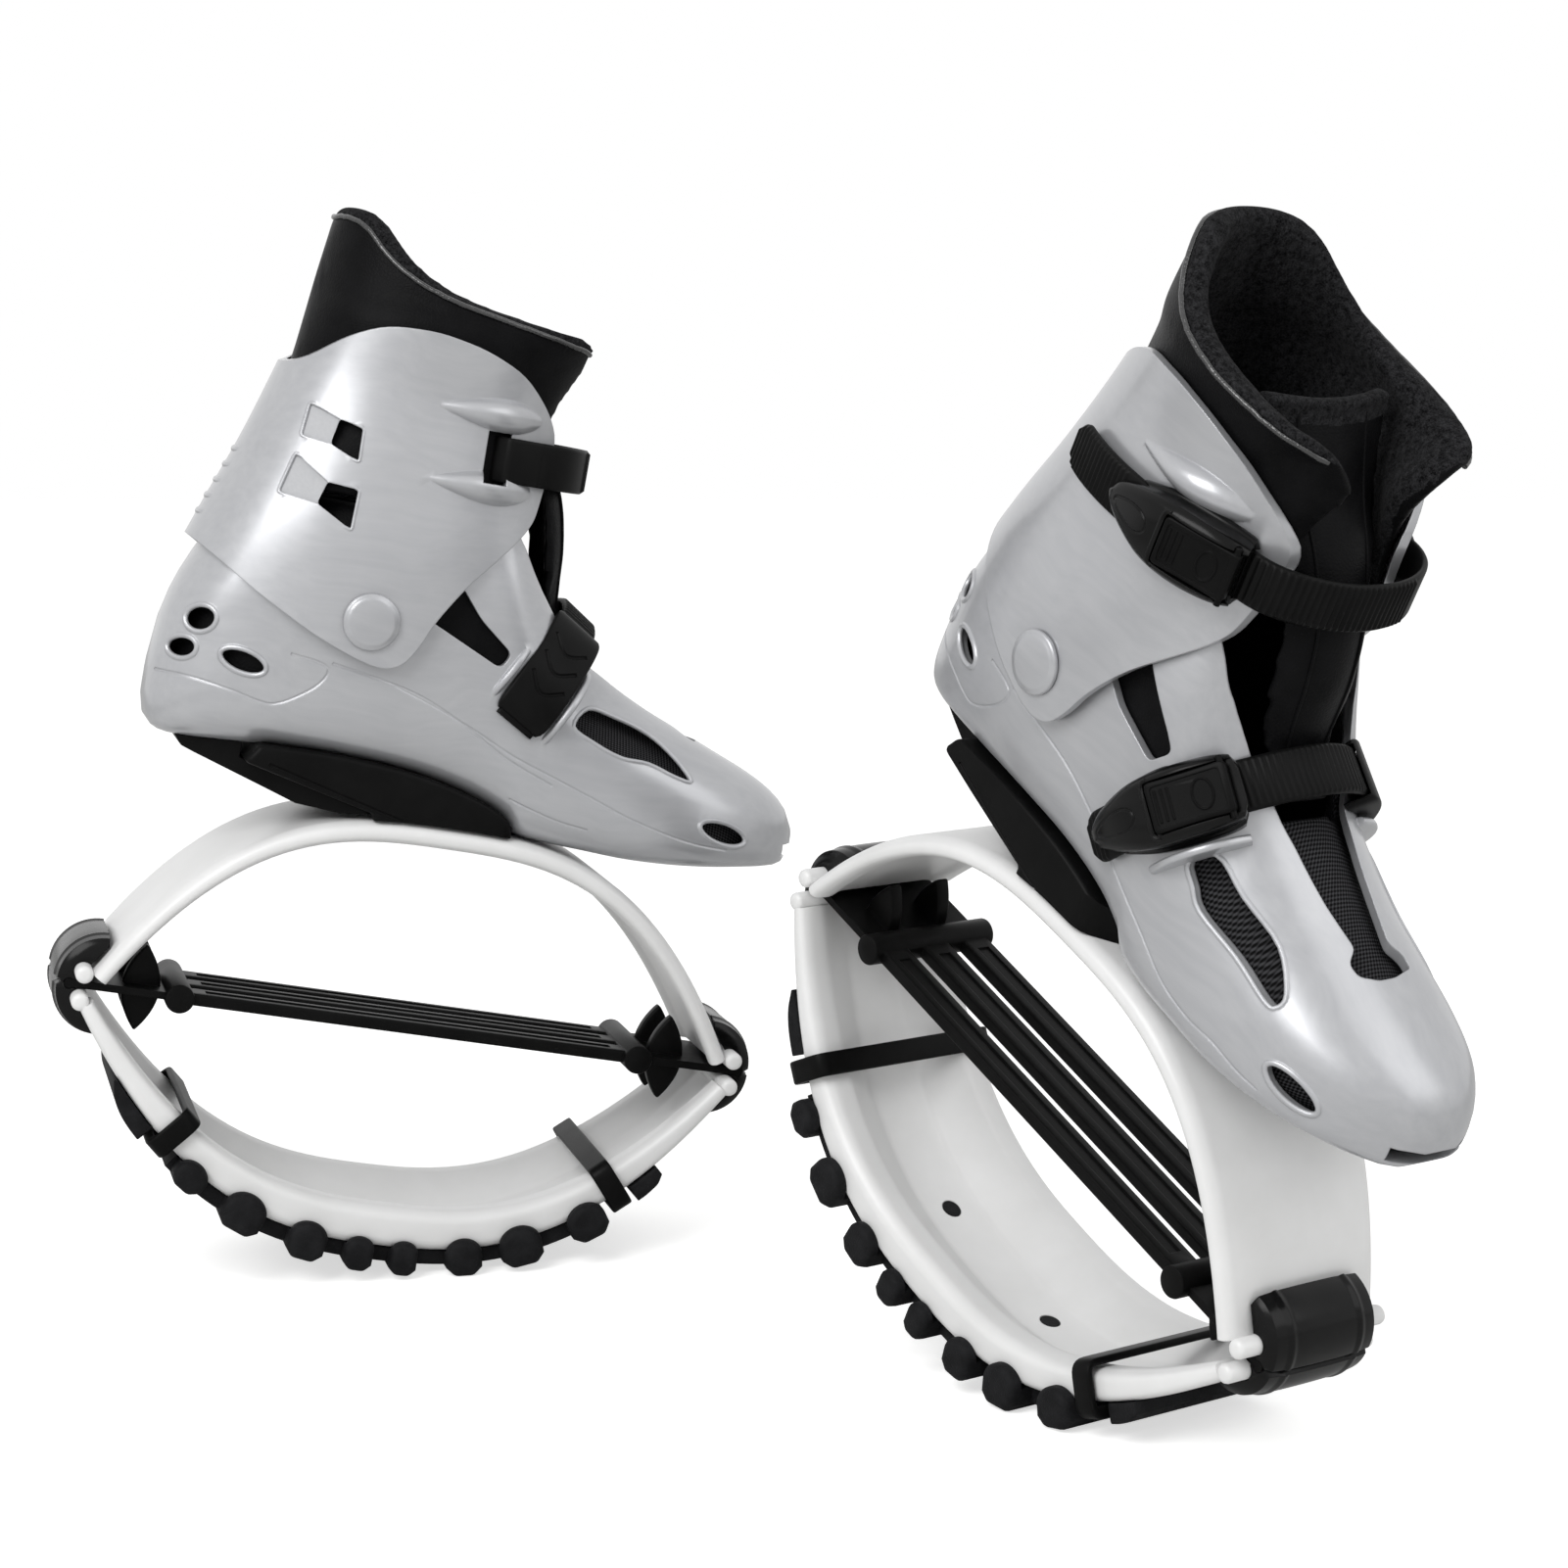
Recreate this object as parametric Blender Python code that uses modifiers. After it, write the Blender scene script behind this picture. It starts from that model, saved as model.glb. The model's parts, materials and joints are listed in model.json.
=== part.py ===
"""A pair of jumping shoes: hard boots on sprung oval rebound units.

Every shoe is built once as a right shoe in its own frame, in metres: +X runs to
the toe, +Y to the inner side of the foot and +Z up, with the origin half way
between the two ends of the oval spring. The left shoe is its mirror image.
"""
import math

import bmesh
import bpy
from mathutils import Matrix, Vector

# Driving sizes of the oval spring
SPRING_HALF_LENGTH = 0.1500
BEAD_HEIGHT = 0.0062
BEAD_RADIUS = 0.0040
FIT_GAP = 0.0003
OVERRUN = 0.0080
MERGE_DISTANCE = 0.00001
ARCH_STATIONS = 18

UPPER_CROWN = 0.0950
UPPER_THICKNESS = 0.0100
UPPER_END_THICKNESS = 0.0072
UPPER_HALF_WIDTH = 0.0450
UPPER_CURVE_POWER = 2.85

LOWER_CROWN = 0.0985
LOWER_THICKNESS = 0.0190
LOWER_END_THICKNESS = 0.0072
LOWER_HALF_WIDTH = 0.0460
LOWER_CURVE_POWER = 2.50
LOWER_END_DROP = 0.0060
LOWER_CURVE_LENGTH = SPRING_HALF_LENGTH + LOWER_END_DROP

ARCH_END_HALF_WIDTH = 0.0395
THICKNESS_POWER = 2.2
WIDTH_POWER = 4.0

# End caps that hold the two arches together
CAP_HALF_WIDTH = 0.0285
CAP_REACH = 0.0118
CAP_HEIGHT = 0.0230
CAP_LIP = 0.0095
CAP_EDGE = 0.0020

# Tension band through the middle of the oval
ROD_SETBACK = 0.0437
ROD_PLACE = SPRING_HALF_LENGTH - ROD_SETBACK
ROD_RADIUS = 0.0066
ROD_HALF_LENGTH = 0.0326
RAIL_HALF_WIDTH = 0.0285
RAIL_HALF_HEIGHT = 0.0028
SLOT_WIDTH = 0.0080
SLOT_PLACE = 0.0110
BAND_PLATE_THICKNESS = 0.0034
BAND_HOOK_RADIUS = 0.0023
BAND_HOOK_PLACE = 0.0052
FIN_SETBACK = 0.0275
FIN_PLACE = SPRING_HALF_LENGTH - FIN_SETBACK
FIN_SPACING = 0.0130
FIN_THICKNESS = 0.0065
FIN_HALF_LENGTH = 0.0086
FIN_HEIGHT = 0.0200
FIN_POINTS = 6
CAP_ARC_POINTS = 6

# Rubber tread under the lower arch
STRIP_THICKNESS = 0.0075
STRIP_HALF_WIDTH = 0.0400
STRIP_SETBACK = 0.0530
STRIP_REACH = SPRING_HALF_LENGTH - STRIP_SETBACK
LUG_DEPTH = 0.0112
LUG_HALF_WIDTH = 0.0515
LUG_CORNER = 0.0040
LUG_EDGE = 0.0018
LUG_SCALE = 0.0200
LUG_DOME_POINTS = 5
STRIP_STATIONS = 11
LUG_ROWS = (
    ("heel end", -0.594, 0.81, 0.23, 0.82),
    ("second", -0.424, 1.00, 0.38, 0.96),
    ("third", -0.225, 0.88, 0.33, 1.00),
    ("fourth", -0.066, 0.66, 0.22, 1.00),
    ("fifth", 0.070, 0.63, 0.22, 1.00),
    ("sixth", 0.2515, 0.83, 0.31, 0.96),
    ("seventh", 0.420, 0.97, 0.39, 0.945),
    ("toe end", 0.606, 0.92, 0.31, 0.955),
)
PLUG_RADIUS = 0.0042
PLUG_PLACE = 0.0370
PAD_SETBACK = 0.0400
PAD_INNER = SPRING_HALF_LENGTH - PAD_SETBACK
HEEL_PAD_LENGTH = 0.0190
TOE_PAD_LENGTH = 0.0110
PAD_THICKNESS = 0.0085
HEEL_PAD_SHARES = (1.0, 0.98, 0.90, 0.68, 0.22)
TOE_PAD_SHARES = (1.0, 1.0, 0.96, 0.88, 0.60)
PAD_HALF_WIDTH = 0.0425
CLAMP_SETBACK = 0.0455
CLAMP_PLACE = SPRING_HALF_LENGTH - CLAMP_SETBACK
CLAMP_WIDTH = 0.0100
CLAMP_THICKNESS = 0.0032
CLAMP_FOOT = 0.0065
CLAMP_PLAY = 0.0010
CLAMP_CORNER = 0.0020

# Hard lower shell of the boot
SHELL_REAR = -0.1420
SHELL_LENGTH = 0.3070
SHELL_BASE = 0.0910
SHELL_HEIGHT = 0.1450
SHELL_HALF_WIDTH = 0.0520
SHELL_WALL = 0.0035
SHELL_SIDES = 16
ROOM_SIDES = 12
COARSE_SIDES = 8
SHELL_BOTTOM_POWER = 5.0
SHELL_TOP_POWER = 2.5
SHELL_STATION_SHARES = (
    (0.000, 0.262, 0.407, 0.192, 0.173, 0.0),
    (0.007, 0.207, 0.531, 0.365, 0.327, 0.0),
    (0.026, 0.176, 0.669, 0.538, 0.481, 0.0),
    (0.065, 0.172, 0.834, 0.712, 0.654, 0.0),
    (0.124, 0.179, 1.014, 0.846, 0.808, 0.0),
    (0.202, 0.186, 1.138, 0.942, 0.923, 0.0),
    (0.287, 0.186, 1.179, 0.990, 0.981, 0.0),
    (0.394, 0.166, 1.179, 0.981, 0.923, 0.0),
    (0.479, 0.124, 1.145, 0.971, 0.865, 0.0),
    (0.540, 0.072, 0.890, 0.971, 0.808, 0.0),
    (0.556, 0.031, 0.834, 0.971, 0.788, 0.0),
    (0.609, 0.014, 0.655, 0.981, 0.731, 0.0),
    (0.664, 0.007, 0.569, 0.981, 0.692, 0.005),
    (0.730, 0.000, 0.490, 0.981, 0.660, 0.015),
    (0.795, 0.003, 0.428, 0.950, 0.650, 0.030),
    (0.860, 0.014, 0.372, 0.870, 0.620, 0.045),
    (0.919, 0.028, 0.321, 0.712, 0.550, 0.048),
    (0.958, 0.038, 0.276, 0.538, 0.420, 0.048),
    (0.984, 0.052, 0.228, 0.360, 0.280, 0.045),
    (1.000, 0.090, 0.172, 0.160, 0.135, 0.045),
)
RIM_SHARES = (
    (-0.050, 0.848),
    (0.267, 0.862),
    (0.384, 0.903),
    (0.436, 0.980),
    (0.505, 0.980),
    (0.541, 0.834),
    (0.583, 0.697),
    (0.620, 0.655),
    (0.660, 0.900),
)
LATERAL_ANKLE_SHARES = (
    (0.383, 0.728),
    (0.418, 0.669),
    (0.456, 0.635),
    (0.492, 0.604),
    (0.516, 0.662),
    (0.497, 0.707),
    (0.456, 0.784),
    (0.426, 0.845),
)
MEDIAL_ANKLE_SHARES = (
    (0.412, 0.778),
    (0.372, 0.659),
    (0.488, 0.546),
    (0.502, 0.595),
    (0.449, 0.684),
)
LATERAL_LEAF_SHARES = (
    (0.600, 0.441),
    (0.619, 0.493),
    (0.676, 0.443),
    (0.746, 0.392),
    (0.793, 0.321),
    (0.795, 0.284),
    (0.777, 0.283),
    (0.717, 0.324),
    (0.647, 0.358),
    (0.621, 0.397),
)
MEDIAL_LEAF_SHARES = (
    (0.633, 0.463),
    (0.676, 0.449),
    (0.735, 0.410),
    (0.778, 0.351),
    (0.805, 0.288),
    (0.778, 0.294),
    (0.735, 0.322),
    (0.692, 0.328),
    (0.648, 0.360),
    (0.612, 0.403),
)
TONGUE_SLOT_SHARES = (
    (0.410, -0.720, 0.740),
    (0.489, -0.710, 0.740),
    (0.520, -0.654, 0.690),
    (0.535, -0.596, 0.640),
    (0.577, -0.480, 0.530),
    (0.617, -0.324, 0.383),
    (0.665, -0.270, 0.336),
    (0.729, -0.217, 0.272),
    (0.788, -0.148, 0.196),
    (0.803, -0.254, 0.297),
    (0.821, -0.232, 0.300),
    (0.832, -0.080, 0.080),
)
TONGUE_SLOT_FLOOR_SHARE = 0.300
VENT_SHARES = (
    ("upper heel", 0.055, 0.545),
    ("rear heel", 0.036, 0.448),
    ("side heel", 0.121, 0.441),
    ("toe", 0.865, 0.141),
)
VENT_LENGTHS = (0.0068, 0.0062, 0.0104, 0.0123)
VENT_HEIGHTS = (0.0058, 0.0050, 0.0052, 0.0050)
VENT_TILTS = (35.0, 20.0, -12.0, -12.0)
VENT_SIDES = 10
TOE_SLOT_HALF_WIDTH = 0.0200
TOE_SLOT_SHIFT = 0.0020
TOE_SLOT_HEIGHT = 0.0060
TOE_SLOT_DEPTH = 0.0110
TOE_SLOT_RISE = 0.0140

# Pivot and shin cuff
PIVOT_REACH = 0.0880
PIVOT_RISE = 0.0910
PIVOT_X = SHELL_REAR + PIVOT_REACH
PIVOT_Z = SHELL_BASE + PIVOT_RISE
PIVOT_HEAD_RADIUS = 0.0127
PIVOT_HEAD_THICKNESS = 0.0028
PIVOT_SHANK_RADIUS = 0.0050
PIVOT_PLAY = 0.0004
CUFF_LENGTH = 0.1530
CUFF_HEIGHT = 0.1500
CUFF_WALL = 0.0035
CUFF_SIDE_GAP = 0.0020
CUFF_HALF_WIDTH = SHELL_HALF_WIDTH + CUFF_SIDE_GAP + CUFF_WALL
CUFF_SIDES = 22
LINER_SIDES = 16
CUFF_POWER = 2.2
CUFF_LEVEL_SHARES = (
    (-0.213, -0.621, 0.693, 1.000),
    (0.000, -0.575, 0.667, 1.000),
    (0.220, -0.503, 0.601, 0.982),
    (0.453, -0.418, 0.556, 0.930),
    (0.687, -0.346, 0.549, 0.895),
    (0.920, -0.281, 0.641, 0.965),
)
CUFF_OUTLINE_SHARES = (
    (-0.380, 0.693),
    (-0.560, 0.167),
    (-0.484, 0.127),
    (-0.327, 0.027),
    (-0.150, -0.067),
    (-0.013, -0.120),
    (0.059, -0.133),
    (0.111, -0.113),
    (0.150, -0.053),
    (0.183, 0.027),
    (0.261, 0.147),
    (0.392, 0.293),
    (0.438, 0.360),
    (0.451, 0.427),
    (0.477, 0.613),
    (0.431, 0.693),
    (0.333, 0.787),
    (0.203, 0.840),
    (0.059, 0.867),
    (-0.085, 0.860),
    (-0.183, 0.813),
    (-0.300, 0.713),
)
UPPER_OPENING_SHARES = ((-0.163, 0.560), (-0.105, 0.553), (-0.105, 0.460), (-0.176, 0.500))
UPPER_RAMP_SHARES = ((-0.261, 0.600), (-0.163, 0.560), (-0.176, 0.500), (-0.275, 0.500))
LOWER_OPENING_SHARES = ((-0.183, 0.380), (-0.092, 0.373), (-0.098, 0.253), (-0.203, 0.313))
LOWER_RAMP_SHARES = ((-0.281, 0.447), (-0.183, 0.380), (-0.203, 0.313), (-0.314, 0.327))
RAMP_DEPTH = 0.0022
WINDOW_NEAR_SHARE = 0.3
LEVEL_OVERRUN_SHARE = 0.05
SPINE_RIB_COUNT = 5
SPINE_RIB_PITCH = 0.0075
SPINE_RIB_HALF_WIDTH = 0.0110
SPINE_RIB_HEIGHT = 0.0030
SPINE_RIB_PROUD = 0.0020
SPINE_RIB_BASE = 0.0330
GUARD_PROUD = 0.0070
GUARD_THICKNESS = 0.0030
GUARD_POINTS = 7
MEDIAL_GUARD_ROOT = 0.0050
LATERAL_GUARD_ROOT = 0.0065
UPPER_GUARD_RISE = 0.0990
LOWER_GUARD_RISE = 0.0665
LATERAL_GUARD_RISE = 0.0998
GUARD_REAR = 0.0150
GUARD_FRONT = 0.0620
LATERAL_GUARD_REAR = 0.0010
LATERAL_GUARD_FRONT = 0.0590

# Upper strap, a ladder strap in a level loop round the shin
UPPER_STRAP_RISE = 0.0800
STRAP_WIDTH = 0.0200
STRAP_THICKNESS = 0.0026
STRAP_LIFT = 0.0020
TOOTH_HEIGHT = 0.0010
TOOTH_PITCH = 0.0060
UPPER_STRAP_TAIL = -0.0290
UPPER_STRAP_EDGE = 0.0640
UPPER_STRAP_FRONT = 0.0905
UPPER_STRAP_PLAIN = 0.0200
STRAP_SLOT_PLACE = 0.0440
STRAP_SLOT_LENGTH = 0.0110
STRAP_SLOT_PLAY = 0.0015

# Lower strap, in a tilted loop over the instep
LOWER_CROWN_SETBACK = 0.1180
LOWER_CROWN_DROP = 0.0400
LOWER_CROWN_X = SHELL_REAR + SHELL_LENGTH - LOWER_CROWN_SETBACK
LOWER_CROWN_Z = SHELL_BASE + SHELL_HEIGHT - LOWER_CROWN_DROP
LOWER_STRAP_TILT = 56.0
LOWER_STRAP_TWIST = 3.5
LOWER_STRAP_DROP = 0.0570
LATERAL_STRAP_REACH = 0.0530
MEDIAL_STRAP_REACH = 0.0490
LOWER_STRAP_START = -17.0
LOWER_STRAP_END = 181.0
LOOP_STEPS = 60
STRAP_PLATE_START = 0.1270
STRAP_PLATE_LENGTH = 0.0490
STRAP_PLATE_HALF_WIDTH = 0.0130
STRAP_PLATE_HEIGHT = 0.0054
STRAP_PLATE_SHARES = ((0.0, 0.94, 0.86), (0.12, 1.0, 1.0), (0.5, 1.0, 1.0), (0.88, 1.0, 1.0),
                      (1.0, 0.94, 0.86))
CHEVRON_COUNT = 3
CHEVRON_DEPTH = 0.0008
CHEVRON_WIDTH = 0.0016
CHEVRON_PITCH = 0.0110
CHEVRON_REACH = 0.0085
CHEVRON_SLANT = 0.0060
LATERAL_GUARD_OFFSET = 0.0188
MEDIAL_GUARD_OFFSET = 0.0160
LATERAL_GUARD_SPAN = (6.0, 52.0)
MEDIAL_GUARD_SPAN = (-4.0, 48.0)
SHELL_GUARD_ROOT = 0.0120

# Ratchet buckles
BUCKLE_LENGTH = 0.0630
BUCKLE_HALF_WIDTH = 0.0158
BUCKLE_HEIGHT = 0.0118
BUCKLE_DECK = 0.0062
BUCKLE_EDGE = 0.0022
BUCKLE_SHARES = (
    (0.00, 0.34, 0.52),
    (0.07, 0.50, 0.62),
    (0.22, 0.72, 0.78),
    (0.40, 0.92, 0.94),
    (0.60, 1.00, 1.00),
    (0.85, 0.97, 1.00),
    (1.00, 0.86, 0.90),
)
UPPER_BUCKLE_START = 0.0345
LOWER_BUCKLE_START = 0.0060
BUCKLE_ROOT = 0.0090
LEVER_LENGTH = 0.0300
LEVER_HALF_WIDTH = 0.0098
LEVER_THICKNESS = 0.0040
LEVER_SETBACK = 0.0030
LEVER_EDGE = 0.0009
LEVER_PLAY = 0.0006
LEVER_PIN_RADIUS = 0.0013
LEVER_PIN_REACH = 0.0022
THUMB_HALF_LENGTH = 0.0062
THUMB_HALF_WIDTH = 0.0040
THUMB_RIM = 0.0011
THUMB_DEPTH = 0.0006
THUMB_SIDES = 8

# Black blocks between the shell and the spring
SADDLE_HALF_WIDTH = 0.0445
SADDLE_SHARES = ((0.1466, 0.138), (0.345, 0.036), (0.345, -0.030), (0.550, -0.030))
SADDLE_LIP = 0.0020
WEDGE_HALF_WIDTH = 0.0400
WEDGE_SHARES = ((0.345, 0.036), (0.300, 0.021), (0.235, 0.028), (0.081, 0.131), (0.062, 0.145),
                (0.049, 0.180))
WEDGE_PLAN_SHARES = ((0.030, 0.48), (0.190, 0.70), (0.345, 1.00))
SADDLE_PLAN_SHARES = ((0.140, 0.96), (0.345, 1.00), (0.480, 1.00), (0.555, 0.30))
SOLE_STEPS = 6
FOOTBED_STEPS = 10
BOLT_PLACE = 0.0020
BOLT_HEAD_RADIUS = 0.0090
BOLT_HEAD_HEIGHT = 0.0045
BOLT_SHANK_RADIUS = 0.0040
BOLT_REACH = 0.0090
BOLT_SIDES = 12

# Soft inner boot
LINER_GAP = 0.0012
LINER_WALL = 0.0060
FOOTBED_THICKNESS = 0.0045
FOOTBED_GAP = 0.0015
FOOTBED_START = 0.06
FOOTBED_END = 0.93
LINER_SPLIT = 0.0520
SPLIT_GAP = 0.0010
THROAT_SHARE = 0.645
COLLAR_SHARES = (0.340, 0.453, 0.687)
COLLAR_LEVEL_SHARES = (
    (0.870, -0.262, 0.587, 0.858, 0.000),
    (0.950, -0.275, 0.730, 0.885, -0.065),
    (1.250, -0.260, 0.775, 0.835, -0.088),
)
COLLAR_OUTLINE_SHARES = (
    (-0.620, 0.345),
    (-0.360, 0.727),
    (-0.262, 1.130),
    (-0.240, 1.175),
    (-0.209, 1.193),
    (-0.144, 1.170),
    (-0.046, 1.105),
    (0.072, 1.040),
    (0.190, 0.993),
    (0.268, 0.975),
    (0.477, 0.935),
    (0.549, 0.925),
    (0.575, 0.887),
    (0.569, 0.827),
    (0.549, 0.693),
    (0.523, 0.533),
    (0.523, 0.415),
    (0.280, 0.385),
    (0.000, 0.345),
)
SHAFT_GAP = 0.0012
COLLAR_GAP_HALF_WIDTH = 0.0260
COLLAR_GAP_SHIFT = -0.0030
COLLAR_GAP_START = 0.0420
TONGUE_HALF_WIDTH = 0.0340
TONGUE_THICKNESS = 0.0060
TONGUE_GAP = 0.0008
TONGUE_THIN_SHARE = 0.45
TONGUE_BOW = 0.0100
TONGUE_SHARES = (
    (0.000, 0.680, 0.42, 0.30, 0.000),
    (0.060, 0.637, 0.47, 0.40, 0.000),
    (0.110, 0.600, 0.54, 0.55, 0.000),
    (0.175, 0.593, 0.61, 0.75, 0.000),
    (0.300, 0.588, 0.66, 1.00, 0.000),
    (0.447, 0.556, 0.68, 1.00, -0.020),
    (0.587, 0.484, 0.76, 1.00, -0.060),
    (0.720, 0.386, 0.90, 1.00, -0.100),
    (0.860, 0.302, 1.00, 0.80, -0.118),
    (0.913, 0.272, 0.98, 0.50, -0.118),
)
TONGUE_ACROSS_SHARES = (-1.0, -0.6, 0.0, 0.6, 1.0)

# How the pair stands, heading in degrees from +X and nominal toe-down tilt
PAIR_SPREAD_X = 0.2941
PAIR_SPREAD_Y = -0.1978
LEFT_HEADING = 14.513
RIGHT_HEADING = -52.358
LEFT_TILT = 10.65
RIGHT_TILT = 28.92

SIDE_ON = Matrix.Rotation(math.pi / 2, 4, "X")
PIVOT = Vector((PIVOT_X, 0, PIVOT_Z))

for old in list(bpy.data.objects):
    bpy.data.objects.remove(old)

shoes = bpy.data.collections.new("jumping_shoes")
cutters = bpy.data.collections.new("cutters")
for group in (shoes, cutters):
    bpy.context.scene.collection.children.link(group)


def finish_material(name, colour, roughness, metallic=0.0):
    """Make a Principled material."""
    made = bpy.data.materials.new(name)
    made.use_nodes = True
    shader = made.node_tree.nodes["Principled BSDF"]
    shader.inputs["Base Color"].default_value = (*colour, 1)
    shader.inputs["Roughness"].default_value = roughness
    shader.inputs["Metallic"].default_value = metallic
    return made


MATERIALS = {
    "spring": finish_material("white_nylon", (0.86, 0.86, 0.85), 0.35),
    "shell": finish_material("silver_plastic", (0.47, 0.48, 0.50), 0.30, 0.35),
    "joint": finish_material("black_plastic", (0.012, 0.012, 0.013), 0.35),
    "rubber": finish_material("dark_rubber", (0.035, 0.036, 0.040), 0.65),
    "strap": finish_material("strap_plastic", (0.016, 0.016, 0.017), 0.50),
    "liner": finish_material("liner_leather", (0.014, 0.014, 0.015), 0.55),
    "bolt": finish_material("bolt_steel", (0.35, 0.35, 0.36), 0.35, 1.0),
}


def tidy_mesh(mesh):
    """Weld touching points and turn every face outwards."""
    work = bmesh.new()
    work.from_mesh(mesh)
    bmesh.ops.remove_doubles(work, verts=work.verts, dist=MERGE_DISTANCE)
    bmesh.ops.recalc_face_normals(work, faces=work.faces)
    work.to_mesh(mesh)
    work.free()


def solid(name, mesh, group=cutters):
    """Put a mesh in the scene, as a cutter until it is named a piece."""
    made = bpy.data.objects.new(name, mesh)
    group.objects.link(made)
    made.hide_render = True
    made.display_type = "WIRE"
    return made


def loft(name, rings):
    """Skin rings of equal count and close both ends."""
    work = bmesh.new()
    rows = [[work.verts.new(point) for point in ring] for ring in rings]
    count = len(rows[0])
    for near, far in zip(rows, rows[1:]):
        for index in range(count):
            following = (index + 1) % count
            work.faces.new((near[index], near[following], far[following], far[index]))
    work.faces.new(reversed(rows[0]))
    work.faces.new(rows[-1])
    mesh = bpy.data.meshes.new(name)
    work.to_mesh(mesh)
    work.free()
    tidy_mesh(mesh)
    return solid(name, mesh)


def plate(name, outlines, half_thickness, place=Matrix()):
    """Extrude a flat outline, and any holes in it, both ways along local Z."""
    flat = bpy.data.curves.new(name, "CURVE")
    flat.dimensions = "2D"
    flat.fill_mode = "BOTH"
    flat.extrude = half_thickness
    for outline in outlines:
        spline = flat.splines.new("POLY")
        spline.points.add(len(outline) - 1)
        spline.use_cyclic_u = True
        for point, (along, across) in zip(spline.points, outline):
            point.co = (along, across, 0, 1)
    holder = bpy.data.objects.new(name, flat)
    cutters.objects.link(holder)
    bpy.context.view_layer.update()
    graph = bpy.context.evaluated_depsgraph_get()
    mesh = bpy.data.meshes.new_from_object(holder.evaluated_get(graph))
    bpy.data.objects.remove(holder)
    mesh.transform(place)
    tidy_mesh(mesh)
    return solid(name, mesh)


def turned(name, profile, steps, place=Matrix()):
    """Turn a profile of (radius, height) points, listed top to bottom, about local Z."""
    mesh = bpy.data.meshes.new(name)
    points = [(radius, 0, height) for radius, height in profile]
    edges = [(index, index + 1) for index in range(len(points) - 1)]
    mesh.from_pydata(points, edges, [])
    made = solid(name, mesh)
    screw = made.modifiers.new("Turn", "SCREW")
    screw.steps = steps
    screw.render_steps = steps
    screw.use_merge_vertices = True
    screw.merge_threshold = MERGE_DISTANCE
    bake(made)
    made.data.transform(place)
    return made


def bake(piece):
    """Replace a piece's mesh with its evaluated one and drop its modifiers."""
    bpy.context.view_layer.update()
    graph = bpy.context.evaluated_depsgraph_get()
    mesh = bpy.data.meshes.new_from_object(piece.evaluated_get(graph))
    piece.modifiers.clear()
    piece.data = mesh
    tidy_mesh(mesh)


def combine(piece, other, operation):
    """Join, cut or intersect a piece with another solid."""
    step = piece.modifiers.new(operation.title(), "BOOLEAN")
    step.operation = operation
    step.object = other
    bake(piece)
    return piece


def cut(piece, *others):
    for other in others:
        combine(piece, other, "DIFFERENCE")
    return piece


def join(piece, *others):
    for other in others:
        combine(piece, other, "UNION")
    return piece


def soften(piece, width, angle=40.0):
    """Chamfer the edges sharper than an angle."""
    bevel = piece.modifiers.new("Soften", "BEVEL")
    bevel.width = width
    bevel.segments = 1
    bevel.limit_method = "ANGLE"
    bevel.angle_limit = math.radians(angle)
    bake(piece)
    return piece


def cylinder(name, radius, half_length, sides, place=Matrix()):
    """Make a capped cylinder along local Z."""
    work = bmesh.new()
    bmesh.ops.create_cone(work, cap_ends=True, segments=sides, radius1=radius,
                          radius2=radius, depth=2 * half_length)
    work.transform(place)
    mesh = bpy.data.meshes.new(name)
    work.to_mesh(mesh)
    work.free()
    return solid(name, mesh)


def block(name, half_sizes, place=Matrix()):
    """Make a box about its place."""
    work = bmesh.new()
    bmesh.ops.create_cube(work, size=2)
    work.transform(place @ Matrix.Diagonal((*half_sizes, 1)))
    mesh = bpy.data.meshes.new(name)
    work.to_mesh(mesh)
    work.free()
    return solid(name, mesh)


def mirror(piece, axis):
    """Mirror a piece across the plane through the origin."""
    flip = [1, 1, 1, 1]
    flip[axis] = -1
    piece.data.transform(Matrix.Diagonal(flip))
    piece.data.flip_normals()
    return piece


def moved(x=0, y=0, z=0):
    return Matrix.Translation((x, y, z))


def between(table, key):
    """Read a table whose rows start with a rising key, on a smooth curve."""
    last = len(table) - 2
    row = 0
    while row < last and key > table[row + 1][0]:
        row += 1
    before = table[max(row - 1, 0)]
    start = table[row]
    end = table[row + 1]
    after = table[min(row + 2, last + 1)]
    span = end[0] - start[0]
    share = (key - start[0]) / span
    values = []
    for column in range(1, len(start)):
        lean_in = (end[column] - before[column]) / (end[0] - before[0])
        lean_out = (after[column] - start[column]) / (after[0] - start[0])
        square = share * share
        cube = square * share
        values.append((2 * cube - 3 * square + 1) * start[column]
                      + (cube - 2 * square + share) * span * lean_in
                      + (3 * square - 2 * cube) * end[column]
                      + (cube - square) * span * lean_out)
    return values


def signed_power(value, power):
    return math.copysign(abs(value) ** power, value)


# The two arches


def arch_sizes(side):
    """Crown, thickness, end thickness, half width and curve of the upper (1) or lower (-1) arch."""
    if side > 0:
        return (UPPER_CROWN, UPPER_THICKNESS, UPPER_END_THICKNESS, UPPER_HALF_WIDTH,
                UPPER_CURVE_POWER)
    return (LOWER_CROWN, LOWER_THICKNESS, LOWER_END_THICKNESS, LOWER_HALF_WIDTH,
            LOWER_CURVE_POWER)


def arch_line(side, x):
    """Outer point of an arch and its outward normal at a distance along the shoe."""
    crown, _, _, _, power = arch_sizes(side)
    reach = SPRING_HALF_LENGTH if side > 0 else LOWER_CURVE_LENGTH
    share = abs(x) / reach
    rise = crown * (1 - share ** power)
    slope = crown * power * share ** (power - 1) / reach
    normal = Vector((math.copysign(slope, x), 0, side)).normalized()
    return Vector((x, 0, side * rise)), normal


def arch_depth(side, x):
    _, middle, end, _, _ = arch_sizes(side)
    share = abs(x) / SPRING_HALF_LENGTH
    return end + (middle - end) * (1 - share ** THICKNESS_POWER)


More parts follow.
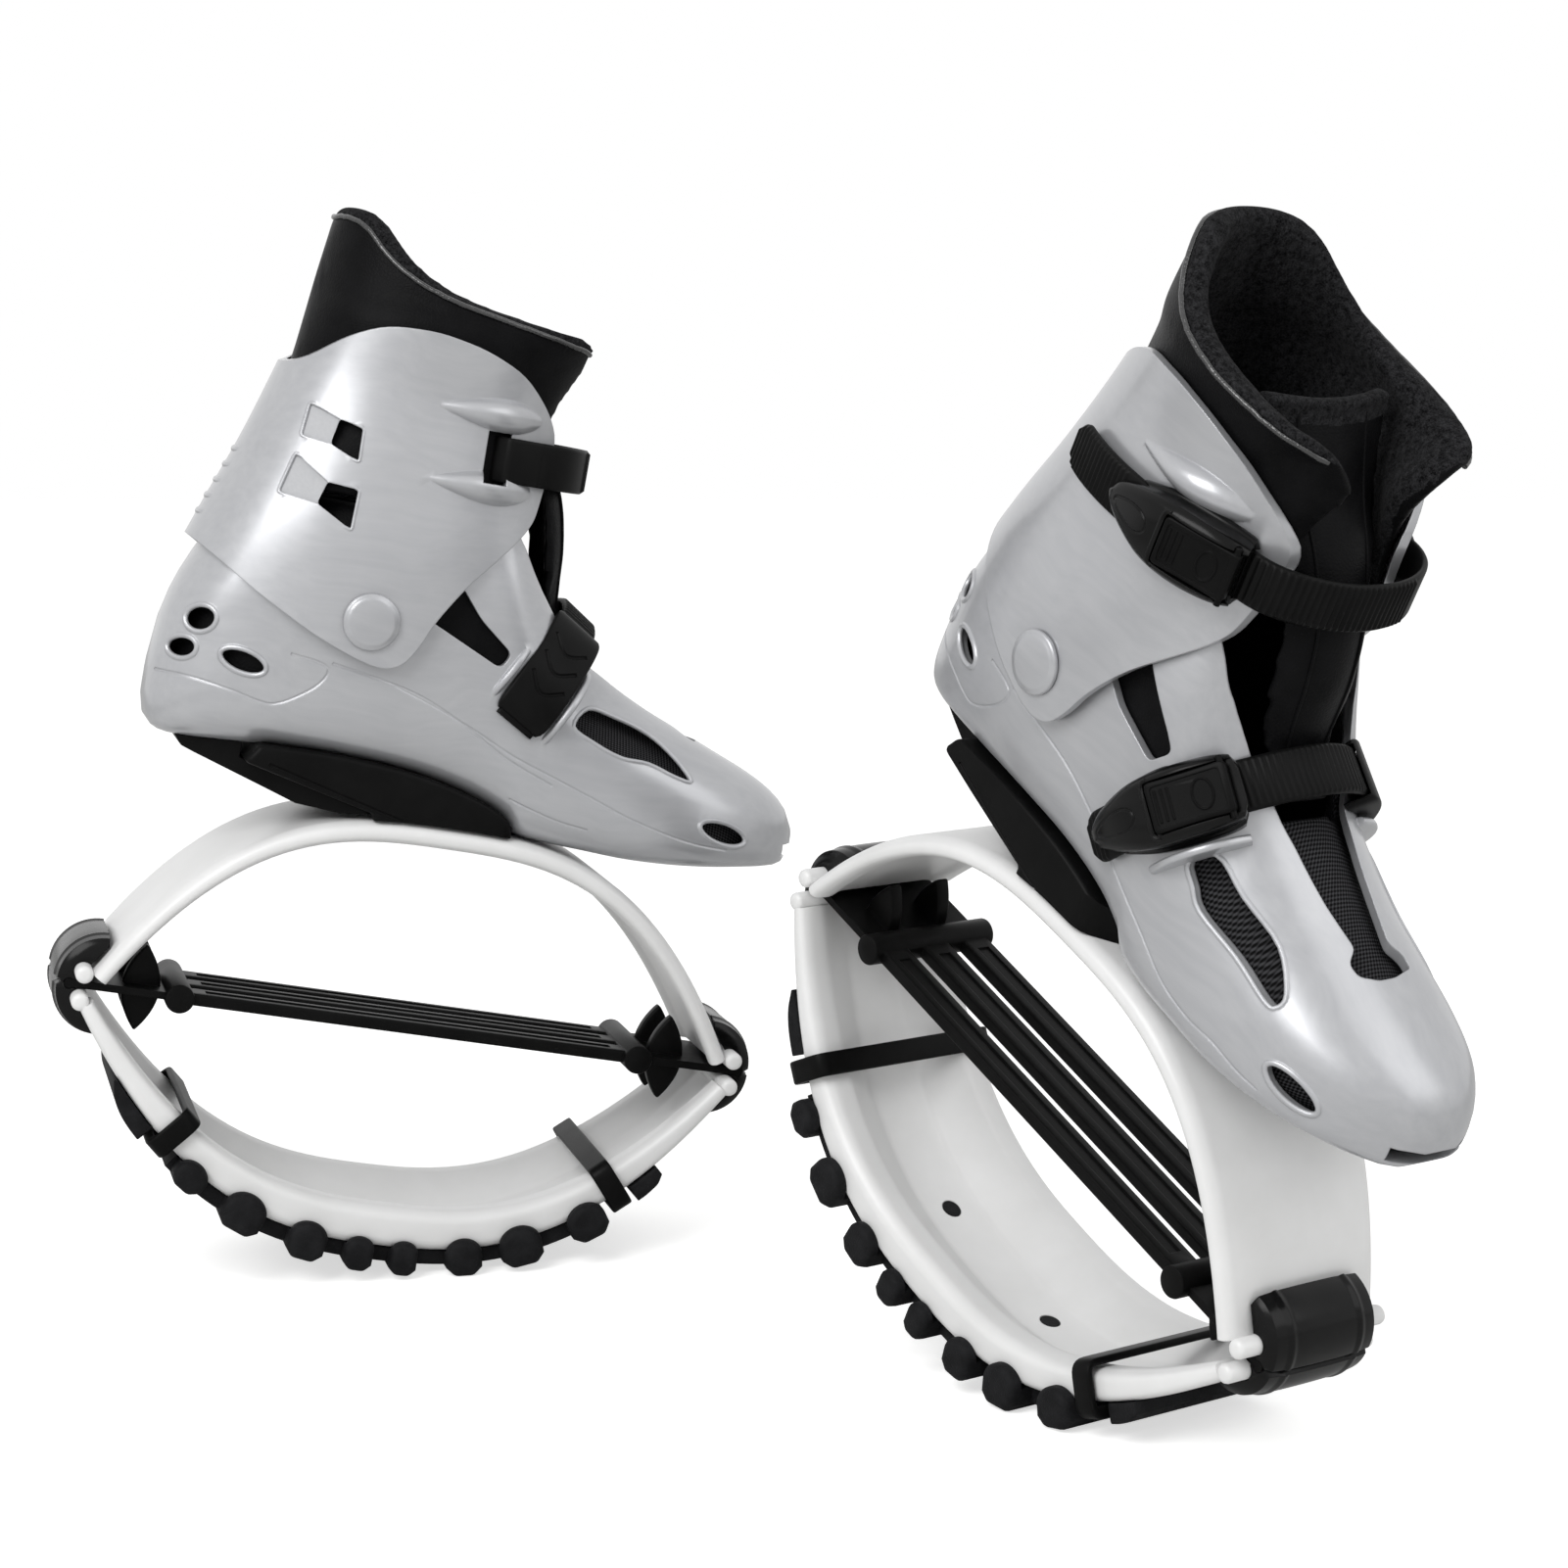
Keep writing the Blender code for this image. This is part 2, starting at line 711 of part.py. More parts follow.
def arch_half_width(side, x):
    _, _, _, middle, _ = arch_sizes(side)
    share = abs(x) / SPRING_HALF_LENGTH
    return ARCH_END_HALF_WIDTH + (middle - ARCH_END_HALF_WIDTH) * (1 - share ** WIDTH_POWER)


UPPER_SECTION_SHARES = (
    (-0.90, 0.00), (0.90, 0.00), (1.00, 0.30), (1.00, 0.78), (0.92, 1.00), (0.74, 1.00),
    (0.60, 0.72), (-0.60, 0.72), (-0.74, 1.00), (-0.92, 1.00), (-1.00, 0.78), (-1.00, 0.30),
)
LOWER_SECTION_SHARES = (
    (-0.92, 0.00), (0.92, 0.00), (1.00, 0.16), (1.00, 0.80), (0.90, 1.00), (0.70, 0.98),
    (0.30, 0.28), (-0.30, 0.28), (-0.70, 0.98), (-0.90, 1.00), (-1.00, 0.80), (-1.00, 0.16),
)
PLAIN_SECTION_SHARES = ((-1, 0), (1, 0), (1, 1), (-1, 1))


def arch_places(count, reach=1.0):
    """Distances along the shoe, closer together towards the ends."""
    limit = SPRING_HALF_LENGTH * reach
    return [limit * math.sin(math.pi * (index / (count - 1) - 1 / 2)) for index in range(count)]


def arch_ring(side, x, section, grow=0.0):
    point, normal = arch_line(side, x)
    depth = arch_depth(side, x) + 2 * grow
    half_width = arch_half_width(side, x) + grow
    origin = point + normal * grow
    return [origin - normal * depth * down + Vector((0, half_width * across, 0))
            for across, down in section]


def bead(name, side, end, grow=0.0):
    """Round bead across the end of an arch."""
    place = moved(end * SPRING_HALF_LENGTH, 0, side * BEAD_HEIGHT) @ SIDE_ON
    return cylinder(name, BEAD_RADIUS + grow, ARCH_END_HALF_WIDTH + grow, 10, place)


ARCH_END_SHARES = {1: 0.975, -1: 1.0}


def arch_solid(name, side, section, grow=0.0):
    """Arch with its two end beads."""
    places = arch_places(ARCH_STATIONS, ARCH_END_SHARES[side])
    rings = [arch_ring(side, x, section, grow) for x in places]
    made = loft(name, rings)
    for end in (-1, 1):
        join(made, bead(name + "_bead", side, end, grow))
    return made


def arch_frame(side, x):
    """Frame on the outer face: local X along the arch, Y across the shoe, Z outwards."""
    point, normal = arch_line(side, x)
    across = Vector((0, 1, 0))
    along = across.cross(normal)
    return Matrix((
        (along.x, across.x, normal.x, point.x),
        (along.y, across.y, normal.y, point.y),
        (along.z, across.z, normal.z, point.z),
        (0, 0, 0, 1),
    ))


def build_upper_arch():
    made = arch_solid("upper_arch", 1, UPPER_SECTION_SHARES)
    hole = cylinder("bolt_hole", BOLT_SHANK_RADIUS + FIT_GAP, OVERRUN + UPPER_THICKNESS, 12,
                    moved(BOLT_PLACE, 0, UPPER_CROWN))
    return cut(made, hole)


def build_lower_arch():
    made = arch_solid("lower_arch", -1, LOWER_SECTION_SHARES)
    for end in (-1, 1):
        hole = cylinder("plug_hole", PLUG_RADIUS + FIT_GAP, OVERRUN + LOWER_THICKNESS, 12,
                        arch_frame(-1, end * PLUG_PLACE))
        cut(made, hole)
    return made


# Tension band and end caps


def band_plate(name, grow):
    """Thin end plate with the round hook that sits inside a cap, at the toe end."""
    hook = SPRING_HALF_LENGTH + BAND_HOOK_PLACE
    made = block(name, ((hook - ROD_PLACE) / 2, RAIL_HALF_WIDTH + grow,
                        BAND_PLATE_THICKNESS / 2 + grow), moved((hook + ROD_PLACE) / 2))
    end = cylinder(name + "_hook", BAND_HOOK_RADIUS + grow, RAIL_HALF_WIDTH + grow, 10,
                   moved(hook) @ SIDE_ON)
    return join(made, end)


def fin_outline():
    """Pointed oval of a finger fin, about the band's middle plane."""
    edge = [2 * index / (FIN_POINTS - 1) - 1 for index in range(FIN_POINTS)]
    front = [(FIN_HALF_LENGTH * (1 - share * share), FIN_HEIGHT * share) for share in edge]
    rear = [(-across, along) for across, along in reversed(front[1:-1])]
    return front + rear


def build_tension_band():
    half_rail = (RAIL_HALF_WIDTH - SLOT_PLACE - SLOT_WIDTH / 2) / 2
    outer = [(-ROD_PLACE, -RAIL_HALF_WIDTH), (ROD_PLACE, -RAIL_HALF_WIDTH),
             (ROD_PLACE, RAIL_HALF_WIDTH), (-ROD_PLACE, RAIL_HALF_WIDTH)]
    slots = []
    for side in (-1, 1):
        near = side * SLOT_PLACE - SLOT_WIDTH / 2
        far = side * SLOT_PLACE + SLOT_WIDTH / 2
        reach = ROD_PLACE - half_rail
        slots.append([(-reach, near), (reach, near), (reach, far), (-reach, far)])
    made = plate("tension_band", [outer, *slots], RAIL_HALF_HEIGHT)
    for end in (-1, 1):
        turn = Matrix.Rotation(0 if end > 0 else math.pi, 4, "Z")
        ending = band_plate("band_end", 0)
        ending.data.transform(turn)
        join(made, ending)
        join(made, cylinder("cross_rod", ROD_RADIUS, ROD_HALF_LENGTH, 12,
                            moved(end * ROD_PLACE) @ SIDE_ON))
        for side in (-1, 1):
            fin = plate("finger_fin", [fin_outline()], FIN_THICKNESS / 2,
                        moved(end * FIN_PLACE, side * FIN_SPACING) @ SIDE_ON)
            join(made, fin)
    return made


def build_cap(end):
    """Moulded cap that wraps the outside of both beads and holds the band's hook."""
    name = "toe_cap" if end > 0 else "heel_cap"
    tip = SPRING_HALF_LENGTH
    base = BEAD_HEIGHT / 4
    arc = []
    for index in range(CAP_ARC_POINTS):
        angle = math.pi / 2 * (1 - index / (CAP_ARC_POINTS - 1))
        arc.append((tip - CAP_LIP + (CAP_REACH + CAP_LIP) * math.cos(angle),
                    base + (CAP_HEIGHT - base) * math.sin(angle)))
    waist = (tip + CAP_REACH - CAP_EDGE * 1.2, 0)
    lower = [(x, -z) for x, z in reversed(arc)]
    inside = [(tip + CAP_EDGE, -BEAD_HEIGHT / 2), (tip + CAP_EDGE, BEAD_HEIGHT / 2)]
    made = plate(name, [arc + [waist] + lower + inside], CAP_HALF_WIDTH, SIDE_ON)
    soften(made, CAP_EDGE, 60)
    cut(made, arch_solid("upper_room", 1, PLAIN_SECTION_SHARES, FIT_GAP),
        arch_solid("lower_room", -1, PLAIN_SECTION_SHARES, FIT_GAP),
        band_plate("band_room", FIT_GAP))
    if end < 0:
        mirror(made, 0)
    return made


# Tread, pads and clamps


def lug_outline(width, dome, foot):
    """Side view of a lug: flat foot, straight sides and a domed top."""
    half = width / 2
    corner = min(LUG_CORNER, half / 2)
    shoulder = half * 0.8 - dome
    points = [(-half + corner, foot), (half - corner, foot), (half, foot - corner)]
    for index in range(LUG_DOME_POINTS):
        angle = math.pi * index / (LUG_DOME_POINTS - 1)
        points.append((half * math.cos(angle), shoulder - half * 0.8 * math.sin(angle)))
    points.append((-half, foot - corner))
    return points


def skin_strip(name, start, stop, inner, outers, half_width):
    """Rubber strip that follows the outside of the lower arch."""
    rings = []
    for index, outer in enumerate(outers):
        x = start + (stop - start) * index / (len(outers) - 1)
        point, normal = arch_line(-1, x)
        rings.append([point + normal * rise + Vector((0, across, 0))
                      for across, rise in ((-half_width, inner), (half_width, inner),
                                           (half_width, outer), (-half_width, outer))])
    return loft(name, rings)


def build_tread():
    made = skin_strip("tread", -STRIP_REACH, STRIP_REACH, FIT_GAP, [STRIP_THICKNESS] * STRIP_STATIONS,
                      STRIP_HALF_WIDTH)
    upright = Matrix.Rotation(-math.pi / 2, 4, "X") @ Matrix.Diagonal((1, -1, 1, 1))
    for name, place_share, width_share, dome_share, foot_share in LUG_ROWS:
        outline = lug_outline(LUG_SCALE * width_share, LUG_SCALE * dome_share,
                              LUG_DEPTH * foot_share)
        place = arch_frame(-1, place_share * SPRING_HALF_LENGTH) @ upright
        lug = soften(plate(name, [outline], LUG_HALF_WIDTH, place), LUG_EDGE, 60)
        join(made, lug)
    cut(made, arch_solid("tread_room", -1, PLAIN_SECTION_SHARES, FIT_GAP))
    for end in (-1, 1):
        place = arch_frame(-1, end * PLUG_PLACE)
        depth = arch_depth(-1, PLUG_PLACE) * LOWER_SECTION_SHARES[6][1]
        plug = cylinder("plug", PLUG_RADIUS, (depth + STRIP_THICKNESS / 2) / 2, 10,
                        place @ moved(0, 0, (STRIP_THICKNESS / 2 - depth) / 2))
        join(made, plug)
    return made


def build_pad(end):
    name = "toe_pad" if end > 0 else "heel_pad"
    length = TOE_PAD_LENGTH if end > 0 else HEEL_PAD_LENGTH
    shares = TOE_PAD_SHARES if end > 0 else HEEL_PAD_SHARES
    made = skin_strip(name, end * PAD_INNER, end * (PAD_INNER + length), FIT_GAP,
                      [PAD_THICKNESS * share for share in shares], PAD_HALF_WIDTH)
    return soften(made, PAD_THICKNESS / 8, 60)


def build_clamp(end):
    """Strap that rings the arch beside the end lug."""
    name = "toe_clamp" if end > 0 else "heel_clamp"
    deep = arch_depth(-1, CLAMP_PLACE) + CLAMP_PLAY
    wide = arch_half_width(-1, CLAMP_PLACE) + CLAMP_PLAY

    def ring(side, top, foot, corner):
        return [(side - corner, foot), (side, foot - corner), (side, corner - top),
                (side - corner, -top), (corner - side, -top), (-side, corner - top),
                (-side, foot - corner), (corner - side, foot)]
    outer = ring(wide + CLAMP_THICKNESS, deep + CLAMP_THICKNESS, CLAMP_FOOT,
                 CLAMP_CORNER + CLAMP_THICKNESS / 2)
    inner = ring(wide, deep, CLAMP_PLAY, CLAMP_CORNER / 4)
    upright = Matrix(((0, 0, 1, 0), (1, 0, 0, 0), (0, 1, 0, 0), (0, 0, 0, 1)))
    made = plate(name, [outer, inner], CLAMP_WIDTH / 2,
                 arch_frame(-1, end * CLAMP_PLACE) @ upright)
    return soften(made, CLAMP_THICKNESS / 6, 60)


# Boot shell


def shell_x(share):
    return SHELL_REAR + SHELL_LENGTH * share


def shell_z(share):
    return SHELL_BASE + SHELL_HEIGHT * share


def shell_outline(shares):
    return [(shell_x(along), shell_z(up)) for along, up in shares]


def shell_ring(along, inset, sides=SHELL_SIDES):
    """Closed section of the boot across its length, inset inwards."""
    bottom, top, low, high, shift = between(SHELL_STATION_SHARES, along)
    floor = shell_z(bottom) + inset
    roof = max(shell_z(top) - inset, floor + inset)
    low_half = max(SHELL_HALF_WIDTH * low - inset, inset / 4)
    high_half = max(SHELL_HALF_WIDTH * high - inset, inset / 4)
    middle = (floor + roof) / 2
    half_height = (roof - floor) / 2
    middle_x = SHELL_REAR + SHELL_LENGTH / 2
    x = middle_x + (shell_x(along) - middle_x) * (1 - 2 * inset / SHELL_LENGTH)
    ring = []
    for index in range(sides):
        angle = 2 * math.pi * (index + 1 / 2) / sides
        rise = math.sin(angle)
        power = 2 / (SHELL_TOP_POWER if rise > 0 else SHELL_BOTTOM_POWER)
        z = middle + half_height * signed_power(rise, power)
        lift = (z - floor) / (roof - floor)
        half = low_half + (high_half - low_half) * lift * lift
        y = half * signed_power(math.cos(angle), power) + SHELL_HALF_WIDTH * shift
        ring.append((x, y, z))
    return ring


def shell_form(name, inset, sides=SHELL_SIDES):
    """Boot shape inset from the shell's outside, without end rings too small for the inset."""
    rings = []
    for along, bottom, top, low, _, _ in SHELL_STATION_SHARES:
        if SHELL_HEIGHT * (top - bottom) > inset * 2.5 and SHELL_HALF_WIDTH * low > inset * 1.1:
            rings.append(shell_ring(along, inset, sides))
    return loft(name, rings)


def side_cutter(name, outline, near=-1, far=1):
    """Cutter with a side-view outline that spans a share of the shoe's width."""
    reach = SHELL_HALF_WIDTH + OVERRUN * 2
    low = min(near, far) * reach
    high = max(near, far) * reach
    return plate(name, [outline], (high - low) / 2, moved(0, (high + low) / 2) @ SIDE_ON)


def rim_outline():
    """Everything above the shell's rim."""
    rim = shell_outline(RIM_SHARES)
    roof = shell_z(SHELL_STATION_SHARES[6][2]) + OVERRUN
    return rim + [(rim[-1][0], roof), (rim[0][0], roof)]


def tongue_slot(name, grow, stop_share=1.0):
    """Vertical cutter for the slot over the instep, cut off at a share of the length."""
    rows = [row for row in TONGUE_SLOT_SHARES if row[0] <= stop_share]
    outline = [(shell_x(row[0]), SHELL_HALF_WIDTH * row[1] - grow) for row in rows]
    outline += [(shell_x(row[0]), SHELL_HALF_WIDTH * row[2] + grow) for row in reversed(rows)]
    low = shell_z(TONGUE_SLOT_FLOOR_SHARE)
    high = shell_z(SHELL_STATION_SHARES[6][2]) + OVERRUN
    return plate(name, [outline], (high - low) / 2, moved(0, 0, (high + low) / 2))


def vent_outline(length, height, tilt):
    turn = math.radians(tilt)
    points = []
    for index in range(VENT_SIDES):
        angle = 2 * math.pi * index / VENT_SIDES
        along = length * math.cos(angle)
        up = height * math.sin(angle)
        points.append((along * math.cos(turn) - up * math.sin(turn),
                       along * math.sin(turn) + up * math.cos(turn)))
    return points


def build_boot_shell():
    made = shell_form("boot_shell", 0)
    cut(made, side_cutter("rim_room", rim_outline()))
    cut(made, shell_form("shell_room", SHELL_WALL, ROOM_SIDES))
    cut(made, tongue_slot("tongue_slot", 0))
    for name, side, shares in (("lateral_ankle_window", -1, LATERAL_ANKLE_SHARES),
                               ("medial_ankle_window", 1, MEDIAL_ANKLE_SHARES),
                               ("lateral_leaf_window", -1, LATERAL_LEAF_SHARES),
                               ("medial_leaf_window", 1, MEDIAL_LEAF_SHARES)):
        cut(made, side_cutter(name, shell_outline(shares), 0, side))
    for (name, along, up), length, height, tilt in zip(VENT_SHARES, VENT_LENGTHS, VENT_HEIGHTS,
                                                       VENT_TILTS):
        x = shell_x(along)
        z = shell_z(up)
        outline = [(x + ahead, z + rise) for ahead, rise in vent_outline(length, height, tilt)]
        cut(made, side_cutter(name + "_vent", outline))
    cut(made, block("toe_slot", (TOE_SLOT_DEPTH, TOE_SLOT_HALF_WIDTH, TOE_SLOT_HEIGHT / 2),
                    moved(shell_x(1), TOE_SLOT_SHIFT, SHELL_BASE + TOE_SLOT_RISE)))
    cut(made, pivot_room("shell_pivot_room"))
    for name, side, offset in (("medial_rear_guard", 1, -MEDIAL_GUARD_OFFSET),
                               ("medial_front_guard", 1, MEDIAL_GUARD_OFFSET),
                               ("lateral_front_guard", -1, LATERAL_GUARD_OFFSET)):
        guard = strap_guard(name, side, offset)
        cut(guard, shell_form("guard_room", SHELL_WALL / 2))
        join(made, guard)
    return made


# Pivot and cuff


def pivot_room(name):
    return cylinder(name, PIVOT_SHANK_RADIUS + PIVOT_PLAY, CUFF_HALF_WIDTH + OVERRUN, 14,
                    Matrix.Translation(PIVOT) @ SIDE_ON)


def build_pivot_cap(side):
    """Rivet: a broad head outside the cuff, a shank and a flange inside the shell."""
    name = "medial_pivot_cap" if side > 0 else "lateral_pivot_cap"
    outside = CUFF_HALF_WIDTH + FIT_GAP
    inside = SHELL_HALF_WIDTH - SHELL_WALL
    profile = [
        (0, outside + PIVOT_HEAD_THICKNESS),
        (PIVOT_HEAD_RADIUS * 0.85, outside + PIVOT_HEAD_THICKNESS),
        (PIVOT_HEAD_RADIUS, outside + PIVOT_HEAD_THICKNESS * 0.55),
        (PIVOT_HEAD_RADIUS, outside),
        (PIVOT_SHANK_RADIUS, outside),
        (PIVOT_SHANK_RADIUS, inside),
        (0, inside),
    ]
    turn = Matrix.Rotation(-side * math.pi / 2, 4, "X")
    return turned(name, profile, 16, Matrix.Translation(PIVOT) @ turn)


def cuff_x(share):
    return PIVOT_X + CUFF_LENGTH * share


def cuff_z(share):
    return PIVOT_Z + CUFF_HEIGHT * share


def cuff_outline(shares):
    return [(cuff_x(along), cuff_z(up)) for along, up in shares]


def cuff_ring_sizes(up, inset):
    rear, front, half = between(CUFF_LEVEL_SHARES, up)
    back = cuff_x(rear) + inset
    fore = cuff_x(front) - inset
    return (back + fore) / 2, (fore - back) / 2, CUFF_HALF_WIDTH * half - inset


def cuff_half_width_at(x, up, inset=0.0):
    """Half width of the cuff's section at a place along the shoe."""
    middle, reach, half = cuff_ring_sizes(up, inset)
    share = min(abs(x - middle) / reach, 1)
    return half * (1 - share ** CUFF_POWER) ** (1 / CUFF_POWER)


def cuff_ring(up, inset, sides=CUFF_SIDES):
    middle, reach, half = cuff_ring_sizes(up, inset)
    ring = []
    for index in range(sides):
        angle = 2 * math.pi * index / sides
        ring.append((middle + reach * signed_power(math.cos(angle), 2 / CUFF_POWER),
                     half * signed_power(math.sin(angle), 2 / CUFF_POWER), cuff_z(up)))
    return ring


def cuff_form(name, inset, overrun=0.0):
    levels = [row[0] for row in CUFF_LEVEL_SHARES]
    levels[0] -= overrun
    levels[-1] += overrun
    return loft(name, [cuff_ring(up, inset) for up in levels])


def guard_fin(name, side, rise, rear, front, root):
    """Crescent that stands out from the cuff beside the strap, thick at its root."""
    up = rise / CUFF_HEIGHT
    rings = []
    for index in range(GUARD_POINTS):
        share = index / (GUARD_POINTS - 1)
        x = PIVOT_X + rear + (front - rear) * share
        z = PIVOT_Z + rise
        near = side * (cuff_half_width_at(x, up) - CUFF_WALL / 2)
        far = near + side * (CUFF_WALL / 4 + GUARD_PROUD * math.sin(math.pi * share))
        rings.append([(x, near, z - root / 2), (x, near, z + root / 2),
                      (x, far, z + GUARD_THICKNESS / 2), (x, far, z - GUARD_THICKNESS / 2)])
    return loft(name, rings)


def ramp_cutter(name, shares):
    """Sloping recess that deepens forwards into a window of the cuff's inner side."""
    rear_top, front_top, front_low, rear_low = shares
    rings = []
    for (top_x, top_z), (low_x, low_z), depth in (
            (rear_top, rear_low, -CUFF_WALL / 4), (front_top, front_low, RAMP_DEPTH)):
        ring = []
        for along, up in ((top_x, top_z), (low_x, low_z)):
            x = cuff_x(along)
            ring.append((x, cuff_half_width_at(x, up) - depth, cuff_z(up)))
        for along, up in ((low_x, low_z), (top_x, top_z)):
            x = cuff_x(along)
            ring.append((x, cuff_half_width_at(x, up) + OVERRUN, cuff_z(up)))
        rings.append(ring)
    return loft(name, rings)


def build_cuff():
    made = cuff_form("cuff", 0)
    cut(made, cuff_form("cuff_room", CUFF_WALL, LEVEL_OVERRUN_SHARE))
    cut(made, shell_form("boot_clearance", -CUFF_SIDE_GAP * 0.7))
    combine(made, side_cutter("cuff_outline", cuff_outline(CUFF_OUTLINE_SHARES)), "INTERSECT")
    cut(made, pivot_room("cuff_pivot_room"))
    for name, opening, ramp in (("upper_window", UPPER_OPENING_SHARES, UPPER_RAMP_SHARES),
                                ("lower_window", LOWER_OPENING_SHARES, LOWER_RAMP_SHARES)):
        cut(made, side_cutter(name, cuff_outline(opening), WINDOW_NEAR_SHARE))
        cut(made, ramp_cutter(name + "_ramp", ramp))
    for name, rise in (("medial_upper_guard", UPPER_GUARD_RISE),
                       ("medial_lower_guard", LOWER_GUARD_RISE)):
        join(made, guard_fin(name, 1, rise, GUARD_REAR, GUARD_FRONT, MEDIAL_GUARD_ROOT))
    join(made, guard_fin("lateral_guard", -1, LATERAL_GUARD_RISE, LATERAL_GUARD_REAR,
                         LATERAL_GUARD_FRONT, LATERAL_GUARD_ROOT))
    for index in range(SPINE_RIB_COUNT):
        rise = SPINE_RIB_BASE + index * SPINE_RIB_PITCH
        middle, reach, _ = cuff_ring_sizes(rise / CUFF_HEIGHT, 0)
        back = middle - reach
        join(made, block("spine_rib", (SPINE_RIB_PROUD, SPINE_RIB_HALF_WIDTH,
                                       SPINE_RIB_HEIGHT / 2), moved(back, 0, PIVOT_Z + rise)))
    slot_x = PIVOT_X + STRAP_SLOT_PLACE
    slot = block("strap_slot", (STRAP_SLOT_LENGTH / 2, CUFF_HALF_WIDTH / 2,
                                STRAP_WIDTH / 2 + STRAP_SLOT_PLAY),
                 moved(slot_x, CUFF_HALF_WIDTH, PIVOT_Z + UPPER_STRAP_RISE))
    return cut(made, slot)


# Straps and buckles


def even_path(dense, pitch):
    """Stations of point and width direction, spaced evenly along a dense line."""
    stations = [dense[0]]
    carried = 0
    for (start, wide), (end, wide_end) in zip(dense, dense[1:]):
        length = (end - start).length
        at = pitch - carried
        while at <= length:
            share = at / length
            stations.append((start.lerp(end, share), wide.lerp(wide_end, share).normalized()))
            at += pitch
        carried = length - (at - pitch)
    return stations


def line_place(dense, distance):
    """Point, forward direction and width direction at a distance along a dense line."""
    walked = 0
    for (start, wide), (end, _) in zip(dense, dense[1:]):
        length = (end - start).length
        if walked + length >= distance:
            point = start.lerp(end, (distance - walked) / length)
            return point, (end - start).normalized(), wide
        walked += length
    raise ValueError("the line is too short")


def line_frame(dense, distance):
    """Frame on a line: X forwards, Y across and Z outwards."""
    point, ahead, wide = line_place(dense, distance)
    outward = ahead.cross(wide).normalized()
    across = outward.cross(ahead)
    return Matrix((
        (ahead.x, across.x, outward.x, point.x),
        (ahead.y, across.y, outward.y, point.y),
        (ahead.z, across.z, outward.z, point.z),
        (0, 0, 0, 1),
    ))


def ribbon(name, path, half_width, low, highs):
    """Sweep a rectangle along a path; each station has its own height outwards."""
    rings = []
    last = len(path) - 1
    for index, (point, wide) in enumerate(path):
        ahead = path[min(index + 1, last)][0] - path[max(index - 1, 0)][0]
        outward = ahead.cross(wide).normalized()
        side = wide * half_width
        rings.append([point - side + outward * low, point + side + outward * low,
                      point + side + outward * highs[index],
                      point - side + outward * highs[index]])
    return loft(name, rings)


def ladder(name, dense, covered):
    """Strap with a tooth at every other station, plain where a moulding covers it."""
    path = []
    highs = []
    for index, station in enumerate(even_path(dense, TOOTH_PITCH / 2)):
        walked = index * TOOTH_PITCH / 2
        plain = any(start < walked < stop for start, stop in covered)
        if plain and index % 2:
            continue
        tooth = index % 2 == 0 and not plain
        path.append(station)
        highs.append(STRAP_THICKNESS + (TOOTH_HEIGHT if tooth else 0))
    return ribbon(name, path, STRAP_WIDTH / 2, 0, highs)


def strap_room(name, dense):
    path = even_path(dense, TOOTH_PITCH)
    high = STRAP_THICKNESS + TOOTH_HEIGHT + FIT_GAP
    return ribbon(name, path, STRAP_WIDTH / 2 + FIT_GAP, -BUCKLE_ROOT * 1.5,
                  [high] * len(path))


def over_strap(name, which, start, length, half_width, height, shares, low, edge):
    """Moulding that bridges the strap, its sections from (place, width, height) shares."""
    dense = LOOPS[which]
    rings = []
    for place, wide, tall in shares:
        frame = line_frame(dense, start + length * place)
        half = half_width * wide
        top = height * tall
        rings.append([frame @ Vector((0, across, up)) for across, up in (
            (-half, low), (half, low), (half, top - edge), (half - edge, top),
            (edge - half, top), (-half, top - edge))])
    made = loft(name, rings)
    if which == "lower":
        cut(made, shell_form("shell_clearance", -FIT_GAP * 2))
    else:
        cut(made, cuff_form("cuff_clearance", -FIT_GAP))
    return cut(made, strap_room("strap_room", dense))


def upper_strap_line():
    """Inner face of the upper strap, from its tail on the outer side to the inner side's slot."""
    up = UPPER_STRAP_RISE / CUFF_HEIGHT
    z = PIVOT_Z + UPPER_STRAP_RISE
    tail = PIVOT_X + UPPER_STRAP_TAIL
    edge = PIVOT_X + UPPER_STRAP_EDGE
    front = PIVOT_X + UPPER_STRAP_FRONT
    slot = PIVOT_X + STRAP_SLOT_PLACE + STRAP_SLOT_LENGTH / 2
    line = []
    for index in range(LOOP_STEPS // 2):
        x = tail + (edge - tail) * index / (LOOP_STEPS // 2)
        line.append(Vector((x, -cuff_half_width_at(x, up) - STRAP_LIFT, z)))
    wide = cuff_half_width_at(edge, up) + STRAP_LIFT
    for index in range(LOOP_STEPS // 2 + 1):
        angle = math.pi * (index / (LOOP_STEPS // 2) - 1 / 2)
        line.append(Vector((edge + (front - edge) * math.cos(angle), wide * math.sin(angle), z)))
    for index in range(1, LOOP_STEPS // 6 + 1):
        x = edge + (slot - edge) * index / (LOOP_STEPS // 6)
        line.append(Vector((x, cuff_half_width_at(x, up) + STRAP_LIFT, z)))
    hook = line[-1]
    line.append(hook + Vector((-STRAP_LIFT * 2, -STRAP_LIFT * 2, 0)))
    line.append(hook + Vector((-STRAP_LIFT * 2, -STRAP_LIFT - CUFF_WALL * 0.9, 0)))
    return [(point, UP) for point in line]


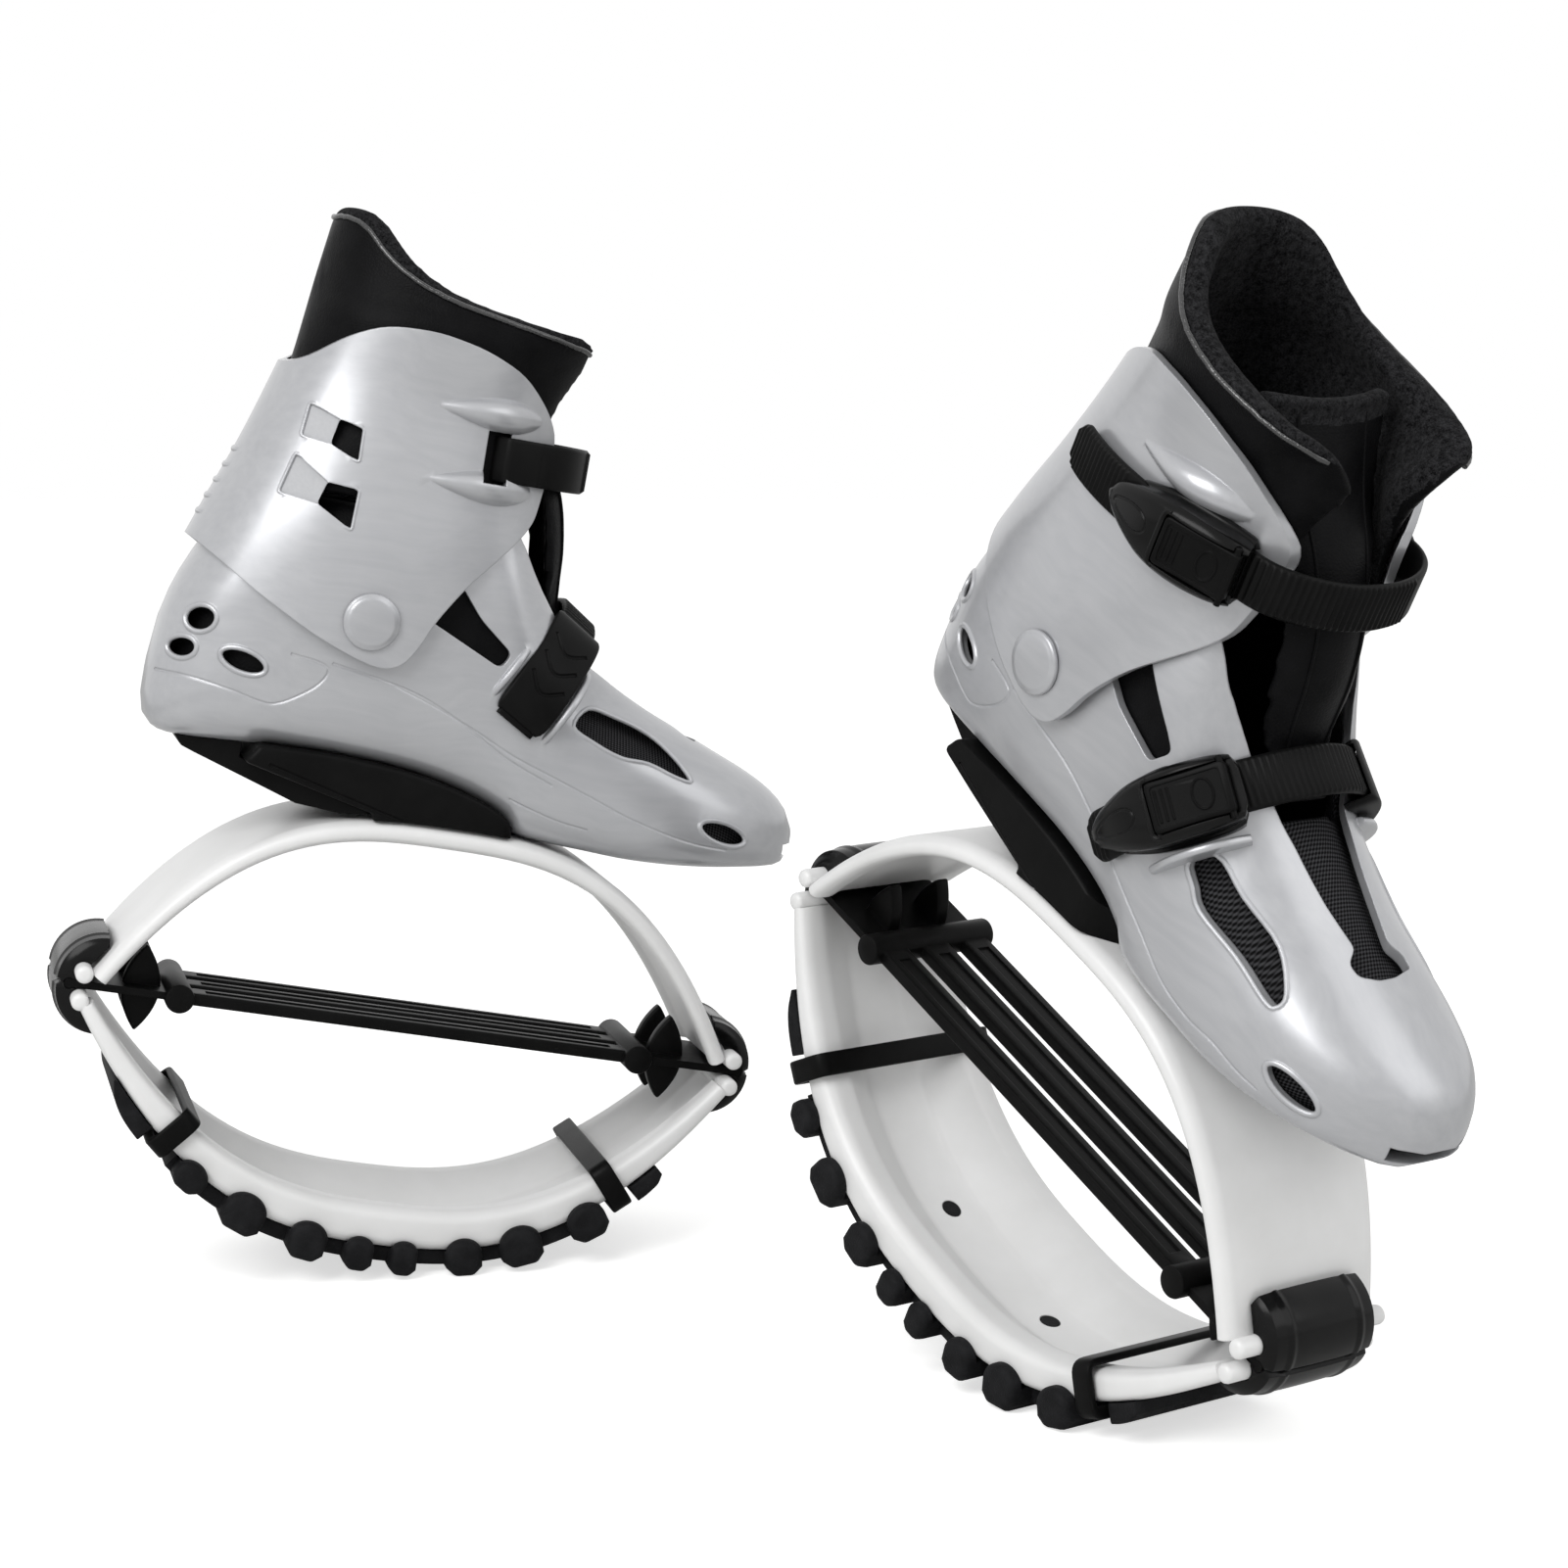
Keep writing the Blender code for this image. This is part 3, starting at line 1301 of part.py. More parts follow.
def lower_strap_place(angle, lift=0.0):
    """Point and forward direction on the twisted loop; 0 degrees is the outer side, 180 the inner."""
    turn = math.radians(angle)
    tilt = math.radians(LOWER_STRAP_TILT - LOWER_STRAP_TWIST * math.cos(turn))
    reach = LATERAL_STRAP_REACH if math.cos(turn) > 0 else MEDIAL_STRAP_REACH
    fall = (LOWER_STRAP_DROP + lift) * math.sin(turn) - LOWER_STRAP_DROP
    point = Vector((LOWER_CROWN_X + math.cos(tilt) * fall, -(reach + lift) * math.cos(turn),
                    LOWER_CROWN_Z + math.sin(tilt) * fall))
    return point, Vector((math.sin(tilt), 0, -math.cos(tilt)))


def lower_strap_line():
    span = LOWER_STRAP_END - LOWER_STRAP_START
    line = []
    for index in range(LOOP_STEPS + 1):
        point, forward = lower_strap_place(LOWER_STRAP_START + span * index / LOOP_STEPS)
        line.append((point, -forward))
    return line


UP = Vector((0, 0, 1))
LOOPS = {"upper": upper_strap_line(), "lower": lower_strap_line()}


def build_strap(which):
    dense = LOOPS[which]
    start = UPPER_BUCKLE_START if which == "upper" else LOWER_BUCKLE_START
    covered = [(start + TOOTH_PITCH, start + BUCKLE_LENGTH - TOOTH_PITCH)]
    if which == "lower":
        covered.append((STRAP_PLATE_START + TOOTH_PITCH,
                        STRAP_PLATE_START + STRAP_PLATE_LENGTH - TOOTH_PITCH))
    else:
        length = sum((end - begin).length for (begin, _), (end, _) in zip(dense, dense[1:]))
        covered.append((length - UPPER_STRAP_PLAIN, length))
    made = ladder(which + "_strap", dense, covered)
    if which == "lower":
        cut(made, shell_form("shell_clearance", -FIT_GAP))
    return made


def strap_guard(name, side, offset):
    """Crescent on the shell beside the lower strap, in a plane along the strap."""
    rings = []
    start, stop = LATERAL_GUARD_SPAN if side < 0 else MEDIAL_GUARD_SPAN
    for index in range(GUARD_POINTS):
        share = index / (GUARD_POINTS - 1)
        angle = start + (stop - start) * share
        turn = angle if side < 0 else 180 - angle
        near, forward = lower_strap_place(turn, -SHELL_GUARD_ROOT)
        far, _ = lower_strap_place(turn, GUARD_PROUD * (1.2 * math.sin(math.pi * share) - 0.4))
        half = forward * GUARD_THICKNESS / 2
        shift = forward * offset
        rings.append([near + shift - half * 1.6, near + shift + half * 1.6,
                      far + shift + half, far + shift - half])
    return loft(name, rings)


def lever_frame(which):
    """Frame on a lever's pin: X back along the lever, Y along the pin, Z outwards."""
    start = UPPER_BUCKLE_START if which == "upper" else LOWER_BUCKLE_START
    pin = start + BUCKLE_LENGTH - LEVER_SETBACK
    middle = line_frame(LOOPS[which], pin - LEVER_LENGTH / 2)
    turned_back = Matrix.Rotation(math.pi, 4, "Z")
    rise = BUCKLE_DECK + LEVER_PLAY + LEVER_THICKNESS / 2
    return middle @ moved(LEVER_LENGTH / 2, 0, rise) @ turned_back


def build_buckle(which):
    """Base of a ratchet buckle: a teardrop bridge over the strap with a forked front."""
    start = UPPER_BUCKLE_START if which == "upper" else LOWER_BUCKLE_START
    low = FIT_GAP - STRAP_LIFT if which == "upper" else -BUCKLE_ROOT
    made = over_strap(which + "_buckle", which, start, BUCKLE_LENGTH,
                      BUCKLE_HALF_WIDTH, BUCKLE_HEIGHT, BUCKLE_SHARES, low, BUCKLE_EDGE)
    frame = lever_frame(which)
    half_length = (LEVER_LENGTH + LEVER_THICKNESS + OVERRUN) / 2 + LEVER_PLAY
    centre = half_length - LEVER_THICKNESS / 2 - OVERRUN - LEVER_PLAY
    floor = -LEVER_THICKNESS / 2 - LEVER_PLAY
    cut(made, block("lever_room", (half_length, LEVER_HALF_WIDTH + LEVER_PLAY, BUCKLE_HEIGHT),
                    frame @ moved(centre, 0, BUCKLE_HEIGHT + floor)))
    cut(made, cylinder("pin_hole", LEVER_PIN_RADIUS + FIT_GAP,
                       LEVER_HALF_WIDTH + LEVER_PIN_REACH + FIT_GAP, 8, frame @ SIDE_ON))
    return made


def build_lever(which):
    """Flat lever with a rounded hinge end, a thumb mark and a pin."""
    half = LEVER_THICKNESS / 2
    outline = [(LEVER_LENGTH, -half * 0.4), (LEVER_LENGTH, half * 0.6),
               (LEVER_LENGTH - half, half)]
    for index in range(5):
        angle = math.pi * (1 / 2 + index / 4)
        outline.append((half * math.cos(angle), half * math.sin(angle)))
    outline.append((LEVER_LENGTH - half, -half))
    made = soften(plate(which + "_lever", [outline], LEVER_HALF_WIDTH, SIDE_ON), LEVER_EDGE, 60)
    rims = []
    for grow in (0, THUMB_RIM):
        rims.append([((THUMB_HALF_LENGTH - grow) * math.cos(2 * math.pi * index / THUMB_SIDES),
                      (THUMB_HALF_WIDTH - grow) * math.sin(2 * math.pi * index / THUMB_SIDES))
                     for index in range(THUMB_SIDES)])
    ring = plate("thumb_mark", rims, THUMB_DEPTH,
                 moved(THUMB_HALF_LENGTH * 1.4, 0, half))
    cut(made, ring)
    join(made, cylinder("pin", LEVER_PIN_RADIUS, LEVER_HALF_WIDTH + LEVER_PIN_REACH, 8, SIDE_ON))
    made.data.transform(lever_frame(which))
    return made


def build_lower_strap_plate():
    """Plate that covers the fixed end of the lower strap, with chevron grooves."""
    dense = LOOPS["lower"]
    made = over_strap("lower_strap_plate", "lower", STRAP_PLATE_START, STRAP_PLATE_LENGTH,
                      STRAP_PLATE_HALF_WIDTH, STRAP_PLATE_HEIGHT, STRAP_PLATE_SHARES,
                      -BUCKLE_ROOT, BUCKLE_EDGE / 2)
    outline = [(0, 0), (CHEVRON_SLANT, CHEVRON_REACH),
               (CHEVRON_SLANT + CHEVRON_WIDTH, CHEVRON_REACH), (CHEVRON_WIDTH, 0),
               (CHEVRON_SLANT + CHEVRON_WIDTH, -CHEVRON_REACH),
               (CHEVRON_SLANT, -CHEVRON_REACH)]
    for index in range(CHEVRON_COUNT):
        offset = (index - (CHEVRON_COUNT - 1) / 2) * CHEVRON_PITCH
        frame = line_frame(dense, STRAP_PLATE_START + STRAP_PLATE_LENGTH / 2 + offset)
        cut(made, plate("chevron", [outline], CHEVRON_DEPTH,
                        frame @ moved(0, 0, STRAP_PLATE_HEIGHT)))
    return made


# Blocks between the shell and the spring


def sole_line(start, stop, lift):
    points = []
    for index in range(SOLE_STEPS):
        along = start + (stop - start) * index / (SOLE_STEPS - 1)
        bottom = between(SHELL_STATION_SHARES, along)[0]
        points.append((shell_x(along), shell_z(bottom) + lift))
    return points


def plan_form(name, shares, half_width, medial_share):
    """Upright cutter with a plan outline; its inner side runs straight at a share of the width."""
    half = SHELL_HEIGHT
    outline = [(shell_x(along), -half_width * wide) for along, wide in shares]
    outline += [(shell_x(along), half_width * max(wide, medial_share))
                for along, wide in reversed(shares)]
    return plate(name, [outline], half, moved(0, 0, SHELL_BASE))


def build_saddle_block():
    rear = SADDLE_SHARES[0][0]
    front = SADDLE_SHARES[-1][0]
    outline = shell_outline(SADDLE_SHARES) + sole_line(front, rear, SADDLE_LIP)
    made = plate("saddle_block", [outline], SADDLE_HALF_WIDTH, SIDE_ON)
    soften(made, SADDLE_LIP, 60)
    combine(made, plan_form("saddle_plan", SADDLE_PLAN_SHARES, SADDLE_HALF_WIDTH, 1),
            "INTERSECT")
    cut(made, shell_form("shell_clearance", -FIT_GAP),
        arch_solid("arch_clearance", 1, PLAIN_SECTION_SHARES, FIT_GAP))
    hole = cylinder("bolt_room", BOLT_SHANK_RADIUS + FIT_GAP, BOLT_REACH + FIT_GAP, 12,
                    moved(BOLT_PLACE, 0, UPPER_CROWN))
    return cut(made, hole)


def build_heel_wedge():
    rear = WEDGE_SHARES[-1][0]
    front = SADDLE_SHARES[0][0]
    seam = [(x - FIT_GAP, z - FIT_GAP) for x, z in shell_outline(SADDLE_SHARES[:1])]
    low = [(x - FIT_GAP, z - FIT_GAP) for x, z in shell_outline(WEDGE_SHARES)]
    top = [(x - FIT_GAP, z) for x, z in sole_line(rear, front, SADDLE_LIP)]
    made = plate("heel_wedge", [low + top + seam], WEDGE_HALF_WIDTH, SIDE_ON)
    soften(made, SADDLE_LIP, 60)
    combine(made, plan_form("wedge_plan", WEDGE_PLAN_SHARES, WEDGE_HALF_WIDTH, 0),
            "INTERSECT")
    return cut(made, shell_form("shell_clearance", -FIT_GAP))


def build_arch_bolt():
    """Bolt with a round socket, its head in the trough under the crown."""
    under = UPPER_CROWN - arch_depth(1, BOLT_PLACE) * UPPER_SECTION_SHARES[6][1] - FIT_GAP
    bottom = under - BOLT_HEAD_HEIGHT
    edge = BOLT_HEAD_HEIGHT / 5
    socket = BOLT_SHANK_RADIUS * 0.8
    profile = [
        (0, UPPER_CROWN + BOLT_REACH),
        (BOLT_SHANK_RADIUS, UPPER_CROWN + BOLT_REACH),
        (BOLT_SHANK_RADIUS, under),
        (BOLT_HEAD_RADIUS, under),
        (BOLT_HEAD_RADIUS, bottom + edge),
        (BOLT_HEAD_RADIUS - edge, bottom),
        (socket, bottom),
        (socket, bottom + BOLT_HEAD_HEIGHT / 2),
        (0, bottom + BOLT_HEAD_HEIGHT / 2),
    ]
    return turned("arch_bolt", profile, BOLT_SIDES, moved(BOLT_PLACE))


# Soft inner boot


def above(name, height):
    """Cutter for everything above a height."""
    half = SHELL_LENGTH
    return block(name, (half, half, half / 2), moved(0, 0, height + half / 2))


def build_liner_foot():
    outer = SHELL_WALL + LINER_GAP
    made = shell_form("liner_foot", outer, ROOM_SIDES)
    cut(made, above("split_room", PIVOT_Z + LINER_SPLIT - SPLIT_GAP))
    cut(made, shell_form("liner_room", outer + LINER_WALL, COARSE_SIDES))
    return cut(made, tongue_slot("throat", FIT_GAP, THROAT_SHARE))


def build_footbed():
    rings = []
    inset = SHELL_WALL + LINER_GAP + LINER_WALL
    for index in range(FOOTBED_STEPS):
        along = FOOTBED_START + (FOOTBED_END - FOOTBED_START) * index / (FOOTBED_STEPS - 1)
        x = shell_ring(along, inset)[0][0]
        floor = shell_z(between(SHELL_STATION_SHARES, along)[0]) + inset + FOOTBED_GAP
        high = floor + FOOTBED_THICKNESS
        rings.append([(x, -SHELL_HALF_WIDTH, floor - LINER_WALL),
                      (x, SHELL_HALF_WIDTH, floor - LINER_WALL),
                      (x, SHELL_HALF_WIDTH, high), (x, -SHELL_HALF_WIDTH, high)])
    slab = loft("footbed", rings)
    edge = shell_form("footbed_edge", inset + FOOTBED_GAP, COARSE_SIDES)
    return combine(slab, edge, "INTERSECT")


def collar_rings(inset, overrun=0.0):
    edge = CUFF_WALL + SHAFT_GAP + inset
    rings = [cuff_ring(COLLAR_SHARES[0] - overrun, edge, LINER_SIDES)]
    for up in COLLAR_SHARES:
        rings.append(cuff_ring(up, edge, LINER_SIDES))
    for row in COLLAR_LEVEL_SHARES:
        middle = cuff_x((row[1] + row[2]) / 2)
        reach = CUFF_LENGTH * (row[2] - row[1]) / 2 - inset
        half = CUFF_HALF_WIDTH * row[3] - inset
        ring = []
        for index in range(LINER_SIDES):
            angle = 2 * math.pi * index / LINER_SIDES
            ring.append((middle + reach * signed_power(math.cos(angle), 2 / CUFF_POWER),
                         half * signed_power(math.sin(angle), 2 / CUFF_POWER)
                         + CUFF_HALF_WIDTH * row[4], cuff_z(row[0])))
        rings.append(ring)
    return rings


def build_liner_shaft():
    made = loft("liner_shaft", collar_rings(0, LEVEL_OVERRUN_SHARE))
    inner = collar_rings(LINER_WALL, LEVEL_OVERRUN_SHARE * 2)
    lift = LINER_WALL
    inner.append([(x, y, z + lift) for x, y, z in inner[-1]])
    cut(made, loft("shaft_room", inner))
    combine(made, side_cutter("collar_outline", cuff_outline(COLLAR_OUTLINE_SHARES)),
            "INTERSECT")
    start = PIVOT_X + COLLAR_GAP_START
    half = (CUFF_LENGTH - COLLAR_GAP_START) / 2
    gap = block("collar_gap", (half, COLLAR_GAP_HALF_WIDTH, CUFF_HEIGHT),
                moved(start + half, COLLAR_GAP_SHIFT, PIVOT_Z + CUFF_HEIGHT))
    return cut(made, gap, tongue_form("tongue_room", TONGUE_GAP))


def tongue_form(name, grow):
    """Curved pad that rises in front of the shin and leans back with it."""
    rings = []
    for up, ahead, wide, bow, shift in TONGUE_SHARES:
        front = []
        rear = []
        for across in TONGUE_ACROSS_SHARES:
            x = cuff_x(ahead) - TONGUE_BOW * bow * across * across
            y = (TONGUE_HALF_WIDTH * wide + grow) * across + TONGUE_HALF_WIDTH * shift
            thick = TONGUE_THICKNESS * (1 - TONGUE_THIN_SHARE * across * across)
            front.append((x + grow, y, cuff_z(up)))
            rear.append((x - thick - grow, y, cuff_z(up)))
        rings.append(front + rear[::-1])
    return loft(name, rings)


# The pair


PIECES = [
    (build_upper_arch(), "spring", "boot"),
    (build_lower_arch(), "spring", "ground"),
    (build_cap(-1), "joint", "band"),
    (build_cap(1), "joint", "band"),
    (build_tension_band(), "joint", "band"),
    (build_tread(), "rubber", "ground"),
    (build_pad(-1), "rubber", "ground"),
    (build_pad(1), "rubber", "ground"),
    (build_clamp(-1), "joint", "ground"),
    (build_clamp(1), "joint", "ground"),
    (build_saddle_block(), "joint", "boot"),
    (build_heel_wedge(), "joint", "boot"),
    (build_arch_bolt(), "bolt", "boot"),
    (build_boot_shell(), "shell", "boot"),
    (build_footbed(), "liner", "boot"),
    (build_cuff(), "shell", "cuff"),
    (build_pivot_cap(-1), "shell", "boot"),
    (build_pivot_cap(1), "shell", "boot"),
    (build_liner_foot(), "liner", "boot"),
    (build_liner_shaft(), "liner", "cuff"),
    (tongue_form("tongue", 0), "liner", "boot"),
    (build_strap("upper"), "strap", "cuff"),
    (build_buckle("upper"), "joint", "cuff"),
    (build_lever("upper"), "joint", "upper_lever"),
    (build_strap("lower"), "strap", "boot"),
    (build_lower_strap_plate(), "strap", "boot"),
    (build_buckle("lower"), "joint", "boot"),
    (build_lever("lower"), "joint", "lower_lever"),
]
PIECE_NAMES = [piece.name for piece, _, _ in PIECES]


def contact_outline():
    """Side-view points of everything that can touch the floor."""
    points = set()
    for piece, _, carrier in PIECES:
        if carrier == "ground" or piece.name.endswith("_cap"):
            for vertex in piece.data.vertices:
                points.add((vertex.co.x, vertex.co.z))
    return sorted(points)


def resting_tilt(nominal):
    """Toe-down tilt of the hull edge nearest a nominal tilt, in degrees."""
    hull = []
    for point in contact_outline():
        while len(hull) > 1:
            (ax, az), (bx, bz) = hull[-2:]
            if (bx - ax) * (point[1] - az) - (bz - az) * (point[0] - ax) > 0:
                break
            hull.pop()
        hull.append(point)
    best = nominal * 10
    for (ax, az), (bx, bz) in zip(hull, hull[1:]):
        if bx - ax < LUG_CORNER:
            continue
        tilt = math.degrees(math.atan2(bz - az, bx - ax))
        if abs(tilt - nominal) < abs(best - nominal):
            best = tilt
    return best


def shoe_frame(x, y, heading, nominal, mirrored):
    """World frame of a shoe standing on its tread."""
    turn = (Matrix.Rotation(math.radians(heading), 4, "Z")
            @ Matrix.Rotation(math.radians(resting_tilt(nominal)), 4, "Y")
            @ Matrix.Diagonal((1, -1 if mirrored else 1, 1, 1)))
    lowest = min((turn @ Vector((px, 0, pz))).z for px, pz in contact_outline())
    return moved(x, y, -lowest) @ turn


def pair_frames():
    """Frames of both shoes, with the pair centred on the world origin."""
    frames = {
        "left": shoe_frame(0, 0, LEFT_HEADING, LEFT_TILT, True),
        "right": shoe_frame(PAIR_SPREAD_X, PAIR_SPREAD_Y, RIGHT_HEADING, RIGHT_TILT, False),
    }
    low = [math.inf, math.inf]
    high = [-math.inf, -math.inf]
    for frame in frames.values():
        for piece, _, _ in PIECES:
            for vertex in piece.data.vertices:
                place = frame @ vertex.co
                for axis in range(2):
                    low[axis] = min(low[axis], place[axis])
                    high[axis] = max(high[axis], place[axis])
    centre = moved(-(low[0] + high[0]) / 2, -(low[1] + high[1]) / 2)
    return {side: centre @ frame for side, frame in frames.items()}


SHOE_FRAMES = pair_frames()
HINGES = {
    "ground": Vector(),
    "boot": Vector(),
    "band": Vector(),
    "cuff": PIVOT,
    "upper_lever": lever_frame("upper").translation,
    "lower_lever": lever_frame("lower").translation,
}
CARRIER_PARENTS = {"ground": None, "boot": None, "band": None, "cuff": "boot",
                   "upper_lever": "cuff", "lower_lever": "boot"}


def add_carriers(side):
    """Empties that the moving pieces ride on, each on its joint."""
    made = {}
    root = bpy.data.objects.new(side + "_shoe", None)
    shoes.objects.link(root)
    root.matrix_world = SHOE_FRAMES[side]
    for carrier, parent in CARRIER_PARENTS.items():
        holder = bpy.data.objects.new(f"{side}_{carrier}_joint", None)
        shoes.objects.link(holder)
        holder.parent = made[parent] if parent else root
        holder.location = HINGES[carrier] - (HINGES[parent] if parent else Vector())
        made[carrier] = holder
    return made


for piece, finish, carrier in PIECES:
    piece.data.transform(Matrix.Translation(-HINGES[carrier]))
    piece.data.materials.clear()
    piece.data.materials.append(MATERIALS[finish])
for side in SHOE_FRAMES:
    carriers = add_carriers(side)
    for (piece, finish, carrier), name in zip(PIECES, PIECE_NAMES):
        placed = bpy.data.objects.new(f"{side}_{name}", piece.data)
        shoes.objects.link(placed)
        placed.parent = carriers[carrier]
for piece, _, _ in PIECES:
    bpy.data.objects.remove(piece)
bpy.context.view_layer.update()

for side, frame in SHOE_FRAMES.items():
    axis = frame.to_3x3()
    print(side, "frame", [round(value, 5) for value in frame.translation],
          "down", [round(value, 5) for value in axis @ Vector((0, 0, -1))],
          "across", [round(value, 5) for value in axis @ Vector((0, 1, 0))])
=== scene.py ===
# %% [markdown]
# # A pair of jumping shoes
# Hard silver boots stand on oval springs of white nylon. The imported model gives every
# piece its place and its motion. This lesson dresses it: each visible piece is modelled
# again with finer curves, rims, ribs and padding, and each surface gets its own finish.

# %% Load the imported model
import json
import math

import bmesh
import bpy
from mathutils import Matrix, Vector, noise
from mathutils.bvhtree import BVHTree


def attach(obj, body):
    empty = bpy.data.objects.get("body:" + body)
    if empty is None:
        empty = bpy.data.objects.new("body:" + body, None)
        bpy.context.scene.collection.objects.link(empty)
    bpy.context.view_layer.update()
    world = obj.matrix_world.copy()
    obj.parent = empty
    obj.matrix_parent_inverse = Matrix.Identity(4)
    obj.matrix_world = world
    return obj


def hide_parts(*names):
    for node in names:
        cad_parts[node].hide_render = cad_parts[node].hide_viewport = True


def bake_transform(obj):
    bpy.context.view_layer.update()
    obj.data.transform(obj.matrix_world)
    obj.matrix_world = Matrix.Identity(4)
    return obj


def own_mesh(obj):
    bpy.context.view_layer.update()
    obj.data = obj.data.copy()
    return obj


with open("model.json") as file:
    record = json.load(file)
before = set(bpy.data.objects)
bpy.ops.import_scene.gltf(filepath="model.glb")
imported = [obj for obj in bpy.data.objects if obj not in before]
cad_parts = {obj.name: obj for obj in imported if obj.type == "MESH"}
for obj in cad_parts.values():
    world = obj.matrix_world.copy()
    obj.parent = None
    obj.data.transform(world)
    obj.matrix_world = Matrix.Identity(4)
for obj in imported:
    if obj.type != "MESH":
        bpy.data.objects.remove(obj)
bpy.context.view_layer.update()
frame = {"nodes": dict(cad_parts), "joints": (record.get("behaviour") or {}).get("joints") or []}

# %% [markdown]
# Both shoes are the same shape, one the mirror image of the other. Everything is drawn
# once as a right shoe: +X to the toe, +Y to the inner side of the foot, +Z up. The
# joints of the model say where that frame stands in the world, so nothing is fitted by eye.

# %% Find the frame of each shoe
PIVOT_X = -0.0540
PIVOT_Z = 0.1820
JOINTS = {joint["name"]: joint for joint in frame["joints"]}


def shoe_place(side):
    """Matrix from the right shoe's drawing frame to one of the two standing shoes."""
    up = -Vector(JOINTS[side + "_bounce"]["axis"])
    pivot = JOINTS[side + "_cuff_pivot"]
    across = Vector(pivot["axis"])
    ahead = across.cross(up)
    origin = Vector(pivot["pos_m"]) - ahead * PIVOT_X - up * PIVOT_Z
    if side == "left":
        across = -across
    return Matrix((
        (ahead.x, across.x, up.x, origin.x),
        (ahead.y, across.y, up.y, origin.y),
        (ahead.z, across.z, up.z, origin.z),
        (0, 0, 0, 1),
    ))


PLACES = {side: shoe_place(side) for side in ("right", "left")}
for side, place in PLACES.items():
    print(side, "shoe stands at", [round(value, 4) for value in place.translation])

# %% [markdown]
# ## Tools
# A few small tools do most of the work: a skin over a row of rings, a prism from an
# outline, a carve with another solid, and a round wire along a line.

# %% Tools for solids
bench = bpy.data.collections.new("bench")
bpy.context.scene.collection.children.link(bench)


def solid(name, points, faces):
    """Make an object from points and faces, with its faces turned outwards."""
    mesh = bpy.data.meshes.new(name)
    mesh.from_pydata([tuple(point) for point in points], [], faces)
    work = bmesh.new()
    work.from_mesh(mesh)
    bmesh.ops.recalc_face_normals(work, faces=work.faces)
    work.to_mesh(mesh)
    work.free()
    piece = bpy.data.objects.new(name, mesh)
    bench.objects.link(piece)
    return piece


def skin(name, rings, closed=False):
    """Skin a row of rings that have equal counts; open rows are capped at both ends."""
    count = len(rings[0])
    points = [point for ring in rings for point in ring]
    faces = []
    for row in range(len(rings) - (not closed)):
        near = row * count
        far = (row + 1) % len(rings) * count
        for index in range(count):
            after = (index + 1) % count
            faces.append((near + index, near + after, far + after, far + index))
    if not closed:
        faces.append(tuple(reversed(range(count))))
        faces.append(tuple(range(len(points) - count, len(points))))
    return solid(name, points, faces)


def side_prism(name, outline, low, high):
    """Sweep a side-view outline of (x, z) points across the shoe."""
    return skin(name, [[(x, level, z) for x, z in outline] for level in (low, high)])


def plan_prism(name, outline, low, high):
    """Sweep a plan outline of (x, y) points upwards."""
    return skin(name, [[(x, y, level) for x, y in outline] for level in (low, high)])


def settle(piece):
    """Apply a piece's modifiers."""
    bpy.context.view_layer.update()
    graph = bpy.context.evaluated_depsgraph_get()
    mesh = bpy.data.meshes.new_from_object(piece.evaluated_get(graph))
    piece.modifiers.clear()
    piece.data = mesh
    return piece


def bevelled(piece, width, segments=3, angle=40):
    """Round the edges that are sharper than an angle."""
    step = piece.modifiers.new("soft_edges", "BEVEL")
    step.width = width
    step.segments = segments
    step.limit_method = "ANGLE"
    step.angle_limit = math.radians(angle)
    return settle(piece)


def carve(piece, *others, operation="DIFFERENCE"):
    """Cut, join or intersect a piece with other solids, which are used up."""
    for other in others:
        step = piece.modifiers.new("carve", "BOOLEAN")
        step.operation = operation
        step.solver = "EXACT"
        step.object = other
        settle(piece)
        bpy.data.objects.remove(other)
    return piece


def weld(piece, *others):
    """Join pieces that overlap into one solid."""
    return carve(piece, *others, operation="UNION")


def faces_to(piece, index, chosen):
    """Give the faces that a test picks a second material."""
    for face in piece.data.polygons:
        if chosen(face):
            face.material_index = index


def rounded(outline, radius, steps=3):
    """Round the corners of a closed outline by an arc of a few steps."""
    made = []
    points = [Vector(point) for point in outline]
    for index, corner in enumerate(points):
        before = points[index - 1] - corner
        after = points[(index + 1) % len(points)] - corner
        start = corner + before.normalized() * min(radius, before.length * 0.45)
        stop = corner + after.normalized() * min(radius, after.length * 0.45)
        for step in range(steps + 1):
            share = step / steps
            made.append(tuple(start * (1 - share) ** 2 + corner * 2 * share * (1 - share)
                              + stop * share ** 2))
    return made


def flowing(outline, steps=6, closed=True):
    """Pass a smooth curve through the points of an outline or a line."""
    points = [Vector(point) for point in outline]
    count = len(points)
    made = []
    for index in range(count if closed else count - 1):
        if closed:
            before, start, stop, after = (points[(index + shift) % count]
                                          for shift in (-1, 0, 1, 2))
        else:
            before, start, stop, after = (points[min(max(index + shift, 0), count - 1)]
                                          for shift in (-1, 0, 1, 2))
        for step in range(steps):
            t = step / steps
            made.append(tuple(((start * 2) + (stop - before) * t
                               + (before * 2 - start * 5 + stop * 4 - after) * t ** 2
                               + (start * 3 - before - stop * 3 + after) * t ** 3) / 2))
    if not closed:
        made.append(tuple(points[-1]))
    return made


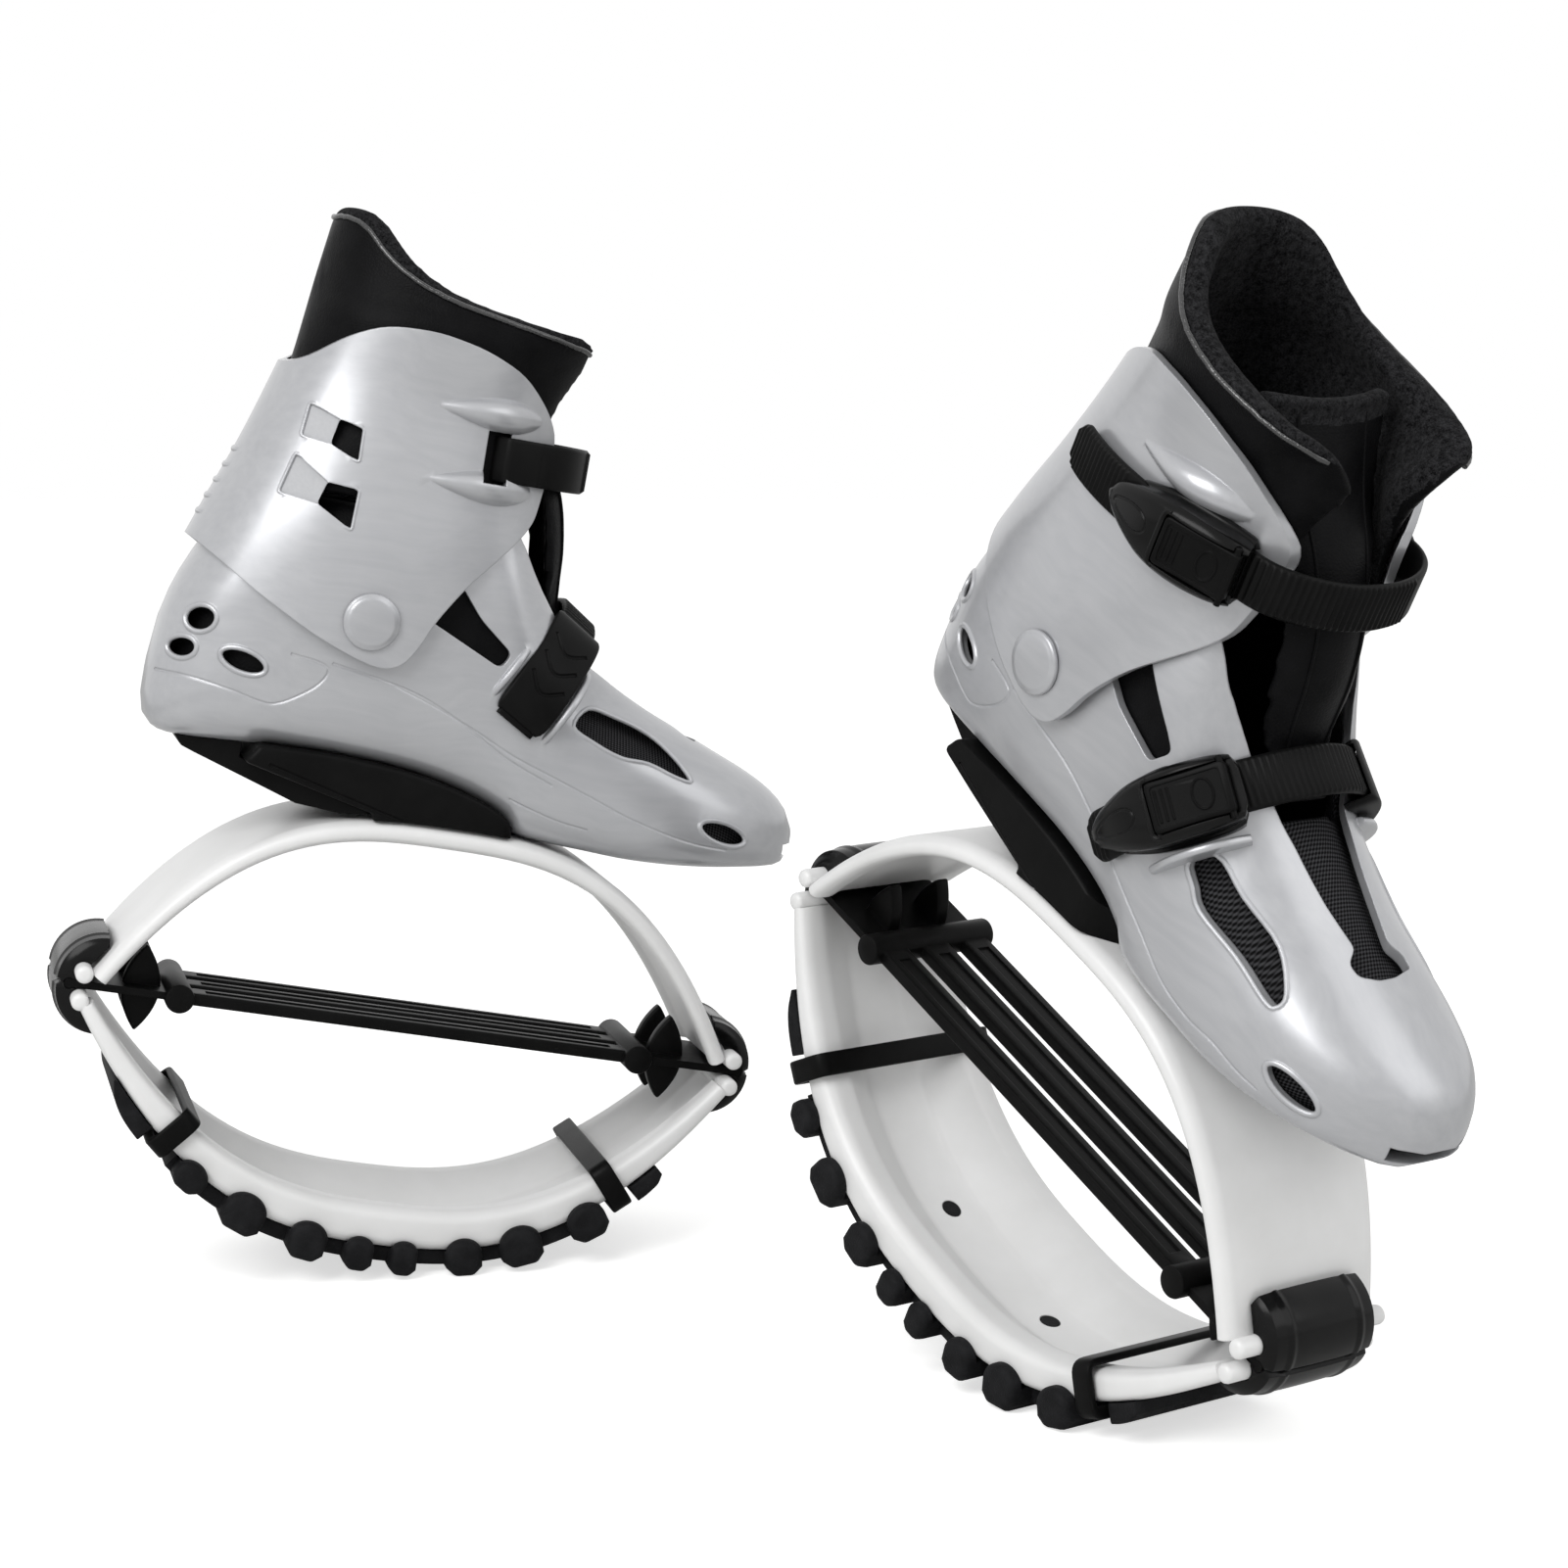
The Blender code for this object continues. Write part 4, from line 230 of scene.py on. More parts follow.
def wire(name, points, radius, closed=True, sides=3):
    """Make a round wire along a line of points."""
    line = bpy.data.curves.new(name, "CURVE")
    line.dimensions = "3D"
    line.bevel_depth = radius
    line.bevel_resolution = sides
    line.use_fill_caps = True
    spline = line.splines.new("POLY")
    spline.points.add(len(points) - 1)
    spline.use_cyclic_u = closed
    for slot, point in zip(spline.points, points):
        slot.co = (*point, 1)
    holder = bpy.data.objects.new(name, line)
    bench.objects.link(holder)
    bpy.context.view_layer.update()
    graph = bpy.context.evaluated_depsgraph_get()
    mesh = bpy.data.meshes.new_from_object(holder.evaluated_get(graph))
    bpy.data.objects.remove(holder)
    work = bmesh.new()
    work.from_mesh(mesh)
    bmesh.ops.remove_doubles(work, verts=work.verts, dist=0.00001)
    bmesh.ops.recalc_face_normals(work, faces=work.faces)
    work.to_mesh(mesh)
    work.free()
    piece = bpy.data.objects.new(name, mesh)
    bench.objects.link(piece)
    return piece


def rod(name, radius, ends, sides=24):
    """Make a round rod between two points."""
    start, stop = Vector(ends[0]), Vector(ends[1])
    turn = (stop - start).to_track_quat("Z", "Y").to_matrix()
    rings = [[end + turn @ Vector((radius * math.cos(math.tau * index / sides),
                                   radius * math.sin(math.tau * index / sides), 0))
              for index in range(sides)] for end in (start, stop)]
    return skin(name, rings)


def block(name, half_sizes, place=Matrix()):
    """Make a box about its place."""
    x, y, z = half_sizes
    outline = ((-x, -y), (x, -y), (x, y), (-x, y))
    return skin(name, [[place @ Vector((px, py, level)) for px, py in outline]
                       for level in (-z, z)])


def turned(name, profile, place, steps=48):
    """Turn a profile of (radius, height) points about local Z."""
    points = []
    faces = []
    for radius, height in profile:
        points += [place @ Vector((max(radius, 0.00002) * math.cos(math.tau * step / steps),
                                   max(radius, 0.00002) * math.sin(math.tau * step / steps),
                                   height)) for step in range(steps)]
    for row in range(len(profile) - 1):
        for step in range(steps):
            after = (step + 1) % steps
            faces.append((row * steps + step, row * steps + after,
                          (row + 1) * steps + after, (row + 1) * steps + step))
    faces.append(tuple(reversed(range(steps))))
    faces.append(tuple(range(len(points) - steps, len(points))))
    return solid(name, points, faces)


def between(table, key):
    """Read a table whose rows start with a rising key, on a smooth curve."""
    last = len(table) - 2
    row = 0
    while row < last and key > table[row + 1][0]:
        row += 1
    before, start, end, after = (table[min(max(row + shift, 0), last + 1)]
                                 for shift in (-1, 0, 1, 2))
    span = end[0] - start[0]
    share = (key - start[0]) / span
    values = []
    for column in range(1, len(start)):
        lean_in = (end[column] - before[column]) / (end[0] - before[0])
        lean_out = (after[column] - start[column]) / (after[0] - start[0])
        values.append((2 * share ** 3 - 3 * share ** 2 + 1) * start[column]
                      + (share ** 3 - 2 * share ** 2 + share) * span * lean_in
                      + (3 * share ** 2 - 2 * share ** 3) * end[column]
                      + (share ** 3 - share ** 2) * span * lean_out)
    return values


def signed_power(value, power):
    return math.copysign(abs(value) ** power, value)


def spread(start, stop, count):
    """Evenly spaced numbers from start to stop."""
    return [start + (stop - start) * index / (count - 1) for index in range(count)]


print("tools ready")

# %% [markdown]
# A finished piece goes to both shoes. It keeps its drawing-frame position as an
# attribute named shoe, so that grain and flow lines run the same way on both shoes and
# stay put when a shoe moves.

# %% Put a piece on both shoes
FINISHES = {}


def put(piece, name, body, finish, nodes=(), angle=35.0):
    """Copy a piece to both shoes, on a body, in place of the model's plain solids."""
    copies = {}
    for side, place in PLACES.items():
        mesh = piece.data.copy()
        mesh.name = f"{side}_{name}"
        mesh.shade_smooth()
        mesh.set_sharp_from_angle(angle=math.radians(angle))
        drawn = mesh.attributes.new("shoe", "FLOAT_VECTOR", "POINT")
        for value, vertex in zip(drawn.data, mesh.vertices):
            value.vector = vertex.co
        mesh.transform(place)
        if place.determinant() < 0:
            mesh.flip_normals()
        places = [face.material_index for face in mesh.polygons]
        mesh.materials.clear()
        for one in finish if isinstance(finish, (list, tuple)) else (finish,):
            mesh.materials.append(FINISHES[one])
        # clearing the slots sends every face back to the first one
        mesh.polygons.foreach_set("material_index",
                                  [min(one, len(mesh.materials) - 1) for one in places])
        copy = bpy.data.objects.new(f"{side}_{name}", mesh)
        bpy.context.scene.collection.objects.link(copy)
        if isinstance(body, str):
            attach(copy, "base" if body == "base" else f"{side}_{body}")
        else:
            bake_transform(copy)
        if nodes:
            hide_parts(*[f"{side}_{node}" for node in nodes])
        copies[side] = copy
    bpy.data.objects.remove(piece)
    print(name, len(mesh.polygons), "faces")
    return copies


# %% [markdown]
# ## Finishes
# Shader sums are written as plain Python expressions. The class below wraps one socket:
# adding, subtracting or multiplying two of them adds the Math node that does it. Every
# other node is added by its method `node`.

# %% A socket with arithmetic
class Wire:
    """A socket of one material, with arithmetic that adds Math nodes."""

    def __init__(self, tree, socket=None):
        self.tree = tree
        self.socket = socket

    def node(self, kind, settings, inputs, output=0):
        """Add a node: its settings first, then the values or links of its sockets."""
        made = self.tree.nodes.new(kind)
        for key, value in settings.items():
            setattr(made, key, value)
        for key, value in inputs.items():
            if isinstance(value, Wire):
                self.tree.links.new(value.socket, made.inputs[key])
            else:
                made.inputs[key].default_value = value
        return Wire(self.tree, made.outputs[output])

    def maths(self, operation, *values):
        return self.node("ShaderNodeMath", {"operation": operation},
                         dict(enumerate(values)))

    def __add__(self, other):
        return self.maths("ADD", self, other)

    def __sub__(self, other):
        return self.maths("SUBTRACT", self, other)

    def __mul__(self, other):
        return self.maths("MULTIPLY", self, other)

    def __radd__(self, other):
        return self.maths("ADD", other, self)

    def __rsub__(self, other):
        return self.maths("SUBTRACT", other, self)

    def __rmul__(self, other):
        return self.maths("MULTIPLY", other, self)


def finish(name, colour, roughness, **constants):
    """Start a material; returns its shader and a Wire to build on."""
    made = bpy.data.materials.new(name)
    made.use_nodes = True
    shader = made.node_tree.nodes["Principled BSDF"]
    shader.inputs["Base Color"].default_value = (*colour, 1)
    shader.inputs["Roughness"].default_value = roughness
    for key, value in constants.items():
        shader.inputs[key.replace("_", " ")].default_value = value
    FINISHES[name] = made
    return shader, Wire(made.node_tree)


def drawn_place(start, stretch=(1, 1, 1)):
    """Position in the drawing frame, stretched along its axes."""
    place = start.node("ShaderNodeAttribute", {"attribute_name": "shoe"}, {}, "Vector")
    return start.node("ShaderNodeVectorMath", {"operation": "MULTIPLY"},
                      {0: place, 1: stretch})


def cloud(start, place, scale, detail=4.0, roughness=0.55):
    """Soft noise from 0 to 1."""
    return start.node("ShaderNodeTexNoise", {"noise_dimensions": "3D"},
                      {"Vector": place, "Scale": scale, "Detail": detail,
                       "Roughness": roughness}, "Fac")


def blend_colours(start, mask, dark, light):
    """Mix two colours by a mask from 0 to 1."""
    return start.node("ShaderNodeMix", {"data_type": "RGBA"},
                      {0: mask, 6: (*dark, 1), 7: (*light, 1)}, 2)


def ramp(start, value, low, high):
    """Stretch values between low and high over 0 to 1, and clip the rest."""
    return start.node("ShaderNodeMapRange", {"clamp": True},
                      {"Value": value, "From Min": low, "From Max": high})


def relief(start, shader, height, distance, strength=1.0, edge=0.0):
    """Bump from a height, over edges rounded by the renderer."""
    inputs = {"Height": height, "Distance": distance, "Strength": strength}
    if edge:
        inputs["Normal"] = start.node("ShaderNodeBevel", {"samples": 4}, {"Radius": edge})
    bump = start.node("ShaderNodeBump", {}, inputs)
    link(bump, shader, "Normal")


def link(value, shader, name):
    """Feed a socket into one of the shader's inputs."""
    value.tree.links.new(value.socket, shader.inputs[name])


print("socket arithmetic ready")

# %% [markdown]
# The boots are moulded in a pearly silver plastic. The flake in it follows the flow of
# the melt, so faint streaks run along the boot, wander a little, and change the sheen.
# The slopes inside the windows get a lighter, frosted matt copy of the same plastic, a painted
# highlight.

# %% Pearly silver plastic
shader, start = finish("silver_plastic", (0.43, 0.435, 0.45), 0.30, Metallic=0.40,
                       Coat_Weight=0.30, Coat_Roughness=0.12)
wander = cloud(start, drawn_place(start), 14.0, detail=2.0)
place = start.node("ShaderNodeVectorMath", {"operation": "MULTIPLY_ADD"},
                   {0: start.node("ShaderNodeCombineXYZ", {}, {0: 0.0, 1: wander, 2: wander}),
                    1: (0, 0.030, 0.030), 2: drawn_place(start)})
streaks = cloud(start, start.node("ShaderNodeVectorMath", {"operation": "MULTIPLY"},
                                  {0: place, 1: (14.0, 260.0, 260.0)}), 1.0, detail=4.0)
pearl = cloud(start, drawn_place(start), 45.0, detail=3.0)
tone = ramp(start, streaks * 0.65 + pearl * 0.35, 0.32, 0.68)
link(blend_colours(start, tone, (0.415, 0.420, 0.438), (0.465, 0.470, 0.485)), shader,
     "Base Color")
link(0.26 + streaks * 0.10, shader, "Roughness")
relief(start, shader, streaks, 0.00004, 0.25, 0.0009)

# painted highlight: a lighter matt copy of the silver stands in for the lamp light the window
# ramps catch
shader, start = finish("ramp_painted_highlight", (0.50, 0.505, 0.52), 0.60, Specular_IOR_Level=0.20)
frost = cloud(start, drawn_place(start), 700.0, detail=3.0)
link(blend_colours(start, frost, (0.46, 0.465, 0.48), (0.54, 0.545, 0.56)), shader,
     "Base Color")
relief(start, shader, frost, 0.00008, 0.6)

# %% [markdown]
# The springs are thick white nylon with a soft gloss. Faint marbling and a few small
# scuffs keep it from looking like paper.

# %% White nylon
shader, start = finish("white_nylon", (0.83, 0.83, 0.825), 0.34, Coat_Weight=0.15,
                       Coat_Roughness=0.25)
marbling = cloud(start, drawn_place(start), 30.0, detail=5.0)
link(blend_colours(start, ramp(start, marbling, 0.3, 0.7), (0.80, 0.80, 0.795),
                   (0.86, 0.86, 0.858)), shader, "Base Color")
link(0.30 + marbling * 0.12, shader, "Roughness")
relief(start, shader, cloud(start, drawn_place(start), 600.0, detail=2.0), 0.00005, 0.3,
       0.0009)

# %% [markdown]
# Black parts come in four kinds: a satin moulding plastic with a fine spark-eroded
# grain, a glossier one for the buckles, the strap plastic, and the pitted rubber of
# the tread.

# %% Black plastics
for name, colour, rough, grain, depth, shine in (
        ("black_plastic", 0.0035, 0.34, 1500.0, 0.00006, 0.07),
        ("buckle_plastic", 0.0030, 0.16, 1800.0, 0.00003, 0.16),
        ("strap_plastic", 0.0040, 0.38, 1300.0, 0.00005, 0.08)):
    shader, start = finish(name, (colour,) * 3, rough, Specular_IOR_Level=shine)
    fine = cloud(start, drawn_place(start), grain, detail=2.0)
    patches = cloud(start, drawn_place(start), 55.0, detail=3.0)
    link(blend_colours(start, ramp(start, patches, 0.3, 0.7), (colour * 0.8,) * 3,
                       (colour * 1.5,) * 3), shader, "Base Color")
    link(rough - 0.05 + patches * 0.12 + fine * 0.04, shader, "Roughness")
    relief(start, shader, fine, depth, 0.6, 0.0006)

# %% Pitted rubber
shader, start = finish("dark_rubber", (0.010, 0.0102, 0.011), 0.50, Specular_IOR_Level=0.12)
pits = start.node("ShaderNodeTexVoronoi", {"feature": "F1"},
                  {"Vector": drawn_place(start), "Scale": 900.0}, "Distance")
dust = cloud(start, drawn_place(start), 120.0, detail=4.0)
link(blend_colours(start, ramp(start, dust, 0.35, 0.75), (0.0060, 0.0061, 0.0068),
                   (0.0150, 0.0152, 0.0165)), shader, "Base Color")
link(0.55 + dust * 0.2, shader, "Roughness")
relief(start, shader, ramp(start, pits, 0.0, 0.45) * 0.7 + dust * 0.5, 0.00022, 0.8, 0.0010)

# %% [markdown]
# The inner boot is black. Its outside is a smooth coated leather cloth, its padded rim
# and lining a napped textile, and over the toes an open mesh shows through the windows.
# The piping along the collar has a crinkled, glossy skin that catches the light.

# %% Soft black finishes
shader, start = finish("liner_leather", (0.0026, 0.0026, 0.0029), 0.42,
                       Specular_IOR_Level=0.05)
grain = start.node("ShaderNodeTexVoronoi", {"feature": "DISTANCE_TO_EDGE"},
                   {"Vector": drawn_place(start), "Scale": 650.0}, "Distance")
folds = cloud(start, drawn_place(start), 60.0, detail=4.0)
link(blend_colours(start, ramp(start, folds, 0.3, 0.7), (0.003, 0.003, 0.0033),
                   (0.0065, 0.0065, 0.007)), shader, "Base Color")
link(0.34 + folds * 0.16, shader, "Roughness")
relief(start, shader, ramp(start, grain, 0.0, 0.25) * 0.35 + folds * 0.6, 0.00030, 0.6)

shader, start = finish("napped_cloth", (0.006, 0.006, 0.0065), 0.95, Sheen_Weight=0.03,
                       Sheen_Roughness=0.5, Specular_IOR_Level=0.03)
nap = cloud(start, drawn_place(start), 1400.0, detail=3.0, roughness=0.7)
tufts = cloud(start, drawn_place(start), 420.0, detail=2.0)
link(blend_colours(start, ramp(start, nap * 0.6 + tufts * 0.4, 0.38, 0.66),
                   (0.0015, 0.0015, 0.0017), (0.034, 0.034, 0.036)), shader, "Base Color")
relief(start, shader, nap * 0.6 + tufts * 0.5, 0.00060, 1.0)

shader, start = finish("glossy_trim", (0.006, 0.006, 0.0065), 0.20, Specular_IOR_Level=0.9)
crinkle = cloud(start, drawn_place(start), 500.0, detail=3.0)
link(0.14 + crinkle * 0.2, shader, "Roughness")
relief(start, shader, crinkle, 0.00040, 1.0)

shader, start = finish("toe_mesh", (0.010, 0.010, 0.011), 0.70, Specular_IOR_Level=0.05)
place = drawn_place(start)
split = start.node("ShaderNodeSeparateXYZ", {}, {0: place}, 0)
along = Wire(start.tree, split.socket.node.outputs[0])
width = Wire(start.tree, split.socket.node.outputs[1])
rise = Wire(start.tree, split.socket.node.outputs[2])
knit_a = start.maths("SINE", (along * 0.8 - rise * 0.9 + width * 0.7) * 2600.0)
knit_b = start.maths("SINE", (along * 0.8 + rise * 0.9 - width * 0.7) * 2600.0)
knit = start.maths("MULTIPLY", knit_a, knit_b) * 0.5 + 0.5
link(blend_colours(start, ramp(start, knit, 0.25, 0.85), (0.0012, 0.0012, 0.0014),
                   (0.060, 0.060, 0.064)), shader, "Base Color")
link(0.55 + knit * 0.3, shader, "Roughness")
relief(start, shader, knit, 0.00035, 1.0)

shader, start = finish("bolt_steel", (0.40, 0.40, 0.41), 0.32, Metallic=1.0)
turning = cloud(start, drawn_place(start, (300, 300, 2500)), 1.0, detail=2.0)
link(0.25 + turning * 0.2, shader, "Roughness")
relief(start, shader, turning, 0.00003, 0.5, 0.0004)
print("finishes", sorted(FINISHES))

# %% [markdown]
# ## Oval spring
# Two nylon leaves are hooked together at the heel and the toe. The upper one bows up in
# a slightly square curve, the lower one is thicker. Both are channels on the inside.

# %% Lines of the two arches
SPRING = 0.1500
BEAD_HEIGHT = 0.0062
BEAD_RADIUS = 0.0040
END_HALF_WIDTH = 0.0395
ARCHES = {
    1: {"crown": 0.0950, "thick": 0.0100, "half": 0.0450, "power": 2.85, "reach": 0.1500},
    -1: {"crown": 0.0985, "thick": 0.0190, "half": 0.0460, "power": 2.50, "reach": 0.1560},
}
END_THICK = 0.0072
SECTIONS = {
    1: ((-0.90, 0.00), (0.90, 0.00), (1.00, 0.30), (1.00, 0.78), (0.92, 1.00), (0.74, 1.00),
        (0.60, 0.72), (-0.60, 0.72), (-0.74, 1.00), (-0.92, 1.00), (-1.00, 0.78),
        (-1.00, 0.30)),
    -1: ((-0.92, 0.00), (0.92, 0.00), (1.00, 0.16), (1.00, 0.80), (0.90, 1.00), (0.70, 0.98),
         (0.30, 0.28), (-0.30, 0.28), (-0.70, 0.98), (-0.90, 1.00), (-1.00, 0.80),
         (-1.00, 0.16)),
}


def arch_line(side, x):
    """Outer point of an arch and its outward normal at a distance along the shoe."""
    arch = ARCHES[side]
    share = abs(x) / arch["reach"]
    slope = arch["crown"] * arch["power"] * share ** (arch["power"] - 1) / arch["reach"]
    rise = arch["crown"] * (1 - share ** arch["power"])
    return Vector((x, 0, side * rise)), Vector((math.copysign(slope, x), 0, side)).normalized()


def arch_depth(side, x):
    return END_THICK + (ARCHES[side]["thick"] - END_THICK) * (1 - (abs(x) / SPRING) ** 2.2)


def arch_half(side, x):
    return END_HALF_WIDTH + (ARCHES[side]["half"] - END_HALF_WIDTH) * (1 - (abs(x) / SPRING) ** 4)


def arch_ring(side, x, grow=0.0, plain=False):
    """Section of an arch; a plain one is a block that other pieces are cut by."""
    point, normal = arch_line(side, x)
    depth = arch_depth(side, x) + 2 * grow
    half = arch_half(side, x) + grow
    if plain:
        outline = [(-half, -grow), (half, -grow), (half, depth - grow), (-half, depth - grow)]
    else:
        outline = rounded([(half * across, depth * down) for across, down in SECTIONS[side]],
                          0.0022, 3)
    return [point - normal * down + Vector((0, across, 0)) for across, down in outline]


def arch_frame(side, x):
    """Frame on the outer face: X along the arch, Y across the shoe, Z outwards."""
    point, normal = arch_line(side, x)
    along = Vector((0, 1, 0)).cross(normal)
    return Matrix((
        (along.x, 0, normal.x, point.x),
        (along.y, 1, normal.y, point.y),
        (along.z, 0, normal.z, point.z),
        (0, 0, 0, 1),
    ))


def arch_form(name, side, grow=0.0, plain=False, stations=72):
    limit = SPRING * (0.975 if side > 0 else 1.0)
    places = [limit * math.sin(math.pi * (index / (stations - 1) - 0.5))
              for index in range(stations)]
    made = skin(name, [arch_ring(side, x, grow, plain) for x in places])
    for end in (-1, 1):
        centre = Vector((end * SPRING, 0, side * BEAD_HEIGHT))
        reach = Vector((0, END_HALF_WIDTH + grow, 0))
        bead = rod("bead", BEAD_RADIUS + grow, (centre - reach, centre + reach))
        weld(made, bead if grow else bevelled(bead, 0.0022))
    return made


BOLT_PLACE = 0.0020
PLUG_PLACE = 0.0370
upper = arch_form("upper_leaf", 1)
carve(upper, rod("bolt_hole", 0.0044, ((BOLT_PLACE, 0, 0.07), (BOLT_PLACE, 0, 0.11))))
leaves = [(put(upper, "upper_leaf", "boot", "white_nylon", ("upper_arch",)), 1)]
lower = arch_form("lower_leaf", -1)
for end in (-1, 1):
    stand = arch_frame(-1, end * PLUG_PLACE)
    carve(lower, rod("plug_hole", 0.0045, (stand @ Vector((0, 0, -0.03)),
                                           stand @ Vector((0, 0, 0.01)))))
leaves.append((put(lower, "lower_leaf", "base", "white_nylon",
                   ("lower_arch",)), -1))

# %% [markdown]
# When the shoe is jumped on, the oval flattens: the boot sinks 40 mm and the band between the
# leaves sinks half as far. Here each leaf on each shoe only gets its own copy of its mesh.

# %% Give each leaf its own mesh
for copies, direction in leaves:
    crown = ARCHES[direction]["crown"]
    for side, leaf in copies.items():
        up = (PLACES[side].to_3x3() @ Vector((0, 0, 1))).normalized()
        side + "_bounce"
        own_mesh(leaf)

# %% [markdown]
# ## Boot shell
# The shell is one moulded form. A table gives its sections from heel to toe, a smooth
# curve runs through the rows, and each section is a rounded, slightly square ring.

# %% Form of the boot shell
SHELL_REAR = -0.1420
SHELL_LENGTH = 0.3070
SHELL_BASE = 0.0910
SHELL_HEIGHT = 0.1450
SHELL_HALF = 0.0520
SHELL_WALL = 0.0035
SHELL_ROWS = (
    (0.000, 0.262, 0.407, 0.192, 0.173, 0.0),
    (0.007, 0.207, 0.531, 0.365, 0.327, 0.0),
    (0.026, 0.176, 0.669, 0.538, 0.481, 0.0),
    (0.065, 0.172, 0.834, 0.712, 0.654, 0.0),
    (0.124, 0.179, 1.014, 0.846, 0.808, 0.0),
    (0.202, 0.186, 1.138, 0.942, 0.923, 0.0),
    (0.287, 0.186, 1.179, 0.990, 0.981, 0.0),
    (0.394, 0.166, 1.179, 0.981, 0.923, 0.0),
    (0.479, 0.124, 1.145, 0.971, 0.865, 0.0),
    (0.540, 0.072, 0.890, 0.971, 0.808, 0.0),
    (0.556, 0.031, 0.834, 0.971, 0.788, 0.0),
    (0.609, 0.014, 0.655, 0.981, 0.731, 0.0),
    (0.664, 0.007, 0.569, 0.981, 0.692, 0.005),
    (0.730, 0.000, 0.490, 0.981, 0.660, 0.015),
    (0.795, 0.003, 0.428, 0.950, 0.650, 0.030),
    (0.860, 0.014, 0.372, 0.870, 0.620, 0.045),
    (0.919, 0.028, 0.321, 0.712, 0.550, 0.048),
    (0.958, 0.038, 0.276, 0.538, 0.420, 0.048),
    (0.984, 0.052, 0.228, 0.360, 0.280, 0.045),
    (1.000, 0.090, 0.172, 0.160, 0.135, 0.045),
)


def shell_x(share):
    return SHELL_REAR + SHELL_LENGTH * share


def shell_z(share):
    return SHELL_BASE + SHELL_HEIGHT * share


def shell_outline(shares):
    return [(shell_x(along), shell_z(up)) for along, up in shares]


def shell_ring(along, inset, sides):
    """Closed section of the boot across its length, inset inwards."""
    bottom, top, low, high, shift = between(SHELL_ROWS, along)
    floor = shell_z(bottom) + inset
    roof = max(shell_z(top) - inset, floor + abs(inset) + 0.0004)
    low_half = max(SHELL_HALF * low - inset, 0.0009)
    high_half = max(SHELL_HALF * high - inset, 0.0009)
    middle_x = SHELL_REAR + SHELL_LENGTH / 2
    x = middle_x + (shell_x(along) - middle_x) * (1 - 2 * inset / SHELL_LENGTH)
    ring = []
    for index in range(sides):
        angle = math.tau * (index + 0.5) / sides
        rise = math.sin(angle)
        power = 2 / (2.5 if rise > 0 else 5.0)
        z = (floor + roof) / 2 + (roof - floor) / 2 * signed_power(rise, power)
        lift = (z - floor) / (roof - floor)
        half = low_half + (high_half - low_half) * lift * lift
        ring.append((x, half * signed_power(math.cos(angle), power) + SHELL_HALF * shift, z))
    return ring


def shell_stations(step=0.012):
    keys = [row[0] for row in SHELL_ROWS]
    stations = []
    for start_key, stop_key in zip(keys, keys[1:]):
        parts = max(1, round((stop_key - start_key) / step))
        stations += [start_key + (stop_key - start_key) * index / parts
                     for index in range(parts)]
    return stations + [keys[-1]]


def shell_form(name, inset, sides=72, step=0.012):
    rings = []
    for along in shell_stations(step):
        bottom, top, low, _, _ = between(SHELL_ROWS, along)
        if SHELL_HEIGHT * (top - bottom) > inset * 2.5 and SHELL_HALF * low > inset * 1.1:
            rings.append(shell_ring(along, inset, sides))
    return skin(name, rings)


def tree_of(piece):
    work = bmesh.new()
    work.from_mesh(piece.data)
    tree = BVHTree.FromBMesh(work)
    work.free()
    return tree


outer_form = shell_form("outer_form", 0)
SHELL_TREE = tree_of(outer_form)
bpy.data.objects.remove(outer_form)


def on_side(tree, outline, side, sink=0.0):
    """Lay a side-view outline on a form's inner (1) or outer (-1) side."""
    laid = []
    for x, z in outline:
        spot, normal, _, _ = tree.ray_cast(Vector((x, side * 0.2, z)), Vector((0, -side, 0)))
        if spot is not None:
            laid.append(spot - normal * sink)
    return laid


print("shell form", SHELL_TREE is not None)

# %% [markdown]
# The shell is open over the instep, with windows on both sides and vents at the heel and the toe.
# The rim and each window are outlines seen from the side, carved through the wall. Round beads
# are then welded along the edges of the leaf windows and the vents, as the real moulding has.

# %% Openings of the boot shell
RIM = ((-0.050, 0.848), (0.267, 0.862), (0.384, 0.903), (0.436, 0.980), (0.505, 0.980),
       (0.541, 0.834), (0.583, 0.697), (0.620, 0.655), (0.660, 0.900))
LATERAL_ANKLE = ((0.383, 0.728), (0.418, 0.669), (0.456, 0.635), (0.492, 0.604),
                 (0.516, 0.662), (0.497, 0.707), (0.456, 0.784), (0.426, 0.845))
MEDIAL_ANKLE = ((0.412, 0.778), (0.372, 0.659), (0.488, 0.546), (0.502, 0.595),
                (0.449, 0.684))
LATERAL_LEAF = ((0.600, 0.441), (0.619, 0.493), (0.676, 0.443), (0.746, 0.392),
                (0.793, 0.321), (0.795, 0.284), (0.777, 0.283), (0.717, 0.324),
                (0.647, 0.358), (0.621, 0.397))
MEDIAL_LEAF = ((0.633, 0.463), (0.676, 0.449), (0.735, 0.410), (0.778, 0.351),
               (0.805, 0.288), (0.778, 0.294), (0.735, 0.322), (0.692, 0.328),
               (0.648, 0.360), (0.612, 0.403))
TONGUE_SLOT = ((0.410, -0.720, 0.740), (0.489, -0.710, 0.740), (0.520, -0.654, 0.690),
               (0.535, -0.596, 0.640), (0.577, -0.480, 0.530), (0.617, -0.324, 0.383),
               (0.665, -0.270, 0.336), (0.729, -0.217, 0.272), (0.788, -0.148, 0.196),
               (0.803, -0.254, 0.297), (0.821, -0.232, 0.300), (0.832, -0.080, 0.080))
VENTS = (("upper_heel", 0.055, 0.545, 0.0068, 0.0058, 35.0),
         ("rear_heel", 0.036, 0.448, 0.0062, 0.0050, 20.0),
         ("side_heel", 0.121, 0.441, 0.0104, 0.0052, -12.0),
         ("toe", 0.865, 0.141, 0.0123, 0.0050, -12.0))
SIDE_REACH = SHELL_HALF + 0.016


